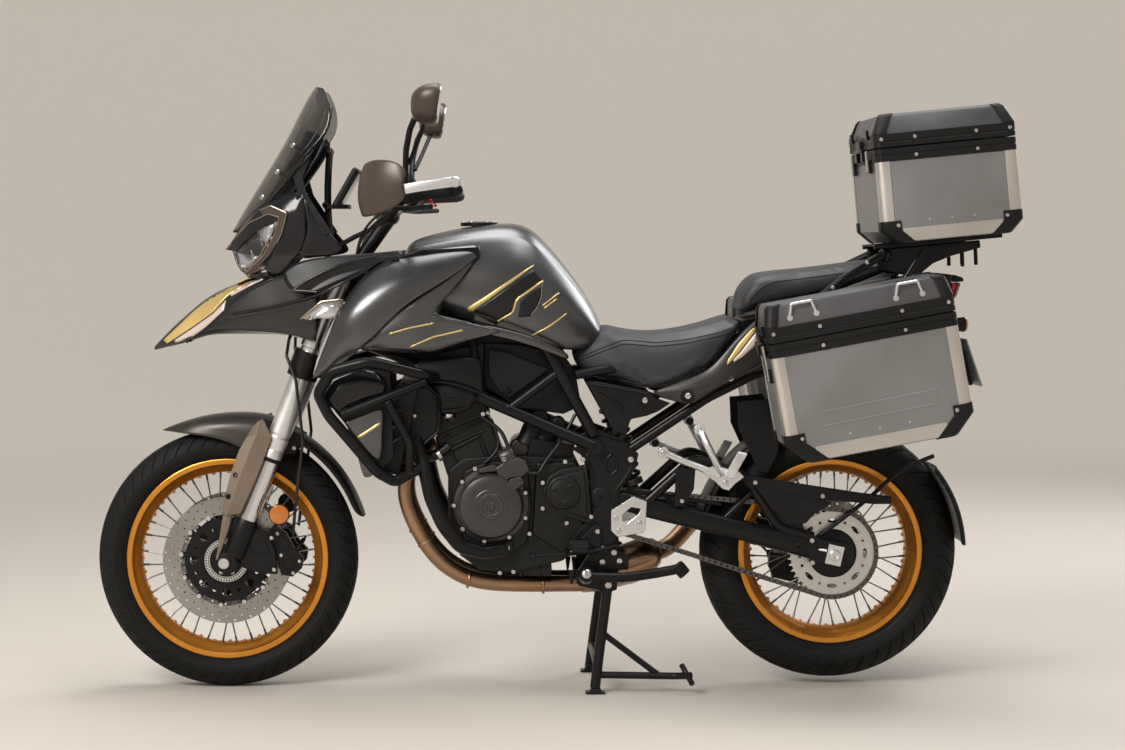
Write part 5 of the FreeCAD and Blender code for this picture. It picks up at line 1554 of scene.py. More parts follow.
def make_cowl():
    rim = [(13, -34, 1130), (40, -70, 1161), (66, -94, 1183), (118, -122, 1210), (160, -139, 1206), (150, -139, 1150),
           (118, -130, 1100), (104, -112, 1058)]
    middle = [(24, -28, 1150), (50, -68, 1182), (86, -98, 1210), (140, -124, 1234), (190, -143, 1222),
              (186, -151, 1145),
              (154, -142, 1084), (118, -112, 1048)]
    outer = [(38, -20, 1168), (62, -60, 1196), (108, -92, 1236), (165, -118, 1258), (203, -136, 1250),
             (217, -152, 1149),
             (184, -150, 1086), (132, -112, 1044)]
    side = folded([rim, middle, outer], (4,), 0.7)
    wing = folded([[(203, -136, 1250), (214, -146, 1190), (217, -152, 1149), (184, -150, 1086)],
                   [(212, -134, 1236), (234, -146, 1180), (257, -153, 1117), (232, -150, 1094)],
                   [(218, -132, 1226), (262, -144, 1160), (314, -150, 1110), (280, -148, 1098)]])
    top = folded([whole_row([(38, -20, 1168)], (36, 0, 1171)), whole_row([(62, -60, 1196)], (60, 0, 1204)),
                  whole_row([(108, -92, 1236)], (106, 0, 1246)), whole_row([(165, -118, 1258)], (165, 0, 1266)),
                  whole_row([(203, -136, 1250)], (203, 0, 1258))])
    nose = folded([whole_row([(13, -34, 1130)], (10, 0, 1124)), whole_row([(20, -46, 1104)], (16, 0, 1104)),
                   whole_row([(28, -56, 1082)], (24, 0, 1082)), whole_row([(36, -60, 1066)], (34, 0, 1062))])
    chin = folded([whole_row([(104, -112, 1058), (72, -90, 1050), (36, -60, 1066)], (34, 0, 1062)),
                   whole_row([(120, -112, 1046), (90, -86, 1036), (60, -50, 1042)], (56, 0, 1040))])
    bridge = folded([whole_row([(13, -34, 1130)], (10, 0, 1124)), whole_row([(24, -28, 1150)], (20, 0, 1148)),
                     whole_row([(38, -20, 1168)], (36, 0, 1171))])
    piece("cowl_shell", two_sides(side) + two_sides(wing) + [top, nose, chin, bridge], "gloss_black", "chassis",
          slot="graphite_paint", levels=2, thick=2.0, replaces=["front_cowl"])
    lens = [[(14, -40, 1127), (40, -72, 1159), (66, -96, 1181), (118, -123, 1207), (152, -137, 1180)],
            [(26, -60, 1088), (42, -84, 1112), (68, -106, 1128), (110, -127, 1134), (136, -134, 1130)],
            [(34, -62, 1070), (48, -76, 1059), (70, -90, 1055), (96, -105, 1059), (116, -118, 1076)]]
    loop = lens[0] + [lens[1][-1]] + list(reversed(lens[2])) + [lens[1][0]]
    piece("headlamp_lenses", two_sides(folded(lens)), "lamp_glass", "chassis", levels=2, thick=2.5,
          replaces=["headlamp"])

    def loop_at(share, dx, dy):
        cx, cy, cz = 78, -88, 1120
        return [(cx + (x - cx) * share + dx, cy + (y - cy) * share + dy, cz + (z - cz) * share) for x, y, z in loop]
    bowl = ring_mesh([loop_at(0.99, 2, 3), loop_at(0.93, 10, 12), loop_at(0.8, 24, 30), loop_at(0.45, 32, 40)],
                     capped=False)
    bottom = ring_mesh([loop_at(0.45, 32, 40), loop_at(0.44, 33, 42)], capped=True)
    piece("headlamp_bowls", two_sides(bowl) + two_sides(bottom), "gloss_black", "chassis", slot="graphite_paint",
          levels=1)
    brow = lamp_band([(4, 1112), (32, 1144), (68, 1178), (117, 1200), (147, 1192)],
                     [(30, 1108), (52, 1130), (84, 1157), (114, 1176), (139, 1184)], 3)
    piece("headlamp_brows", pair(brow), "gloss_black", "chassis", slot="graphite_paint", thick=4.0, bevel=1.2,
          weighted=True)
    frame = lamp_band([(96, 1210), (124, 1221), (166, 1203), (152, 1150), (120, 1098), (70, 1048)],
                      [(104, 1197), (117, 1201), (147, 1192), (134, 1150), (103, 1096), (58, 1056)], 3)
    piece("headlamp_frames", pair(frame), "brown_plastic", "chassis", slot="graphite_paint", thick=4.0, bevel=1.2,
          weighted=True)
    lines = []
    for route in ([(4, 1113), (32, 1146), (68, 1180), (117, 1202), (147, 1193), (134, 1150), (103, 1096), (60, 1056)],
                  [(96, 1211), (124, 1222), (166, 1204), (152, 1152), (140, 1130)],
                  [(139, 1184), (126, 1150), (97, 1098), (54, 1064)]):
        lines.append(bent_tube([on_lamp(x, z, 4) for x, z in route], 1.4, sides=2, order=2))
    lines.append(bent_tube([(60, -84, 1048), (90, -100, 1064), (121, -116, 1080), (150, -130, 1094),
                            (180, -142, 1106)], 2.4))
    piece("headlamp_rims", pair(joined(lines)), "bronze_trim", "chassis", slot="bronze_plastic")
    shade = lamp_band([(31, 1112), (56, 1134), (86, 1157), (97, 1140)],
                      [(39, 1106), (71, 1098), (100, 1099), (106, 1124)], -5)
    piece("headlamp_shades", pair(shade), "cover_grey", "chassis", slot="graphite_paint", thick=2.0)
    gleam = lamp_band([(86, 1157), (112, 1173), (139, 1183)], [(106, 1124), (113, 1134), (122, 1148)], -4)
    base = lamp_band([(30, 1106), (39, 1104), (71, 1096), (100, 1097)],
                     [(36, 1070), (42, 1068), (56, 1064), (84, 1080)], -4)
    piece("headlamp_reflectors", [pair(gleam), pair(base)], "clear_ribbed", "chassis", slot="silver_alloy", thick=2.0)
    ball, ring, beads = [], [], []
    for s in BOTH:
        a, b = place(96, s * 62, 1104), place(62, s * 84, 1100)
        ring.append(lathe(a, b, [(0, 20), (0.1, 26), (0.8, 27), (0.9, 23), (1, 21)], 36))
        ball.append(lathe(a, b, [(0.9, 0.5), (0.92, 24), (1.02, 22), (1.12, 16), (1.18, 8), (1.2, 0.5)], 36))
        for i in range(8):
            t = i / 7
            beads.append(((48 + 52 * t, s * (72 + 30 * t), 1072 - 2 * t), (-0.5, s * 0.8, 0.4)))
            beads.append(((96 + 34 * t, s * (100 + 22 * t), 1180 - 46 * t), (-0.6, s * 0.8, 0.0)))
            beads.append(((86 + 30 * t, s * (94 + 20 * t), 1168 - 46 * t), (-0.6, s * 0.8, 0.0)))
    piece("headlamp_rings", ring, "silver_alloy", "chassis", sharp=30)
    piece("headlamp_balls", ball, "lamp_glass", "chassis")
    bead = lathe(Vector((0, 0, 0)), Vector((0, 0, 0.006)), [(0, 6), (0.5, 5.4), (0.8, 4), (1, 1.5)], 10)
    piece("headlamp_facets", on_spots(bead, beads, "silver_alloy"), "silver_alloy", "chassis", sharp=30)


def screen_row(x, z, half, back):
    half_row = [(x + back, -half, z - back * 0.35), (x + back * 0.66, -half * 0.86, z - back * 0.23),
                (x + back * 0.36, -half * 0.6, z - back * 0.13), (x + back * 0.1, -half * 0.3, z - back * 0.03)]
    return whole_row(half_row, (x, 0, z))


def make_screen():
    rows = [screen_row(14, 1158, 32, 6), screen_row(34, 1196, 74, 30), screen_row(60, 1240, 104, 50),
            screen_row(106, 1316, 130, 66), screen_row(146, 1382, 140, 72), screen_row(166, 1422, 144, 92),
            screen_row(188, 1466, 140, 88), screen_row(208, 1502, 120, 60), screen_row(226, 1524, 82, 30)]
    screen = piece("windscreen_shell", folded(rows), "tinted_screen", "chassis", levels=2, thick=3.5,
                   replaces=["windscreen"])
    inner = [screen_row(60, 1214, 88, 44), screen_row(112, 1296, 116, 60), screen_row(164, 1380, 124, 66),
             screen_row(186, 1420, 112, 58)]
    moved = [[(x + 16, y, z - 6) for x, y, z in row] for row in inner]
    piece("windscreen_brace", folded(moved), "gloss_black", "chassis", slot="black_plastic", levels=2, thick=3.0)
    edge = stroke([screen], [(262, 1478), (250, 1424), (214, 1370), (196, 1350)], 3.0, (0.6, 1), 0.6)
    piece("windscreen_edge_lines", edge, "gloss_black", "chassis", slot="black_plastic", thick=0.6)
    tree = BVHTree.FromObject(screen, bpy.context.evaluated_depsgraph_get())
    spots, arms = [], []
    for side in BOTH:
        outline = [(214, 115, 1375), (180, 123, 1290), (192, 130, 1243), (256, 146, 1147), (272, 146, 1158),
                   (211, 130, 1253),
                   (201, 123, 1291), (233, 115, 1369)]
        arms.append(leaning_plate([(x, side * y - 3, z) for x, y, z in outline], 6))
        arms.append(rod((208, side * 128, 1247), (186, side * 136, 1240), 5, 14, 1))
        for tie, x, z in (((214, 117, 1352), 176, 1372), ((192, 123, 1286), 136, 1306), (None, 98, 1243)):
            hit, facing = tree.ray_cast(place(x, side * 400, z), Vector((0, -side, 0)))[:2]
            spot = (hit - place(0, 0, 0)) / MM
            spots.append((spot[:], facing[:]))
            if tie:
                arms.append(rod((tie[0], side * tie[1], tie[2]), (spot - facing * 2)[:], 5, 14, 1))
    piece("windscreen_bolts", on_spots(bolt_head(7, 5), spots, "black_metal"), "wheel_steel", "chassis")
    piece("windscreen_arms", arms, "black_metal", "chassis", bevel=1.5)
    return screen


def make_dash():
    lean = tilted_to((306, 0, 1268), math.radians(30))
    board = turned(box_mesh(-9, 9, -92, 92, -56, 56), lean)
    piece("dash_body", board, "black_plastic", "chassis", bevel=7.0, segments=4, replaces=["instrument_panel"])
    face = turned(box_mesh(9, 10.5, -82, 82, -46, 46), lean)
    piece("dash_glass", face, "gloss_black", "chassis", slot="graphite_paint", bevel=0.6)
    arms = []
    for side in BOTH:
        arms.append(bent_tube([(262, side * 30, 1150), (250, side * 30, 1240), (262, side * 30, 1362)], 7, 4))
    arms.append(rod((262, -90, 1362), (262, 90, 1362), 6, 24))
    arms.append(rod((262, -38, 1362), (262, 38, 1362), 8, 24))
    arms.append(rod((252, -62, 1225), (252, 62, 1225), 7, 16))
    arms.append(box_mesh(248, 312, -62, 62, 1216, 1226))
    piece("dash_frame", arms, "black_metal", "chassis")


def paint_body(tank, flank):
    sides = [tank, flank]
    gold = []
    for line, width, ends in (
            ([(612, 962), (652, 990), (700, 1024), (775, 1075)], 9, (1.7, 0.35)),
            ([(671, 928), (722, 957), (731, 990), (798, 1036)], 5.5, (0.8, 1.0)),
            ([(796, 975), (838, 1006)], 4, (1, 0.8)), ([(800, 968), (832, 991)], 4, (1, 0.8)),
            ([(769, 899), (812, 922), (857, 955)], 4.5, (1, 0.8)),
            ([(418, 907), (470, 922), (528, 933)], 4.5, (0.8, 1)),
            ([(469, 874), (526, 899), (598, 915)], 4.5, (0.8, 1))):
        gold += stroke(sides, line, width, ends, 0.9)
    piece("body_gold_lines", gold, "gold_paint", "chassis", slot="bronze_paint", thick=0.5)
    ink = laid_on(sides, [(624, 962), (700, 1016), (775, 1066), (796, 1036)],
                  [(690, 936), (724, 962), (733, 988), (794, 1032)], 6, 0.5)
    ink += laid_on(sides, [(742, 992), (770, 1010), (796, 1028)], [(736, 946), (765, 948), (790, 975)], 6, 0.5)
    ink += laid_on(sides, [(628, 955), (668, 940)], [(680, 926), (700, 940)], 3, 0.5)
    piece("body_dark_fields", ink, "decal_black", "chassis", slot="graphite_paint", thick=0.3)
    trim = stroke(sides, [(796, 1030), (794, 995), (784, 970), (764, 947)], 3.5, (1, 0.8), 0.9)
    piece("body_grey_lines", trim, "dark_alloy", "chassis", slot="silver_alloy", thick=0.5)
    # Painted shade: gloss black strokes along the parting lines between the tank and the side panels, standing in for
    # the shade inside those gaps.
    seams = []
    for line, width in (([(524, 958), (585, 943), (668, 924), (762, 898), (842, 867)], 5.5),
                        ([(524, 958), (547, 985), (585, 1026), (624, 1070)], 2.2)):
        seams += stroke(sides, line, width, (1, 1), 0.4)
    piece("body_seams", seams, "gloss_black", "chassis", slot="graphite_paint", thick=0.4)


def make_side_panels():
    back = [(452, 838), (533, 868), (600, 902), (700, 904), (800, 878), (862, 846), (842, 822), (655, 845),
            (640, 764), (534, 778), (490, 796)]
    piece("side_panel_backs", pair(plate_mesh(back, -92, -88)), "black_plastic", "chassis", bevel=1.0)
    panel = [(662, 866), (712, 856), (812, 815), (782, 790), (712, 742), (690, 760), (662, 800)]
    piece("frame_panels", pair(plate_mesh(panel, -136, -128)), "black_plastic", "chassis", bevel=3,
          replaces=["side_covers"])
    front = [(540, 856), (650, 880), (650, 770), (600, 770), (520, 800)]
    piece("front_infills", pair(plate_mesh(front, -132, -124)), "black_plastic", "chassis", bevel=2)
    spots = [((708, side * 137, 762), (0, side, 0)) for side in BOTH]
    bolted("frame_panel_bolts", 9, 5, spots, "black_metal", "chassis")
    cover = [[(640, -200, 930), (650, -204, 918), (660, -200, 903)],
             [(700, -197, 919), (710, -202, 905), (715, -196, 893)],
             [(770, -188, 899), (778, -192, 886), (780, -186, 872)],
             [(822, -170, 876), (830, -174, 864), (832, -166, 850)],
             [(858, -150, 856), (862, -152, 848), (862, -146, 838)]]
    piece("frame_cover_strips", two_sides(folded(cover)), "graphite_paint", "chassis", levels=2, thick=2.5)


def make_bodywork():
    tank = make_tank()
    flank = make_blade()
    make_beak()
    make_cowl()
    make_screen()
    make_dash()
    paint_body(tank, flank)
    make_side_panels()

# ------------------------------------------------------------ seats and tail

def seat_ring(x, top, low, half, crown=4):
    side = [(x, -half * 0.80, low), (x, -half * 0.97, low + 7), (x, -half, low + (top - low) * 0.45),
            (x, -half * 0.96, top - (top - low) * 0.18), (x, -half * 0.78, top - 5),
            (x, -half * 0.4, top + crown * 0.6)]
    return side + [(x, 0, top + crown)] + [(px, -py, pz) for px, py, pz in reversed(side)]


SEAT_GRID = 0.006
CORNER_STEPS = 4
SEAM_SHARE = 0.42
TOP_CASE_ORIGIN = (1619, 0, 1361)
TOP_CASE_LEAN = math.radians(5.5)


def swell(mesh, name, limit):
    """Foam under a stretched cover: the mesh is blown up a little as cloth, then fixed."""
    obj = bpy.data.objects.new(name, mesh)
    bpy.context.collection.objects.link(obj)
    grid = obj.modifiers.new("grid", "REMESH")
    grid.mode = "VOXEL"
    grid.voxel_size = SEAT_GRID
    deps = bpy.context.evaluated_depsgraph_get()
    start = bpy.data.meshes.new_from_object(obj.evaluated_get(deps))
    obj.modifiers.clear()
    obj.data = start
    before = [v.co.copy() for v in start.vertices]
    cloth = obj.modifiers.new("cloth", "CLOTH")
    cloth.settings.use_pressure = True
    cloth.settings.uniform_pressure_force = 4.0
    cloth.settings.quality = 5
    cloth.settings.tension_stiffness = 20
    cloth.settings.compression_stiffness = 20
    cloth.settings.bending_stiffness = 2
    cloth.settings.effector_weights.gravity = 0.0
    scene = bpy.context.scene
    for number in range(1, 21):
        scene.frame_set(number)
    deps = bpy.context.evaluated_depsgraph_get()
    blown = bpy.data.meshes.new_from_object(obj.evaluated_get(deps))
    obj.modifiers.clear()
    for vertex, old in zip(blown.vertices, before):
        move = vertex.co - old
        if move.length > limit:
            vertex.co = old + move.normalized() * limit
    scene.frame_set(1)
    bpy.data.objects.remove(obj)
    return blown


def on_surface(obj, line):
    """A line of (x, z) points laid on both sides of a finished piece."""
    deps = bpy.context.evaluated_depsgraph_get()
    tree = BVHTree.FromObject(obj, deps)
    lines = []
    for side in BOTH:
        points = []
        for spot in evenly(line, 28):
            hit = tree.ray_cast(place(spot.x, side * 400, spot.y), Vector((0, -side, 0)))
            if hit[0] is not None:
                points.append((hit[0].x / MM - FRONT_AXLE.x / MM, hit[0].y / MM, hit[0].z / MM))
        lines.append(points)
    return lines


def make_seats():
    rider = [seat_ring(871, 868, 848, 84, 1), seat_ring(886, 879, 824, 100, 2), seat_ring(912, 894, 802, 118),
             seat_ring(948, 911, 791, 132), seat_ring(965, 914, 788, 136), seat_ring(990, 905, 784, 141),
             seat_ring(1035, 898, 774, 148),
             seat_ring(1074, 896, 765, 152), seat_ring(1133, 902, 784, 156), seat_ring(1180, 912, 804, 158),
             seat_ring(1217, 922, 822, 155), seat_ring(1262, 938, 878, 147), seat_ring(1302, 945, 926, 134)]
    pillion = [seat_ring(1290, 985, 953, 108, 2), seat_ring(1304, 1012, 952, 119, 4), seat_ring(1322, 1034, 962, 126),
               seat_ring(1348, 1048, 970, 129), seat_ring(1450, 1055, 989, 127), seat_ring(1560, 1069, 1018, 116),
               seat_ring(1655, 1082, 1056, 98), seat_ring(1688, 1084, 1066, 88, 2)]
    for name, rings, node_name in (("rider_seat_cover", rider, "rider_seat"),
                                   ("pillion_seat_cover", pillion, "pillion_seat")):
        cage = bpy.data.objects.new("cage", ring_mesh(rings))
        bpy.context.collection.objects.link(cage)
        smooth = cage.modifiers.new("smooth", "SUBSURF")
        smooth.levels = 2
        smooth.render_levels = 2
        deps = bpy.context.evaluated_depsgraph_get()
        fine = bpy.data.meshes.new_from_object(cage.evaluated_get(deps))
        bpy.data.objects.remove(cage)
        cover = piece(name, swell(fine, name + "_sim", 0.006), "seat_vinyl", "chassis", levels=1,
                      replaces=[node_name])
        if node_name == "rider_seat":
            lines = [[(882, 838), (944, 866), (1000, 887), (1081, 880), (1157, 888), (1249, 908), (1290, 924)],
                     [(880, 830), (944, 857), (1000, 878), (1081, 871), (1157, 879), (1249, 899), (1286, 914)]]
            edge = [(876, 836), (908, 802), (973, 790), (1074, 768), (1133, 788), (1217, 828), (1262, 882)]
        else:
            lines = [[(1318, 985), (1345, 1016), (1380, 1032), (1450, 1040), (1560, 1054), (1650, 1070)]]
            edge = [(1300, 956), (1330, 970), (1459, 994), (1560, 1022), (1650, 1058)]
        welts = [bent_tube(points, 1.3, 6) for line in lines for points in on_surface(cover, line)]
        piece(name + "_seams", welts, "black_rubber", "chassis")
        hem = [bent_tube(points, 2.4, 8) for points in on_surface(cover, edge)]
        piece(name + "_hems", hem, "black_plastic", "chassis")


def make_tail():
    rows = [[(1072, -143, 760), (1074, -146, 758), (1078, -147, 752), (1082, -146, 747), (1084, -142, 746)],
            [(1133, -148, 781), (1138, -156, 773), (1143, -160, 762), (1147, -158, 742), (1149, -150, 728)],
            [(1170, -150, 796), (1178, -159, 785), (1184, -163, 770), (1176, -160, 744), (1172, -151, 725)],
            [(1217, -150, 816), (1228, -160, 804), (1243, -163, 780), (1232, -158, 768), (1209, -150, 751)],
            [(1264, -148, 874), (1276, -158, 850), (1290, -160, 800), (1278, -156, 788), (1266, -148, 780)],
            [(1312, -145, 926), (1324, -154, 890), (1338, -156, 830), (1336, -152, 818), (1330, -146, 808)],
            [(1345, -142, 944), (1364, -150, 905), (1376, -152, 860), (1376, -148, 846), (1372, -142, 836)],
            [(1430, -136, 972), (1440, -142, 940), (1444, -142, 900), (1444, -138, 886), (1440, -134, 876)]]
    tail = piece("tail_side_panels", two_sides(folded(rows, (2,), 0.7)), "dark_paint", "chassis",
                 slot="graphite_paint",
                 levels=2, thick=2.5, replaces=["tail_panels"])
    gold = laid_on([tail], [(1256, 832), (1264, 846), (1286, 880), (1318, 914), (1328, 918)],
                   [(1257, 826), (1270, 838), (1290, 858), (1318, 896), (1328, 908)], 4, 0.9)
    sand = laid_on([tail], [(1272, 838), (1290, 856), (1319, 894), (1330, 906)],
                   [(1274, 833), (1296, 846), (1322, 868), (1332, 880)], 3, 0.9)
    piece("tail_gold_panels", gold, "gold_paint", "chassis", slot="bronze_paint", thick=1.0)
    piece("tail_sand_panels", sand, "sand_paint", "chassis", slot="bronze_paint", thick=1.0)
    low = [(905, 784), (937, 783), (1068, 758), (1082, 742), (1118, 729), (1086, 708), (1057, 697), (1018, 689),
           (1004, 648), (974, 660)]
    piece("seat_side_covers", pair(plate_mesh(low, -141, -130)), "black_plastic", "chassis", bevel=4, segments=3)
    ribs = pair(bent_tube([(939, -142, 762), (970, -142, 749), (998, -142, 712)], 5))
    ribs2 = pair(bent_tube([(925, -141, 776), (1000, -141, 764), (1062, -141, 752)], 3))
    piece("seat_side_cover_ribs", [ribs, ribs2], "black_plastic", "chassis")
    spots = [((x, side * y, z), (0, side, 0)) for side in BOTH for x, z,
             y in ((1053, 736, 141), (1159, 748, 161), (1266, 792, 157))]
    bolted("tail_bolts", 8, 4, spots, "wheel_steel", "chassis")
    cups = []
    for side in BOTH:
        cups.append(turned_ring([(side * 157, 11), (side * 162, 12), (side * 162.5, 16), (side * 156, 18)],
                                place(1159, 0, 748), 32))
        cups.append(turned_ring([(side * 139, 9), (side * 142, 10), (side * 142.5, 14), (side * 139, 16)],
                                place(1053, 0, 736), 32))
    piece("tail_bolt_cups", cups, "black_plastic", "chassis", sharp=30)
    under = ring_mesh([[(1300, -96, 900), (1300, 96, 900), (1300, 104, 938), (1300, -104, 938)],
                       [(1440, -100, 930), (1440, 100, 930), (1440, 118, 968), (1440, -118, 968)],
                       [(1640, -92, 958), (1640, 92, 958), (1640, 104, 1030), (1640, -104, 1030)],
                       [(1790, -76, 962), (1790, 76, 962), (1790, 88, 1052), (1790, -88, 1052)],
                       [(1830, -66, 980), (1830, 66, 980), (1836, 80, 1048), (1836, -80, 1048)]])
    piece("under_tail", under, "black_plastic", "chassis", bevel=6, segments=3)
    hood = ring_mesh([[(1800, -72, 1036), (1800, 72, 1036), (1800, 66, 1054), (1800, -66, 1054)],
                      [(1850, -66, 1030), (1850, 66, 1030), (1848, 60, 1048), (1848, -60, 1048)],
                      [(1871, -54, 1032), (1871, 54, 1032), (1870, 50, 1042), (1870, -50, 1042)]])
    piece("tail_lamp_hood", hood, "black_plastic", "chassis", bevel=3, replaces=["tail_lamp"])
    lens = ring_mesh([[(1836, -62, 984), (1836, 62, 984), (1836, 66, 1029), (1836, -66, 1029)],
                      [(1848, -60, 990), (1848, 60, 990), (1858, 62, 1029), (1858, -62, 1029)],
                      [(1853, -52, 996), (1853, 52, 996), (1863, 54, 1026), (1863, -54, 1026)]])
    piece("tail_lamp_lens", lens, "red_lens", "chassis", bevel=3, segments=3)
    cells = [((1840, y, z), (1, 0, 0)) for y in range(-48, 49, 12) for z in (996, 1008, 1020)]
    bolted("tail_lamp_cells", 4.5, 3, cells, "red_plastic", "chassis")
    arm = [(1796, 962), (1834, 972), (1866, 884), (1902, 768), (1893, 764), (1852, 868), (1786, 942)]
    piece("plate_arm", plate_mesh(arm, -36, 36), "black_plastic", "chassis", bevel=4, replaces=["plate_holder"])
    plate = plate_mesh([(1868, 886), (1872, 887), (1913, 768), (1909, 766)], -94, 94)
    piece("plate_blank", plate, "case_aluminium", "chassis", bevel=0.8)
    stalks, lamps = [], []
    for side in BOTH:
        stalks.append(rod((1843, side * 34, 925), (1846, side * 104, 925), 8, 16))
        stalks.append(lathe(place(1834, side * 124, 925), place(1860, side * 124, 925),
                            [(0, 10), (0.25, 17), (0.85, 19), (1, 18)], 24))
        stalks.append(rod((1846, side * 100, 925), (1846, side * 118, 925), 11, 16))
        lamps.append(lathe(place(1860, side * 124, 925), place(1867, side * 124, 925), [(0, 17), (0.5, 16), (1, 9)],
                           24))
    piece("rear_signal_stalks", stalks, "black_plastic", "chassis", sharp=35)
    piece("rear_signal_lenses", lamps, "amber_lens", "chassis", sharp=30)


# ------------------------------------------------------------------- cases

def rounded_loop(x0, x1, y0, y1, radius, z, out=0.0):
    """A level loop with round corners, grown outwards by a margin."""
    x0, x1, y0, y1 = x0 - out, x1 + out, y0 - out, y1 + out
    radius = max(radius + out, 1.0)
    points = []
    for cx, cy, first in ((x1 - radius, y1 - radius, 0), (x0 + radius, y1 - radius, 90),
                          (x0 + radius, y0 + radius, 180),
                          (x1 - radius, y0 + radius, 270)):
        for i in range(CORNER_STEPS + 1):
            turn = math.radians(first + 90 * i / CORNER_STEPS)
            points.append((cx + radius * math.cos(turn), cy + radius * math.sin(turn), z))
    return points


def corner_sheet(cx, cy, dx, dy, radius, reach, rows, out):
    """A sheet bent round a case corner; rows are (z, inward shift in x, inward shift in y)."""
    lines = []
    for z, shift_x, shift_y in rows:
        x, y = cx + dx * shift_x, cy + dy * shift_y
        line = [(x + dx * reach, y - dy * out, z), (x + dx * radius, y - dy * out, z)]
        for i in range(1, 5):
            turn = math.radians(90 * i / 5)
            line.append((x + dx * radius - dx * (radius + out) * math.sin(turn),
                         y + dy * radius - dy * (radius + out) * math.cos(turn), z))
        line += [(x - dx * out, y + dy * radius, z), (x - dx * out, y + dy * reach, z)]
        lines.append(line)
    return grid_mesh(lines)


def case_parts(long, deep, cut, high, inset, y0, y1, loops):
    """The parts of one box and lid in the case's own frame, by finish."""
    radius = 15
    middle = (y0 + y1) / 2
    corners = [(0, y0, 1, 1), (long, y0, -1, 1), (0, y1, 1, -1), (long, y1, -1, -1)]
    box = {"sheet": [ring_mesh([rounded_loop(0, long, y0, y1, radius, -1),
                                rounded_loop(0, long, y0, y1, radius, -deep + cut),
                                rounded_loop(cut, long - cut, y0, y1, radius, -deep)], capped=False),
                     ring_mesh([rounded_loop(cut, long - cut, y0, y1, radius, -deep),
                                rounded_loop(cut + 3, long - cut - 3, y0 + 3, y1 - 3, radius, -deep - 0.5)])],
           "profile": [], "guard": [], "band": [], "bolts": [], "rivets": []}
    lid = {"sheet": [], "band": [], "guard": [], "bolts": [], "loops": []}
    band = high * SEAM_SHARE
    for cx, cy, dx, dy in corners:
        box["profile"].append(corner_sheet(cx, cy, dx, dy, radius, 30,
                                           [(-28, 0, 0), (-deep + cut, 0, 0), (-deep, cut, 0)], 2.0))
        box["guard"].append(corner_sheet(cx, cy, dx, dy, radius, 46,
                                         [(-deep + cut + 24, 0, 0), (-deep + cut, 0, 0), (-deep, cut, 0),
                                          (-deep - 3, cut + 6, 5)], 4.2))
        lid["guard"].append(corner_sheet(cx, cy, dx, dy, radius, 28,
                                         [(band - 2, 0, 0), (band + 4, 0, 0), (high - 6, inset, inset),
                                          (high + 1, inset + 7, inset + 7)], 3.0))
        box["bolts"].append(((cx + dx * 38, cy - dy * 4.5, -deep + cut + 12), (0, -dy, 0)))
        lid["bolts"].append(((cx + dx * 14, cy - dy * 4, band * 0.62), (0, -dy, 0)))
    for y, side in ((y0, -1), (y1, 1)):
        for x in (long * 0.28, long * 0.72):
            lid["bolts"].append(((x, y + side * 4, band * 0.62), (0, side, 0)))
            box["bolts"].append(((x, y + side * 4, -22), (0, side, 0)))
        for i in range(3):
            box["rivets"].append(((long * (0.34 + 0.16 * i), y + side * 0.5, -deep + 50), (0, side, 0)))
        box["profile"].append(grid_mesh([[(cut + 20, y + side * 1.6, -deep + 34),
                                          (long / 2, y + side * 1.6, -deep + 34),
                                          (long - cut - 20, y + side * 1.6, -deep + 34)],
                                         [(cut + 20, y + side * 1.6, -deep + 2),
                                          (long / 2, y + side * 1.6, -deep + 2),
                                          (long - cut - 20, y + side * 1.6, -deep + 2)]]))
    steps = [(-34, 0.6), (-33, 3), (-20, 3), (-19, 1.8), (-16, 1.8), (-15, 3.2), (-2, 3.2), (-1, 1.0)]
    box["band"].append(ring_mesh([rounded_loop(0, long, y0, y1, radius, z, out) for z, out in steps], capped=False))
    steps = [(1.5, 1.0), (2.5, 3.4), (band * 0.36, 3.4), (band * 0.4, 2.2), (band * 0.46, 2.2), (band * 0.5, 3.4),
             (band - 1, 3.4), (band, 1.2)]
    lid["band"].append(ring_mesh([rounded_loop(0, long, y0, y1, radius, z, out) for z, out in steps], capped=False))

    def inner(z, by):
        return rounded_loop(by, long - by, y0 + by, y1 - by, radius, z)
    lid["sheet"].append(ring_mesh([inner(2, 1.5), inner(band, 1.5), inner(high - 8, inset),
                                   inner(high - 2, inset + 4), inner(high, inset + 11)], capped=False))
    lid["sheet"].append(ring_mesh([inner(high, inset + 11), inner(high + 0.4, inset + 16)], capped=True))
    for x, side in loops:
        y = y0 + inset if side < 0 else y1 - inset
        lid["loops"].append(cornered_tube([(x - 32, y + side * 6, high - 34), (x - 24, y + side * 11, high - 4),
                                           (x + 24, y + side * 11, high - 4),
                                           (x + 32, y + side * 6, high - 34)], 3.6, 7))
        for end in (-32, 32):
            lid["loops"].append(rod((x + end, y + side * 1, high - 36), (x + end, y + side * 8, high - 36), 7, 12))
    fixed = [lathe(place(-11, middle + s * 31, 1), place(-11, middle + s * 60, 1), [(0, 4.5), (1, 4.5)],
                   16) for s in BOTH]
    fixed += [box_mesh(-13, 1, *sorted((middle + s * 31, middle + s * 60)), -26, -3) for s in BOTH]
    box["hinge"] = fixed
    lid["hinge"] = [rod((-11, middle - 30, 1), (-11, middle + 30, 1), 4.5, 16),
                    box_mesh(-12, -3, middle - 30, middle + 30, 2, 26)]
    return box, lid


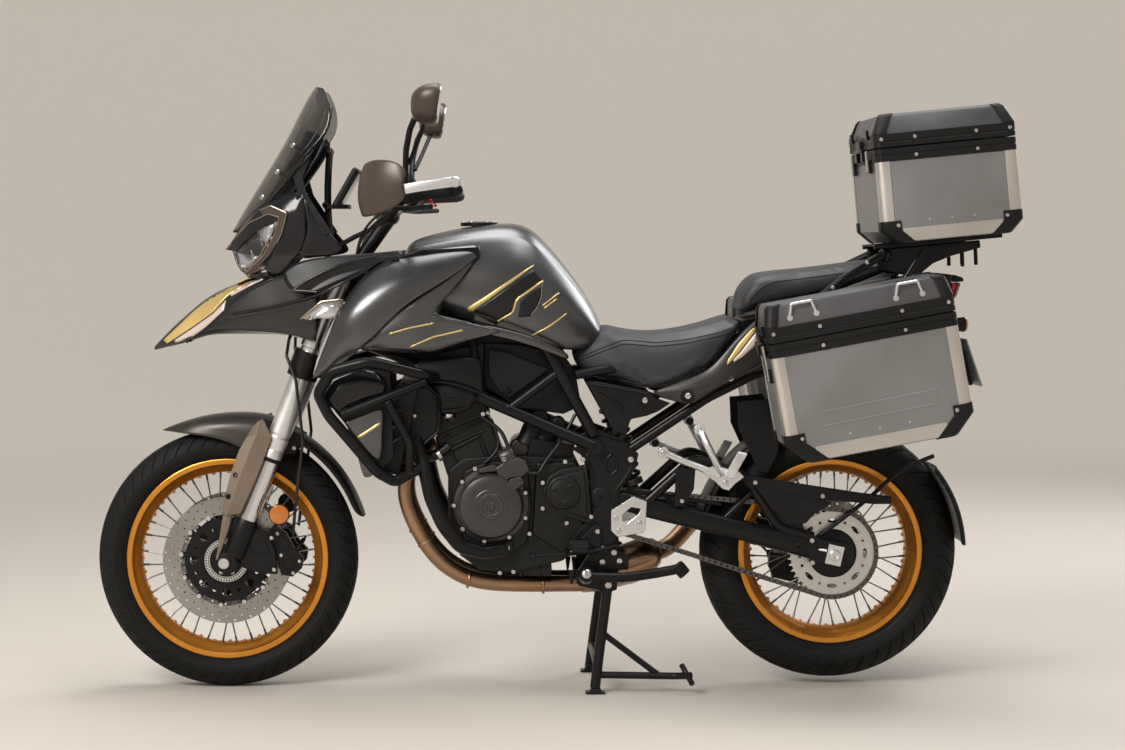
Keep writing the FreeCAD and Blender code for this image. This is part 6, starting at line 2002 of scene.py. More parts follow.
def latch(x, y, side, top, low):
    """A draw latch on a case's face: base plates, lever and hook."""
    dark = [box_mesh(*sorted((x, x + side * 7)), y - 15, y + 15, low, low + 34),
            box_mesh(*sorted((x, x + side * 7)), y - 13, y + 13, top - 24, top)]
    bright = [box_mesh(*sorted((x + side * 7, x + side * 11)), y - 9, y + 9, low + 6, -2),
              rod((x + side * 9, y - 14, low + 28), (x + side * 9, y + 14, low + 28), 4, 12),
              cornered_tube([(x + side * 10, y - 9, low + 40), (x + side * 12, y - 9, top - 10),
                             (x + side * 12, y + 9, top - 10), (x + side * 10, y + 9, low + 40)], 2.4, 4)]
    return dark, bright


def set_case(parts, body, origin, tilt, name, nodes, mirrored=False):
    """Set a case's parts in place as pieces, one for each finish."""
    set_down = tilted_to(origin, -tilt)
    sheet = "lid_sheet" if "lid" in name else "case_aluminium"
    looks = {"sheet": (sheet, dict(thick=2.0, sharp=30, weighted=True)), "field": (sheet, dict(bevel=1.2)),
             "profile": ("case_profile", dict(thick=2.0, sharp=50, weighted=True)),
             "guard": ("case_guard", dict(thick=2.5, sharp=50, weighted=True)),
             "band": ("case_guard", dict(thick=2.0, sharp=25, weighted=True)),
             "loops": ("silver_alloy", dict()), "hinge": ("black_metal", dict(bevel=1.0)),
             "latch_dark": ("black_metal", dict(bevel=1.5)),
             "latch_bright": ("wheel_steel", dict(bevel=1.0)), "rib": ("case_profile", dict())}
    first = True
    for key, items in parts.items():
        if not items:
            continue
        if key in ("bolts", "rivets"):
            mesh = on_spots(bolt_head(5.2, 3.2) if key == "bolts" else bolt_head(3.4, 1.8), items, "wheel_steel")
            finish, extra = "wheel_steel", {}
        else:
            mesh = joined(items)
            finish, extra = looks[key]
        mesh = turned(mesh, MIRROR @ set_down) if mirrored else turned(mesh, set_down)
        slot = {"case_profile": "case_aluminium", "lid_sheet": "case_aluminium", "case_guard": "case_lid"}.get(finish)
        piece(name + "_" + key, mesh, finish, body, slot=slot, replaces=nodes if first else [], **extra)
        first = False


def make_cases():
    tilt = math.radians(10.4)
    for side, which in ((-1, "left"), (1, "right")):
        box, lid = case_parts(450, 290, 46, 91, 10, -475, -250, [(92, -1), (348, -1)])
        dark, bright = latch(-3, -436, -1, 46, -92)
        box["latch_dark"], box["latch_bright"] = [dark[0]], bright[:1]
        lid["latch_dark"] = [dark[1]]
        box["field"] = [plate_mesh([(84, -212), (92, -178), (376, -174), (368, -208)], -476.2, -473),
                        rod((92, -475, -178), (376, -475, -174), 2.2, 8),
                        rod((84, -475, -212), (368, -475, -208), 1.8, 8)]
        set_case(box, "chassis", (1324, 0, 888), tilt, "pannier_" + which, ["pannier_boxes"] if side < 0 else [],
                 side > 0)
        set_case(lid, "pannier_lid_" + which, (1324, 0, 888), tilt, "pannier_lid_" + which + "_part",
                 ["pannier_lid_" + which], side > 0)
    box, lid = case_parts(348, 235, 30, 84, 18, -205, 205, [])
    for s in BOTH:
        dark, bright = latch(-3, s * 120, -1, 50, -58)
        box.setdefault("latch_dark", []).append(dark[0])
        box.setdefault("latch_bright", []).extend(bright[:1])
        lid.setdefault("latch_dark", []).append(dark[1])
    set_case(box, "chassis", TOP_CASE_ORIGIN, TOP_CASE_LEAN, "top_case", ["top_case_box"])
    set_case(lid, "top_case_lid", TOP_CASE_ORIGIN, TOP_CASE_LEAN, "top_case_lid_part", ["top_case_lid"])


def make_rear():
    make_seats()
    make_tail()
    make_cases()

# ------------------------------------------------------- frame and engine

def outline_tube(points, y, radius, closed=True):
    return bent_tube([(x, y, z) for x, z in points], radius, sides=2, order=2, closed=closed)


def make_frame_details():
    plate = [(901, 627), (937, 649), (997, 631), (1038, 603), (1030, 563), (1009, 536), (989, 508), (989, 472),
             (968, 456), (968, 369), (1013, 345), (1013, 309), (937, 309), (921, 345), (929, 408), (917, 480),
             (913, 559),
             (893, 599), (869, 615)]
    plates, rims, bolts, cups = [], [], [], []
    slot_line = [(969, 601), (982, 586), (984, 562), (970, 549), (957, 562), (955, 588)]
    for side in BOTH:
        plates.append(plate_mesh(plate, *span(side, 127, 135)))
        rims.append(outline_tube(slot_line, side * 135, 3.5))
        rims.append(outline_tube([(922, 612), (905, 596), (925, 560), (928, 482), (940, 410)], side * 135, 3, False))
        rims.append(outline_tube([(976, 470), (980, 510), (1006, 545), (1022, 574), (1026, 596)], side * 135, 3,
                                 False))
        cups.append(turned_ring([(side * 134, 4), (side * 139, 5), (side * 139, 22), (side * 137, 26),
                                 (side * 134, 27)],
                                place(943, 0, 492), 36))
        cups.append(turned_ring([(side * 134, 6), (side * 138, 7), (side * 138, 13), (side * 134, 15)],
                                place(1018, 0, 588), 28))
        for x, z in ((976, 354), (1018, 588), (947, 330), (990, 332)):
            bolts.append(((x, side * 136, z), (0, side, 0)))
    piece("frame_plate_faces", plates, "black_metal", "chassis", bevel=3.0, segments=3)
    piece("frame_plate_ribs", rims, "black_metal", "chassis")
    piece("frame_pivot_caps", cups, "black_plastic", "chassis", sharp=30)
    bolted("frame_plate_bolts", 8.5, 6, bolts, "wheel_steel", "chassis")
    welds = []
    for side in BOTH:
        for x, y, z, aim in ((645, 150, 744, (-30, -28, 181)), (615, 124, 916, (-30, -28, 181)),
                             (712, 150, 718, (130, -10, 96)),
                             (838, 141, 808, (130, -10, 96)), (904, 150, 632, (285, 0, -124)),
                             (1016, 118, 610, (210, 0, 140)),
                             (1210, 118, 742, (120, 0, 60)), (1290, 110, 866, (90, -10, 140))):
            run = Vector((aim[0], side * aim[1], aim[2])).normalized()
            middle = Vector((x, side * y, z))
            welds.append(lathe(place(*(middle - run * 3)), place(*(middle + run * 3)),
                               [(0, 12), (0.3, 15.2), (0.7, 15.2), (1, 12)], 24))
    piece("frame_welds", welds, "black_metal", "chassis", sharp=60)


def make_engine():
    case = [(560, 560), (600, 590), (700, 600), (880, 590), (915, 520), (905, 400), (850, 330), (740, 306),
            (640, 308), (590, 345), (560, 430)]
    bodies = [plate_mesh(case, -118, 118),
              plate_mesh([(582, 440), (600, 560), (660, 585), (760, 580), (770, 470), (760, 380), (690, 330),
                          (620, 345)], -134, -116),
              plate_mesh([(770, 400), (780, 580), (880, 584), (908, 520), (900, 410), (850, 350)], -130, -116),
              plate_mesh([(582, 440), (600, 560), (660, 585), (880, 580), (905, 500), (880, 380), (700, 330),
                          (620, 345)], 116, 134)]
    piece("engine_cases", bodies, "engine_black", "chassis", bevel=7, segments=3, replaces=["engine"])
    piece("engine_cylinder", [plate_mesh([(520, 668), (652, 720), (705, 590), (600, 535), (560, 540)], -108, 108),
                              plate_mesh([(500, 692), (648, 752), (668, 700), (518, 640)], -114, 114)],
          "engine_black", "chassis", bevel=8, segments=3)
    fins = []
    for x, z, end_x, end_z in ((548, 640, 648, 682), (555, 619, 654, 661)):
        for side in BOTH:
            fins.append(rod((x, side * 110, z), (end_x, side * 110, end_z), 3.2, 8))
    fins.append(pair(outline_tube([(566, 610), (640, 648), (664, 582), (598, 545)], -111, 3.5)))
    fins.append(pair(plate_mesh([(574, 604), (636, 636), (655, 585), (602, 556)], -114, -106)))
    piece("engine_cylinder_ribs", fins, "engine_black", "chassis", bevel=1.2)
    sump = [(648, 322), (743, 345), (818, 358), (822, 292), (770, 290), (743, 296), (659, 304)]
    parts = [plate_mesh(sump, -104, 104)]
    for x in (690, 743, 790):
        parts.append(plate_mesh([(x - 3, 350), (x + 3, 350), (x + 4, 290), (x - 4, 290)], -108, 108))
    piece("engine_sump", parts, "engine_black", "chassis", bevel=5, segments=2)
    covers, flanges, rounds = [], [], []
    for side, x, z, grow in ((-1, 667, 474, 1.0), (1, 690, 480, 1.12)):
        a, b = place(x, side * 132, z), place(x, side * 184, z)
        profile = [(0, 93 * grow), (0.16, 93 * grow), (0.2, 84 * grow), (0.62, 81 * grow), (0.78, 76 * grow),
                   (0.86, 66 * grow), (0.88, 44),
                   (0.9, 42), (0.9, 33), (0.93, 31), (0.93, 22), (0.9, 20), (0.9, 11), (0.94, 9), (0.94, 0.5)]
        covers.append(lathe(a, b, profile, 72))
        for i in range(9):
            turn = math.radians(20 + 40 * i)
            cx, cz = x + 92 * grow * math.cos(turn), z + 92 * grow * math.sin(turn)
            flanges.append(lathe(place(cx, side * 132, cz), place(cx, side * 142, cz), [(0, 10), (0.9, 9), (1, 8)],
                                 18))
            rounds.append(((cx, side * 142, cz), (0, side, 0)))
    piece("alternator_cover", covers, "cover_grey", "chassis", slot="engine_black", sharp=24)
    piece("cover_flanges", flanges, "engine_black", "chassis", sharp=30)
    second = [(813, 547), (845, 566), (908, 576), (914, 503), (920, 424), (845, 452), (807, 483), (797, 515)]
    piece("gear_cover",
          [plate_mesh(second, -152, -128),
           plate_mesh([(828, 540), (848, 552), (900, 562), (906, 503), (909, 440), (850, 462), (820, 488),
                       (812, 515)], -158, -150)],
          "engine_black", "chassis", bevel=4, segments=3)
    caps = [lathe(place(848, -156, 508), place(848, -170, 508),
                  [(0, 43), (0.3, 42), (0.55, 41), (0.7, 38), (0.72, 33), (0.9, 32), (1, 29)], 48)]
    caps.append(lathe(place(840, 132, 500), place(840, 162, 500),
                      [(0, 52), (0.7, 50), (0.9, 46), (0.92, 20), (1, 18)], 48))
    for turn in (40, 160, 280):
        cx, cz = 848 + 24 * math.cos(math.radians(turn)), 508 + 24 * math.sin(math.radians(turn))
        caps.append(lathe(place(cx, -168, cz), place(cx, -171.5, cz), [(0, 5), (0.7, 5), (1, 3.5)], 16))
    piece("gear_cover_caps", caps, "engine_black", "chassis", sharp=28)
    lump = [(678, 569), (700, 585), (732, 597), (755, 588), (765, 563), (742, 546), (716, 545), (696, 530)]
    small = [(714, 543), (742, 550), (752, 534), (738, 522), (722, 510), (706, 522)]
    facets = [plate_mesh(lump, -168, -128), plate_mesh(small, -176, -130),
              plate_mesh([(632, 566), (672, 578), (690, 572), (680, 560), (640, 556)], -160, -130),
              lathe(place(728, -150, 606), place(690, -150, 590), [(0, 18), (0.1, 21), (0.9, 21), (1, 18)], 28),
              lathe(place(742, -70, 612), place(742, 90, 612), [(0, 22), (0.06, 26), (0.94, 26), (1, 22)], 32)]
    piece("starter_cover", facets, "cover_grey", "chassis", slot="engine_black", bevel=4, segments=2)
    for x, z, y in ((628, 568, 160), (700, 592, 168), (853, 584, 150), (797, 532, 153), (797, 466, 140),
                    (857, 430, 150), (918, 446, 153), (898, 590, 150),
                    (648, 704, 150), (764, 402, 136), (716, 345, 112), (746, 318, 110), (724, 303, 110),
                    (690, 300, 108), (800, 345, 108)):
        rounds.append(((x, -y, z), (0, -1, 0)))
    for x, z, y in ((740, 590, 136), (900, 470, 136), (880, 400, 136), (640, 560, 136), (560, 690, 116),
                    (640, 715, 116)):
        rounds.append(((x, y, z), (0, 1, 0)))
    for side in BOTH:
        for x, z in ((512, 680), (560, 702), (612, 724), (652, 735), (528, 650), (660, 704)):
            rounds.append(((x, side * 114, z), (0, side, 0)))
    bolted("engine_bolts", 6.2, 4.5, rounds, "wheel_steel", "chassis")
    hoses = [bent_tube([(455, -90, 596), (500, -104, 590), (540, -112, 600), (562, -110, 622)], 13, 4),
             bent_tube([(472, -118, 760), (520, -128, 742), (556, -124, 712), (570, -112, 690)], 13, 4),
             bent_tube([(640, -128, 700), (688, -136, 668), (704, -142, 640), (716, -148, 606)], 5, 3),
             bent_tube([(668, -126, 690), (690, -130, 640), (680, -134, 600), (650, -140, 580)], 4, 3),
             bent_tube([(756, -150, 560), (786, -150, 548), (800, -140, 580), (850, -120, 640), (880, -110, 700)],
                       4.5, 3),
             bent_tube([(560, 100, 690), (500, 120, 700), (470, 116, 740)], 13, 4)]
    piece("engine_hoses", hoses, "hose_rubber", "chassis")
    clamps = []
    for x, y, z, dx, dy, dz in ((540, -111, 600, 20, -3, 12), (470, -96, 593, 40, -10, -2),
                                (560, -117, 702, 10, 8, -20), (480, -119, 757, 40, -8, -14)):
        run = Vector((dx, dy, dz)).normalized() * 5
        clamps.append(rod((x - run.x, y - run.y, z - run.z), (x + run.x, y + run.y, z + run.z), 15.5, 20, 1))
    piece("hose_clamps", clamps, "wheel_steel", "chassis", sharp=30)
    intake = [lathe(place(790 + 40 * i, -60, 690), place(760 + 40 * i, -60, 620),
                    [(0, 34), (0.2, 34), (0.25, 30), (0.8, 30), (1, 33)], 24) for i in range(2)]
    box = ring_mesh([[(650, -104, 770), (650, 104, 770), (650, 104, 880), (650, -104, 880)],
                     [(740, -108, 716), (740, 108, 716), (740, 108, 876), (740, -108, 876)],
                     [(850, -104, 700), (850, 104, 700), (850, 104, 850), (850, -104, 850)],
                     [(896, -96, 720), (896, 96, 720), (880, 96, 810), (880, -96, 810)]])
    piece("air_box",
          [box] + intake + [lathe(place(792, -66, 690), place(792, -112, 690), [(0, 22), (0.9, 22), (1, 18)], 24),
                                       lathe(place(838, -66, 676), place(838, -112, 676),
                                             [(0, 18), (0.9, 18), (1, 15)], 24),
                                       plate_mesh([(770, 640), (880, 620), (870, 580), (760, 596)], -96, 96)],
          "black_plastic", "chassis", bevel=6, segments=2)


def make_radiator():
    lean = tilted_to((392, 0, 560), math.radians(12))
    core = turned(box_mesh(8, 40, -150, 150, 12, 218), lean)
    piece("radiator_core", core, "black_metal", "chassis", replaces=["radiator"])
    frame_parts = [turned(box_mesh(0, 50, *span(s, 150, 170), 2, 228), lean) for s in BOTH]
    frame_parts += [turned(box_mesh(2, 48, -152, 152, z0, z1), lean) for z0, z1 in ((0, 12), (218, 230))]
    piece("radiator_tanks", frame_parts, "black_plastic", "chassis", bevel=5, segments=3)
    slats = [turned(box_mesh(2, 9, -148, 148, 16 + i * 7.2, 18.2 + i * 7.2), lean) for i in range(28)]
    slats += [turned(box_mesh(3, 8, -148 + i * 19.6, -146.8 + i * 19.6, 14, 216), lean) for i in range(16)]
    piece("radiator_slats", slats, "dark_alloy", "chassis", slot="black_metal")
    shroud = [(446, 767), (509, 776), (540, 750), (537, 662), (488, 618), (464, 628)]
    piece("fan_shrouds", [plate_mesh(shroud, -152, -120), plate_mesh(shroud, 120, 152)], "black_plastic", "chassis",
          bevel=8, segments=3)
    edge = pair(outline_tube(shroud, -152, 4))
    marks = on_spots(bolt_head(5, 3),
                     [((x, s * 153, z), (0, s, 0)) for s in BOTH for x, z in ((473, 755), (476, 735), (478, 700))],
                     "wheel_steel")
    piece("fan_shroud_rims", edge, "black_plastic", "chassis")
    piece("fan_shroud_bolts", marks, "wheel_steel", "chassis")
    cheek = [[(462, -176, 832), (480, -184, 808), (500, -182, 790), (516, -172, 782)],
             [(526, -178, 845), (540, -188, 818), (552, -184, 796), (562, -172, 786)],
             [(617, -166, 850), (622, -178, 816), (630, -176, 784), (638, -164, 758)],
             [(646, -158, 842), (648, -166, 812), (648, -166, 780), (646, -158, 750)]]
    lower = [[(516, -172, 782), (540, -180, 760), (544, -180, 735), (545, -170, 702)],
             [(562, -172, 787), (580, -182, 762), (588, -180, 736), (590, -168, 706)],
             [(638, -164, 758), (634, -174, 745), (622, -174, 730), (612, -164, 713)]]
    piece("engine_cheek_panels", two_sides(folded(cheek)) + two_sides(folded(lower)), "black_plastic", "chassis",
          levels=2, thick=3)
    ribs = [pair(bent_tube([(520, -180, 786), (566, -183, 790), (640, -172, 757)], 3)),
            pair(bent_tube([(548, -182, 742), (580, -184, 744), (604, -182, 738)], 2.5)),
            pair(bent_tube([(546, -178, 712), (580, -180, 716), (606, -172, 722)], 2.5))]
    piece("engine_cheek_ribs", ribs, "black_plastic", "chassis")


def make_ducts():
    upper = [[(250, -218, 750), (262, -226, 738), (296, -232, 708)],
             [(276, -216, 800), (300, -228, 764), (316, -230, 730)],
             [(330, -212, 822), (350, -226, 786), (366, -228, 750)],
             [(400, -206, 812), (408, -222, 784), (412, -226, 760)]]
    piece("duct_upper_facets", two_sides(folded(upper, (1,), 0.9, (1, 2))), "gloss_black", "chassis",
          slot="black_plastic", levels=2, thick=2.5)
    lower = [[(304, -232, 690), (312, -234, 684), (344, -232, 640), (392, -222, 586)],
             [(350, -232, 704), (354, -234, 694), (366, -232, 652), (396, -222, 606)],
             [(405, -228, 728), (404, -230, 716), (400, -228, 668), (398, -220, 612)]]
    panel = piece("duct_lower_panels", two_sides(folded(lower)), "graphite_paint", "chassis", levels=2, thick=2.5)
    line = stroke([panel], [(340, 652), (366, 668), (396, 688)], 6.5, (1, 1), 0.8)
    piece("duct_gold_lines", line, "gold_paint", "chassis", slot="bronze_paint", thick=0.5)
    back = [(262, 742), (276, 800), (330, 826), (420, 812), (428, 600), (380, 556), (344, 600), (312, 680)]
    piece("duct_walls", pair(leaning_plate([(x, -206, z) for x, z in back], 5)), "black_plastic", "chassis", bevel=2)
    nose = [[(330, -196, 640), (336, -202, 612), (350, -204, 560), (356, -200, 548)],
            [(352, -206, 622), (358, -210, 596), (372, -208, 566), (380, -202, 556)]]
    piece("duct_chins", two_sides(folded(nose)), "graphite_paint", "chassis", levels=2, thick=2.5)
    slats = [pair(rod((420 + 2 * i, -204, 740 - 34 * i), (446, -200, 752 - 34 * i), 3.5, 8)) for i in range(4)]
    piece("duct_slats", slats, "black_plastic", "chassis")


def make_exhaust():
    pipes, bands, flanges = [], [], []
    for y in (-62, 62):
        route = [(520, y, 604), (462, y, 570), (450, y, 508), (460, y, 455), (490, y, 392), (520, y * 0.98, 346),
                 (560, y * 0.95, 306), (620, y * 0.9, 274), (720, y * 0.85, 262), (905, y * 0.8, 264)]
        pipes.append(bent_tube(route, 21, 5))
        for x, z, dx, dz in ((482, 408, 30, -66), (503, 372, 30, -52), (612, 277, 60, -14), (800, 262, 60, 0)):
            run = Vector((dx, 0, dz)).normalized() * 4
            bands.append(lathe(place(x - run.x, y * 0.95, z - run.z), place(x + run.x, y * 0.95, z + run.z),
                               [(0, 21), (0.2, 23.4), (0.8, 23.4), (1, 21)], 32))
        flanges.append(lathe(place(532, y, 612), place(518, y, 603), [(0, 34), (0.7, 34), (0.75, 26), (1, 25)], 28))
    piece("exhaust_headers", pipes, "bronze_steel", "chassis", replaces=["exhaust"])
    piece("exhaust_weld_bands", bands, "bronze_steel", "chassis", sharp=60)
    piece("exhaust_flanges", flanges, "bronze_steel", "chassis", sharp=30)
    box = ring_mesh([[(x, y * math.cos(t),
                       z + h * math.sin(t)) for t in [FULL_TURN * i / 20 for i in range(20)]] for x, y, z, h in
                     ((886, 56, 264, 22), (905, 78, 268, 34), (960, 86, 290, 50), (1040, 86, 314, 55),
                      (1084, 80, 328, 44), (1102, 60, 334, 26))])
    piece("exhaust_collector", box, "bronze_steel", "chassis", sharp=60)
    link = bent_tube([(1040, 60, 320), (1090, 92, 322), (1140, 126, 336), (1200, 176, 398), (1262, 182, 450)], 24, 5)
    piece("exhaust_link", link, "bronze_steel", "chassis")
    can = lathe(place(1250, 182, 442), place(1640, 192, 640),
                [(0, 26), (0.02, 40), (0.06, 50), (0.1, 52), (0.11, 53.5), (0.13, 53.5), (0.14, 52), (0.86, 52),
                 (0.87, 53.5), (0.89, 53.5), (0.9, 52), (0.95, 46), (1.0, 40), (1.0, 30), (0.9, 28)], 48)
    piece("exhaust_can", can, "dark_alloy", "chassis", slot="bronze_steel", sharp=24)
    tip = lathe(place(1630, 192, 635), place(1652, 193, 646), [(0, 27), (0.6, 27), (1, 29), (1, 24), (0.2, 23)], 36)
    piece("exhaust_tip", tip, "silver_alloy", "chassis", sharp=30)
    shield = [[(1300, 236, 500), (1308, 240, 476), (1316, 232, 450)],
              [(1440, 240, 570), (1448, 244, 546), (1456, 236, 520)],
              [(1580, 243, 640), (1588, 247, 616), (1596, 239, 592)]]
    piece("exhaust_shield", folded(shield), "black_plastic", "chassis", levels=2, thick=3)


def make_crash_bars():
    bars = []
    loop = [(548, -142, 792), (505, -228, 806), (372, -268, 842), (278, -260, 818), (244, -245, 762),
            (270, -242, 708), (388, -224, 566), (430, -205, 540), (505, -172, 578)]
    bars.append(pair(cornered_tube(loop, 13.5, 42, 4)))
    bars.append(pair(rod((302, -246, 709), (508, -226, 790), 10, 20)))
    bars.append(pair(cornered_tube([(412, -235, 745), (468, -212, 636), (464, -190, 556)], 11, 40, 4)))
    down = [(478, -160, 640), (503, -172, 572), (520, -186, 496), (550, -190, 430), (592, -180, 376),
            (650, -160, 358), (706, -141, 366)]
    bars.append(pair(cornered_tube(down, 18.5, 60, 5)))
    piece("crash_bar_tubes", bars, "black_metal", "chassis", sharp=60, replaces=["crash_bars"])
    welds = []
    for x, y, z, dx, dy, dz, r in ((310, -245, 713, 20, 2, 8, 12.5), (500, -227, 787, 20, 2, 8, 12.5),
                                   (414, -234, 740, 5, 2, -10, 13), (465, -192, 562, -1, 4, -10, 13.5),
                                   (500, -174, 578, 10, 5, 5, 17)):
        for side in BOTH:
            run = Vector((dx, dy * side * -1, dz)).normalized() * 3.5
            welds.append(lathe(place(x - run.x, -y * side - run.y, z - run.z),
                               place(x + run.x, -y * side + run.y, z + run.z),
                               [(0, r - 3), (0.3, r), (0.7, r), (1, r - 3)], 20))
    piece("crash_bar_welds", welds, "black_metal", "chassis", sharp=60)
    lugs = [pair(plate_mesh([(694, 352), (722, 358), (720, 384), (700, 384)], -150, -138)),
            pair(rod((548, -128, 796), (548, -160, 792), 17, 24, 2))]
    piece("crash_bar_lugs", lugs, "black_metal", "chassis", bevel=2)
    spots = [((708, s * 151, 368), (0, s, 0)) for s in BOTH] + [((548, s * 161, 792), (0, s, 0)) for s in BOTH]
    bolted("crash_bar_bolts", 8, 5, spots, "wheel_steel", "chassis")


def make_machine():
    make_frame_details()
    make_engine()
    make_radiator()
    make_ducts()
    make_exhaust()
    make_crash_bars()

# -------------------------------------------------- swingarm and stands

AXLES_APART = 1533
SWINGARM_PIVOT = (941, 0, 491)
BEAM_SIDES = 16


def rear_axle_at(y):
    """A model point on the rear axle line."""
    return place(AXLES_APART, y, REAR_AXLE.z / MM)


def beam_ring(x, y, z, lean, high, deep):
    """One section of a beam with soft corners."""
    ring = []
    for i in range(BEAM_SIDES):
        turn = FULL_TURN * i / BEAM_SIDES
        c, s = math.cos(turn), math.sin(turn)
        across = deep * math.copysign(abs(c) ** 0.75, c)
        up = high * math.copysign(abs(s) ** 0.75, s)
        ring.append((x - up * math.sin(lean), y + across, z + up * math.cos(lean)))
    return ring


def make_swingarm():
    beams, braces, fittings, blocks, bolts = [], [], [], [], []
    lean = math.radians(-13.5)
    for side in BOTH:
        y = side * 118
        rings = [beam_ring(930, y, 491, 0, 22, 14), beam_ring(1000, y, 482, lean, 24, 15),
                 beam_ring(1060, y, 465, lean, 25, 15),
                 beam_ring(1330, y, 399, lean, 26, 15), beam_ring(1440, y, 371, lean, 28, 15),
                 beam_ring(1492, y, 357, lean, 29, 15)]
        beams.append(ring_mesh(rings))
        beams.append(plate_mesh([(1470, 390), (1560, 374), (1580, 366), (1582, 324), (1560, 320), (1470, 324)],
                                *span(side, 105, 131)))
        braces.append(cornered_tube([(1060, y, 480), (1180, y, 588), (1312, y, 540), (1392, y, 414), (1480, y, 388)],
                                    13.5, 46, 4))
        braces.append(rod((1322, y, 500), (1244, y, 425), 7.5, 14))
        braces.append(plate_mesh([(1352, 470), (1396, 452), (1452, 430), (1460, 396), (1392, 404)], y - 3, y + 3))
        fittings.append(turned_ring([(y - 17, 10.2), (y - 17, 27), (y + 17, 27), (y + 17, 10.2)],
                                    place(*SWINGARM_PIVOT), 32))
        root, out = side * 128, side * 140
        boss = [(root, 4.1), (root, 12), (out - side * 0.6, 12), (out, 11.4), (out, 4.1)]
        fittings.append(turned_ring(boss, place(1440, 0, 366), 28))
        blocks.append(turned(box_mesh(-20, 20, *span(side, 131, 138), -25, 25),
                             tilted_to((AXLES_APART, 0, REAR_AXLE.z / MM), math.radians(13))))
        blocks.append(lathe(rear_axle_at(side * 137),
                            rear_axle_at(side * 150),
                            [(0, 15.5), (0.3, 15.5), (0.35, 13), (0.95, 13), (1, 12), (1, 7), (0.6, 6.5)],
                            6 if side > 0 else 24))
        blocks.append(rod((1478, side * 122, 360), (1514, side * 134, 355), 4, 12, 1))
        bolts += [((1477, side * 131.5, 325), (0, side, 0)), ((1435, side * 121.5, 432), (0, side, 0)),
                  ((1476, side * 131.5, 381), (0, side, 0))]
    beams.append(box_mesh(1050, 1110, -104, 104, 450, 485))
    fittings.append(turned_ring([(-78, 10.2), (-78, 27), (104, 27), (104, 10.2)], place(*SWINGARM_PIVOT), 36))
    fittings.append(turned_ring([(-104, 10.2), (-104, 14), (-78, 14), (-78, 10.2)], place(*SWINGARM_PIVOT), 28))
    fittings.append(lathe(rear_axle_at(-131), rear_axle_at(131),
                          [(0, 12), (1, 12)], 24))
    piece("swingarm_beams", beams, "black_metal", "chassis", bevel=2.5, segments=3, sharp=50, replaces=["swingarm"])
    piece("swingarm_braces", braces, "black_metal", "chassis", sharp=50)
    piece("swingarm_bosses", fittings, "black_metal", "chassis", sharp=40)
    piece("chain_adjusters", blocks, "silver_alloy", "chassis", bevel=1.6, slot="wheel_steel")
    bolted("swingarm_bolts", 7, 5, bolts, "wheel_steel", "chassis")
    slide = [(1010, 512), (1130, 494), (1250, 474), (1250, 466), (1130, 484), (1010, 500)]
    piece("chain_slider", plate_mesh(slide, -104, -80), "black_plastic", "chassis", bevel=1.5)


def make_hugger():
    guard = [(1130, 566), (1180, 566), (1176, 512), (1150, 470), (1128, 470)]
    leaf = [(1300, 548), (1324, 541), (1415, 531), (1596, 503), (1674, 494), (1674, 474), (1628, 474), (1563, 480),
            (1500, 484), (1410, 500), (1341, 520), (1310, 520)]
    rim = [(1306, 545), (1415, 528), (1596, 500), (1668, 490)]
    web = [(1331, 530), (1480, 492), (1524, 478), (1507, 466), (1477, 447), (1459, 426), (1412, 426), (1368, 470),
           (1331, 518)]
    skirt = [(1290, 730), (1376, 737), (1400, 690), (1392, 600), (1366, 548), (1344, 552), (1321, 602), (1293, 663)]
    parts = [plate_mesh(leaf, -146, -140), plate_mesh(web, -144, -141), plate_mesh(guard, -146, -138),
             pair(plate_mesh(skirt, -103, -98))]
    piece("chain_guard", parts, "black_plastic", "chassis", bevel=2.0, segments=3, replaces=["rear_hugger"])
    piece("chain_guard_rim",
          [bent_tube([(x, -144, z) for x, z in rim], 3, 2),
           bent_tube([(1330, -143, 528), (1420, -143, 510), (1560, -143, 488)], 2.5, 2)],
          "black_plastic", "chassis")
    z0 = REAR_AXLE.z / MM
    rows = []
    for i in range(15):
        turn = math.radians(-75 + 60 * i / 14)
        rows.append([(AXLES_APART + r * math.sin(turn), y, z0 + r * math.cos(turn)) for y, r in
                     ((-91, 331), (-91, 340), (-84, 347), (-40, 347.5), (0, 347.5), (40, 347.5), (84, 347), (91, 340),
                      (91, 331))])
    tail = []
    for i in range(11):
        turn = math.radians(51 + 36 * i / 10)
        tail.append([(AXLES_APART + r * math.sin(turn), y, z0 + r * math.cos(turn)) for y, r in
                     ((-90, 331), (-90, 339), (-82, 346), (-40, 347), (0, 347), (40, 347), (82, 346), (90, 339),
                      (90, 331))])
    piece("hugger_shells", [grid_mesh(rows), grid_mesh(tail)], "black_plastic", "chassis", levels=1, thick=3)
    stays = [bent_tube([(1500, -112, 392), (1620, -112, 480), (1700, -112, 560), (1790, -90, 590)], 5.5, 4),
             pair(rod((1300, 112, 536), (1262, 92, 522), 7, 14))]
    piece("hugger_stays", stays, "black_metal", "chassis")
    spots = [((1146, -147, 484), (0, -1, 0)), ((1330, -147, 530), (0, -1, 0)), ((1500, -147, 495), (0, -1, 0))]
    bolted("hugger_bolts", 6, 4, spots, "wheel_steel", "chassis")


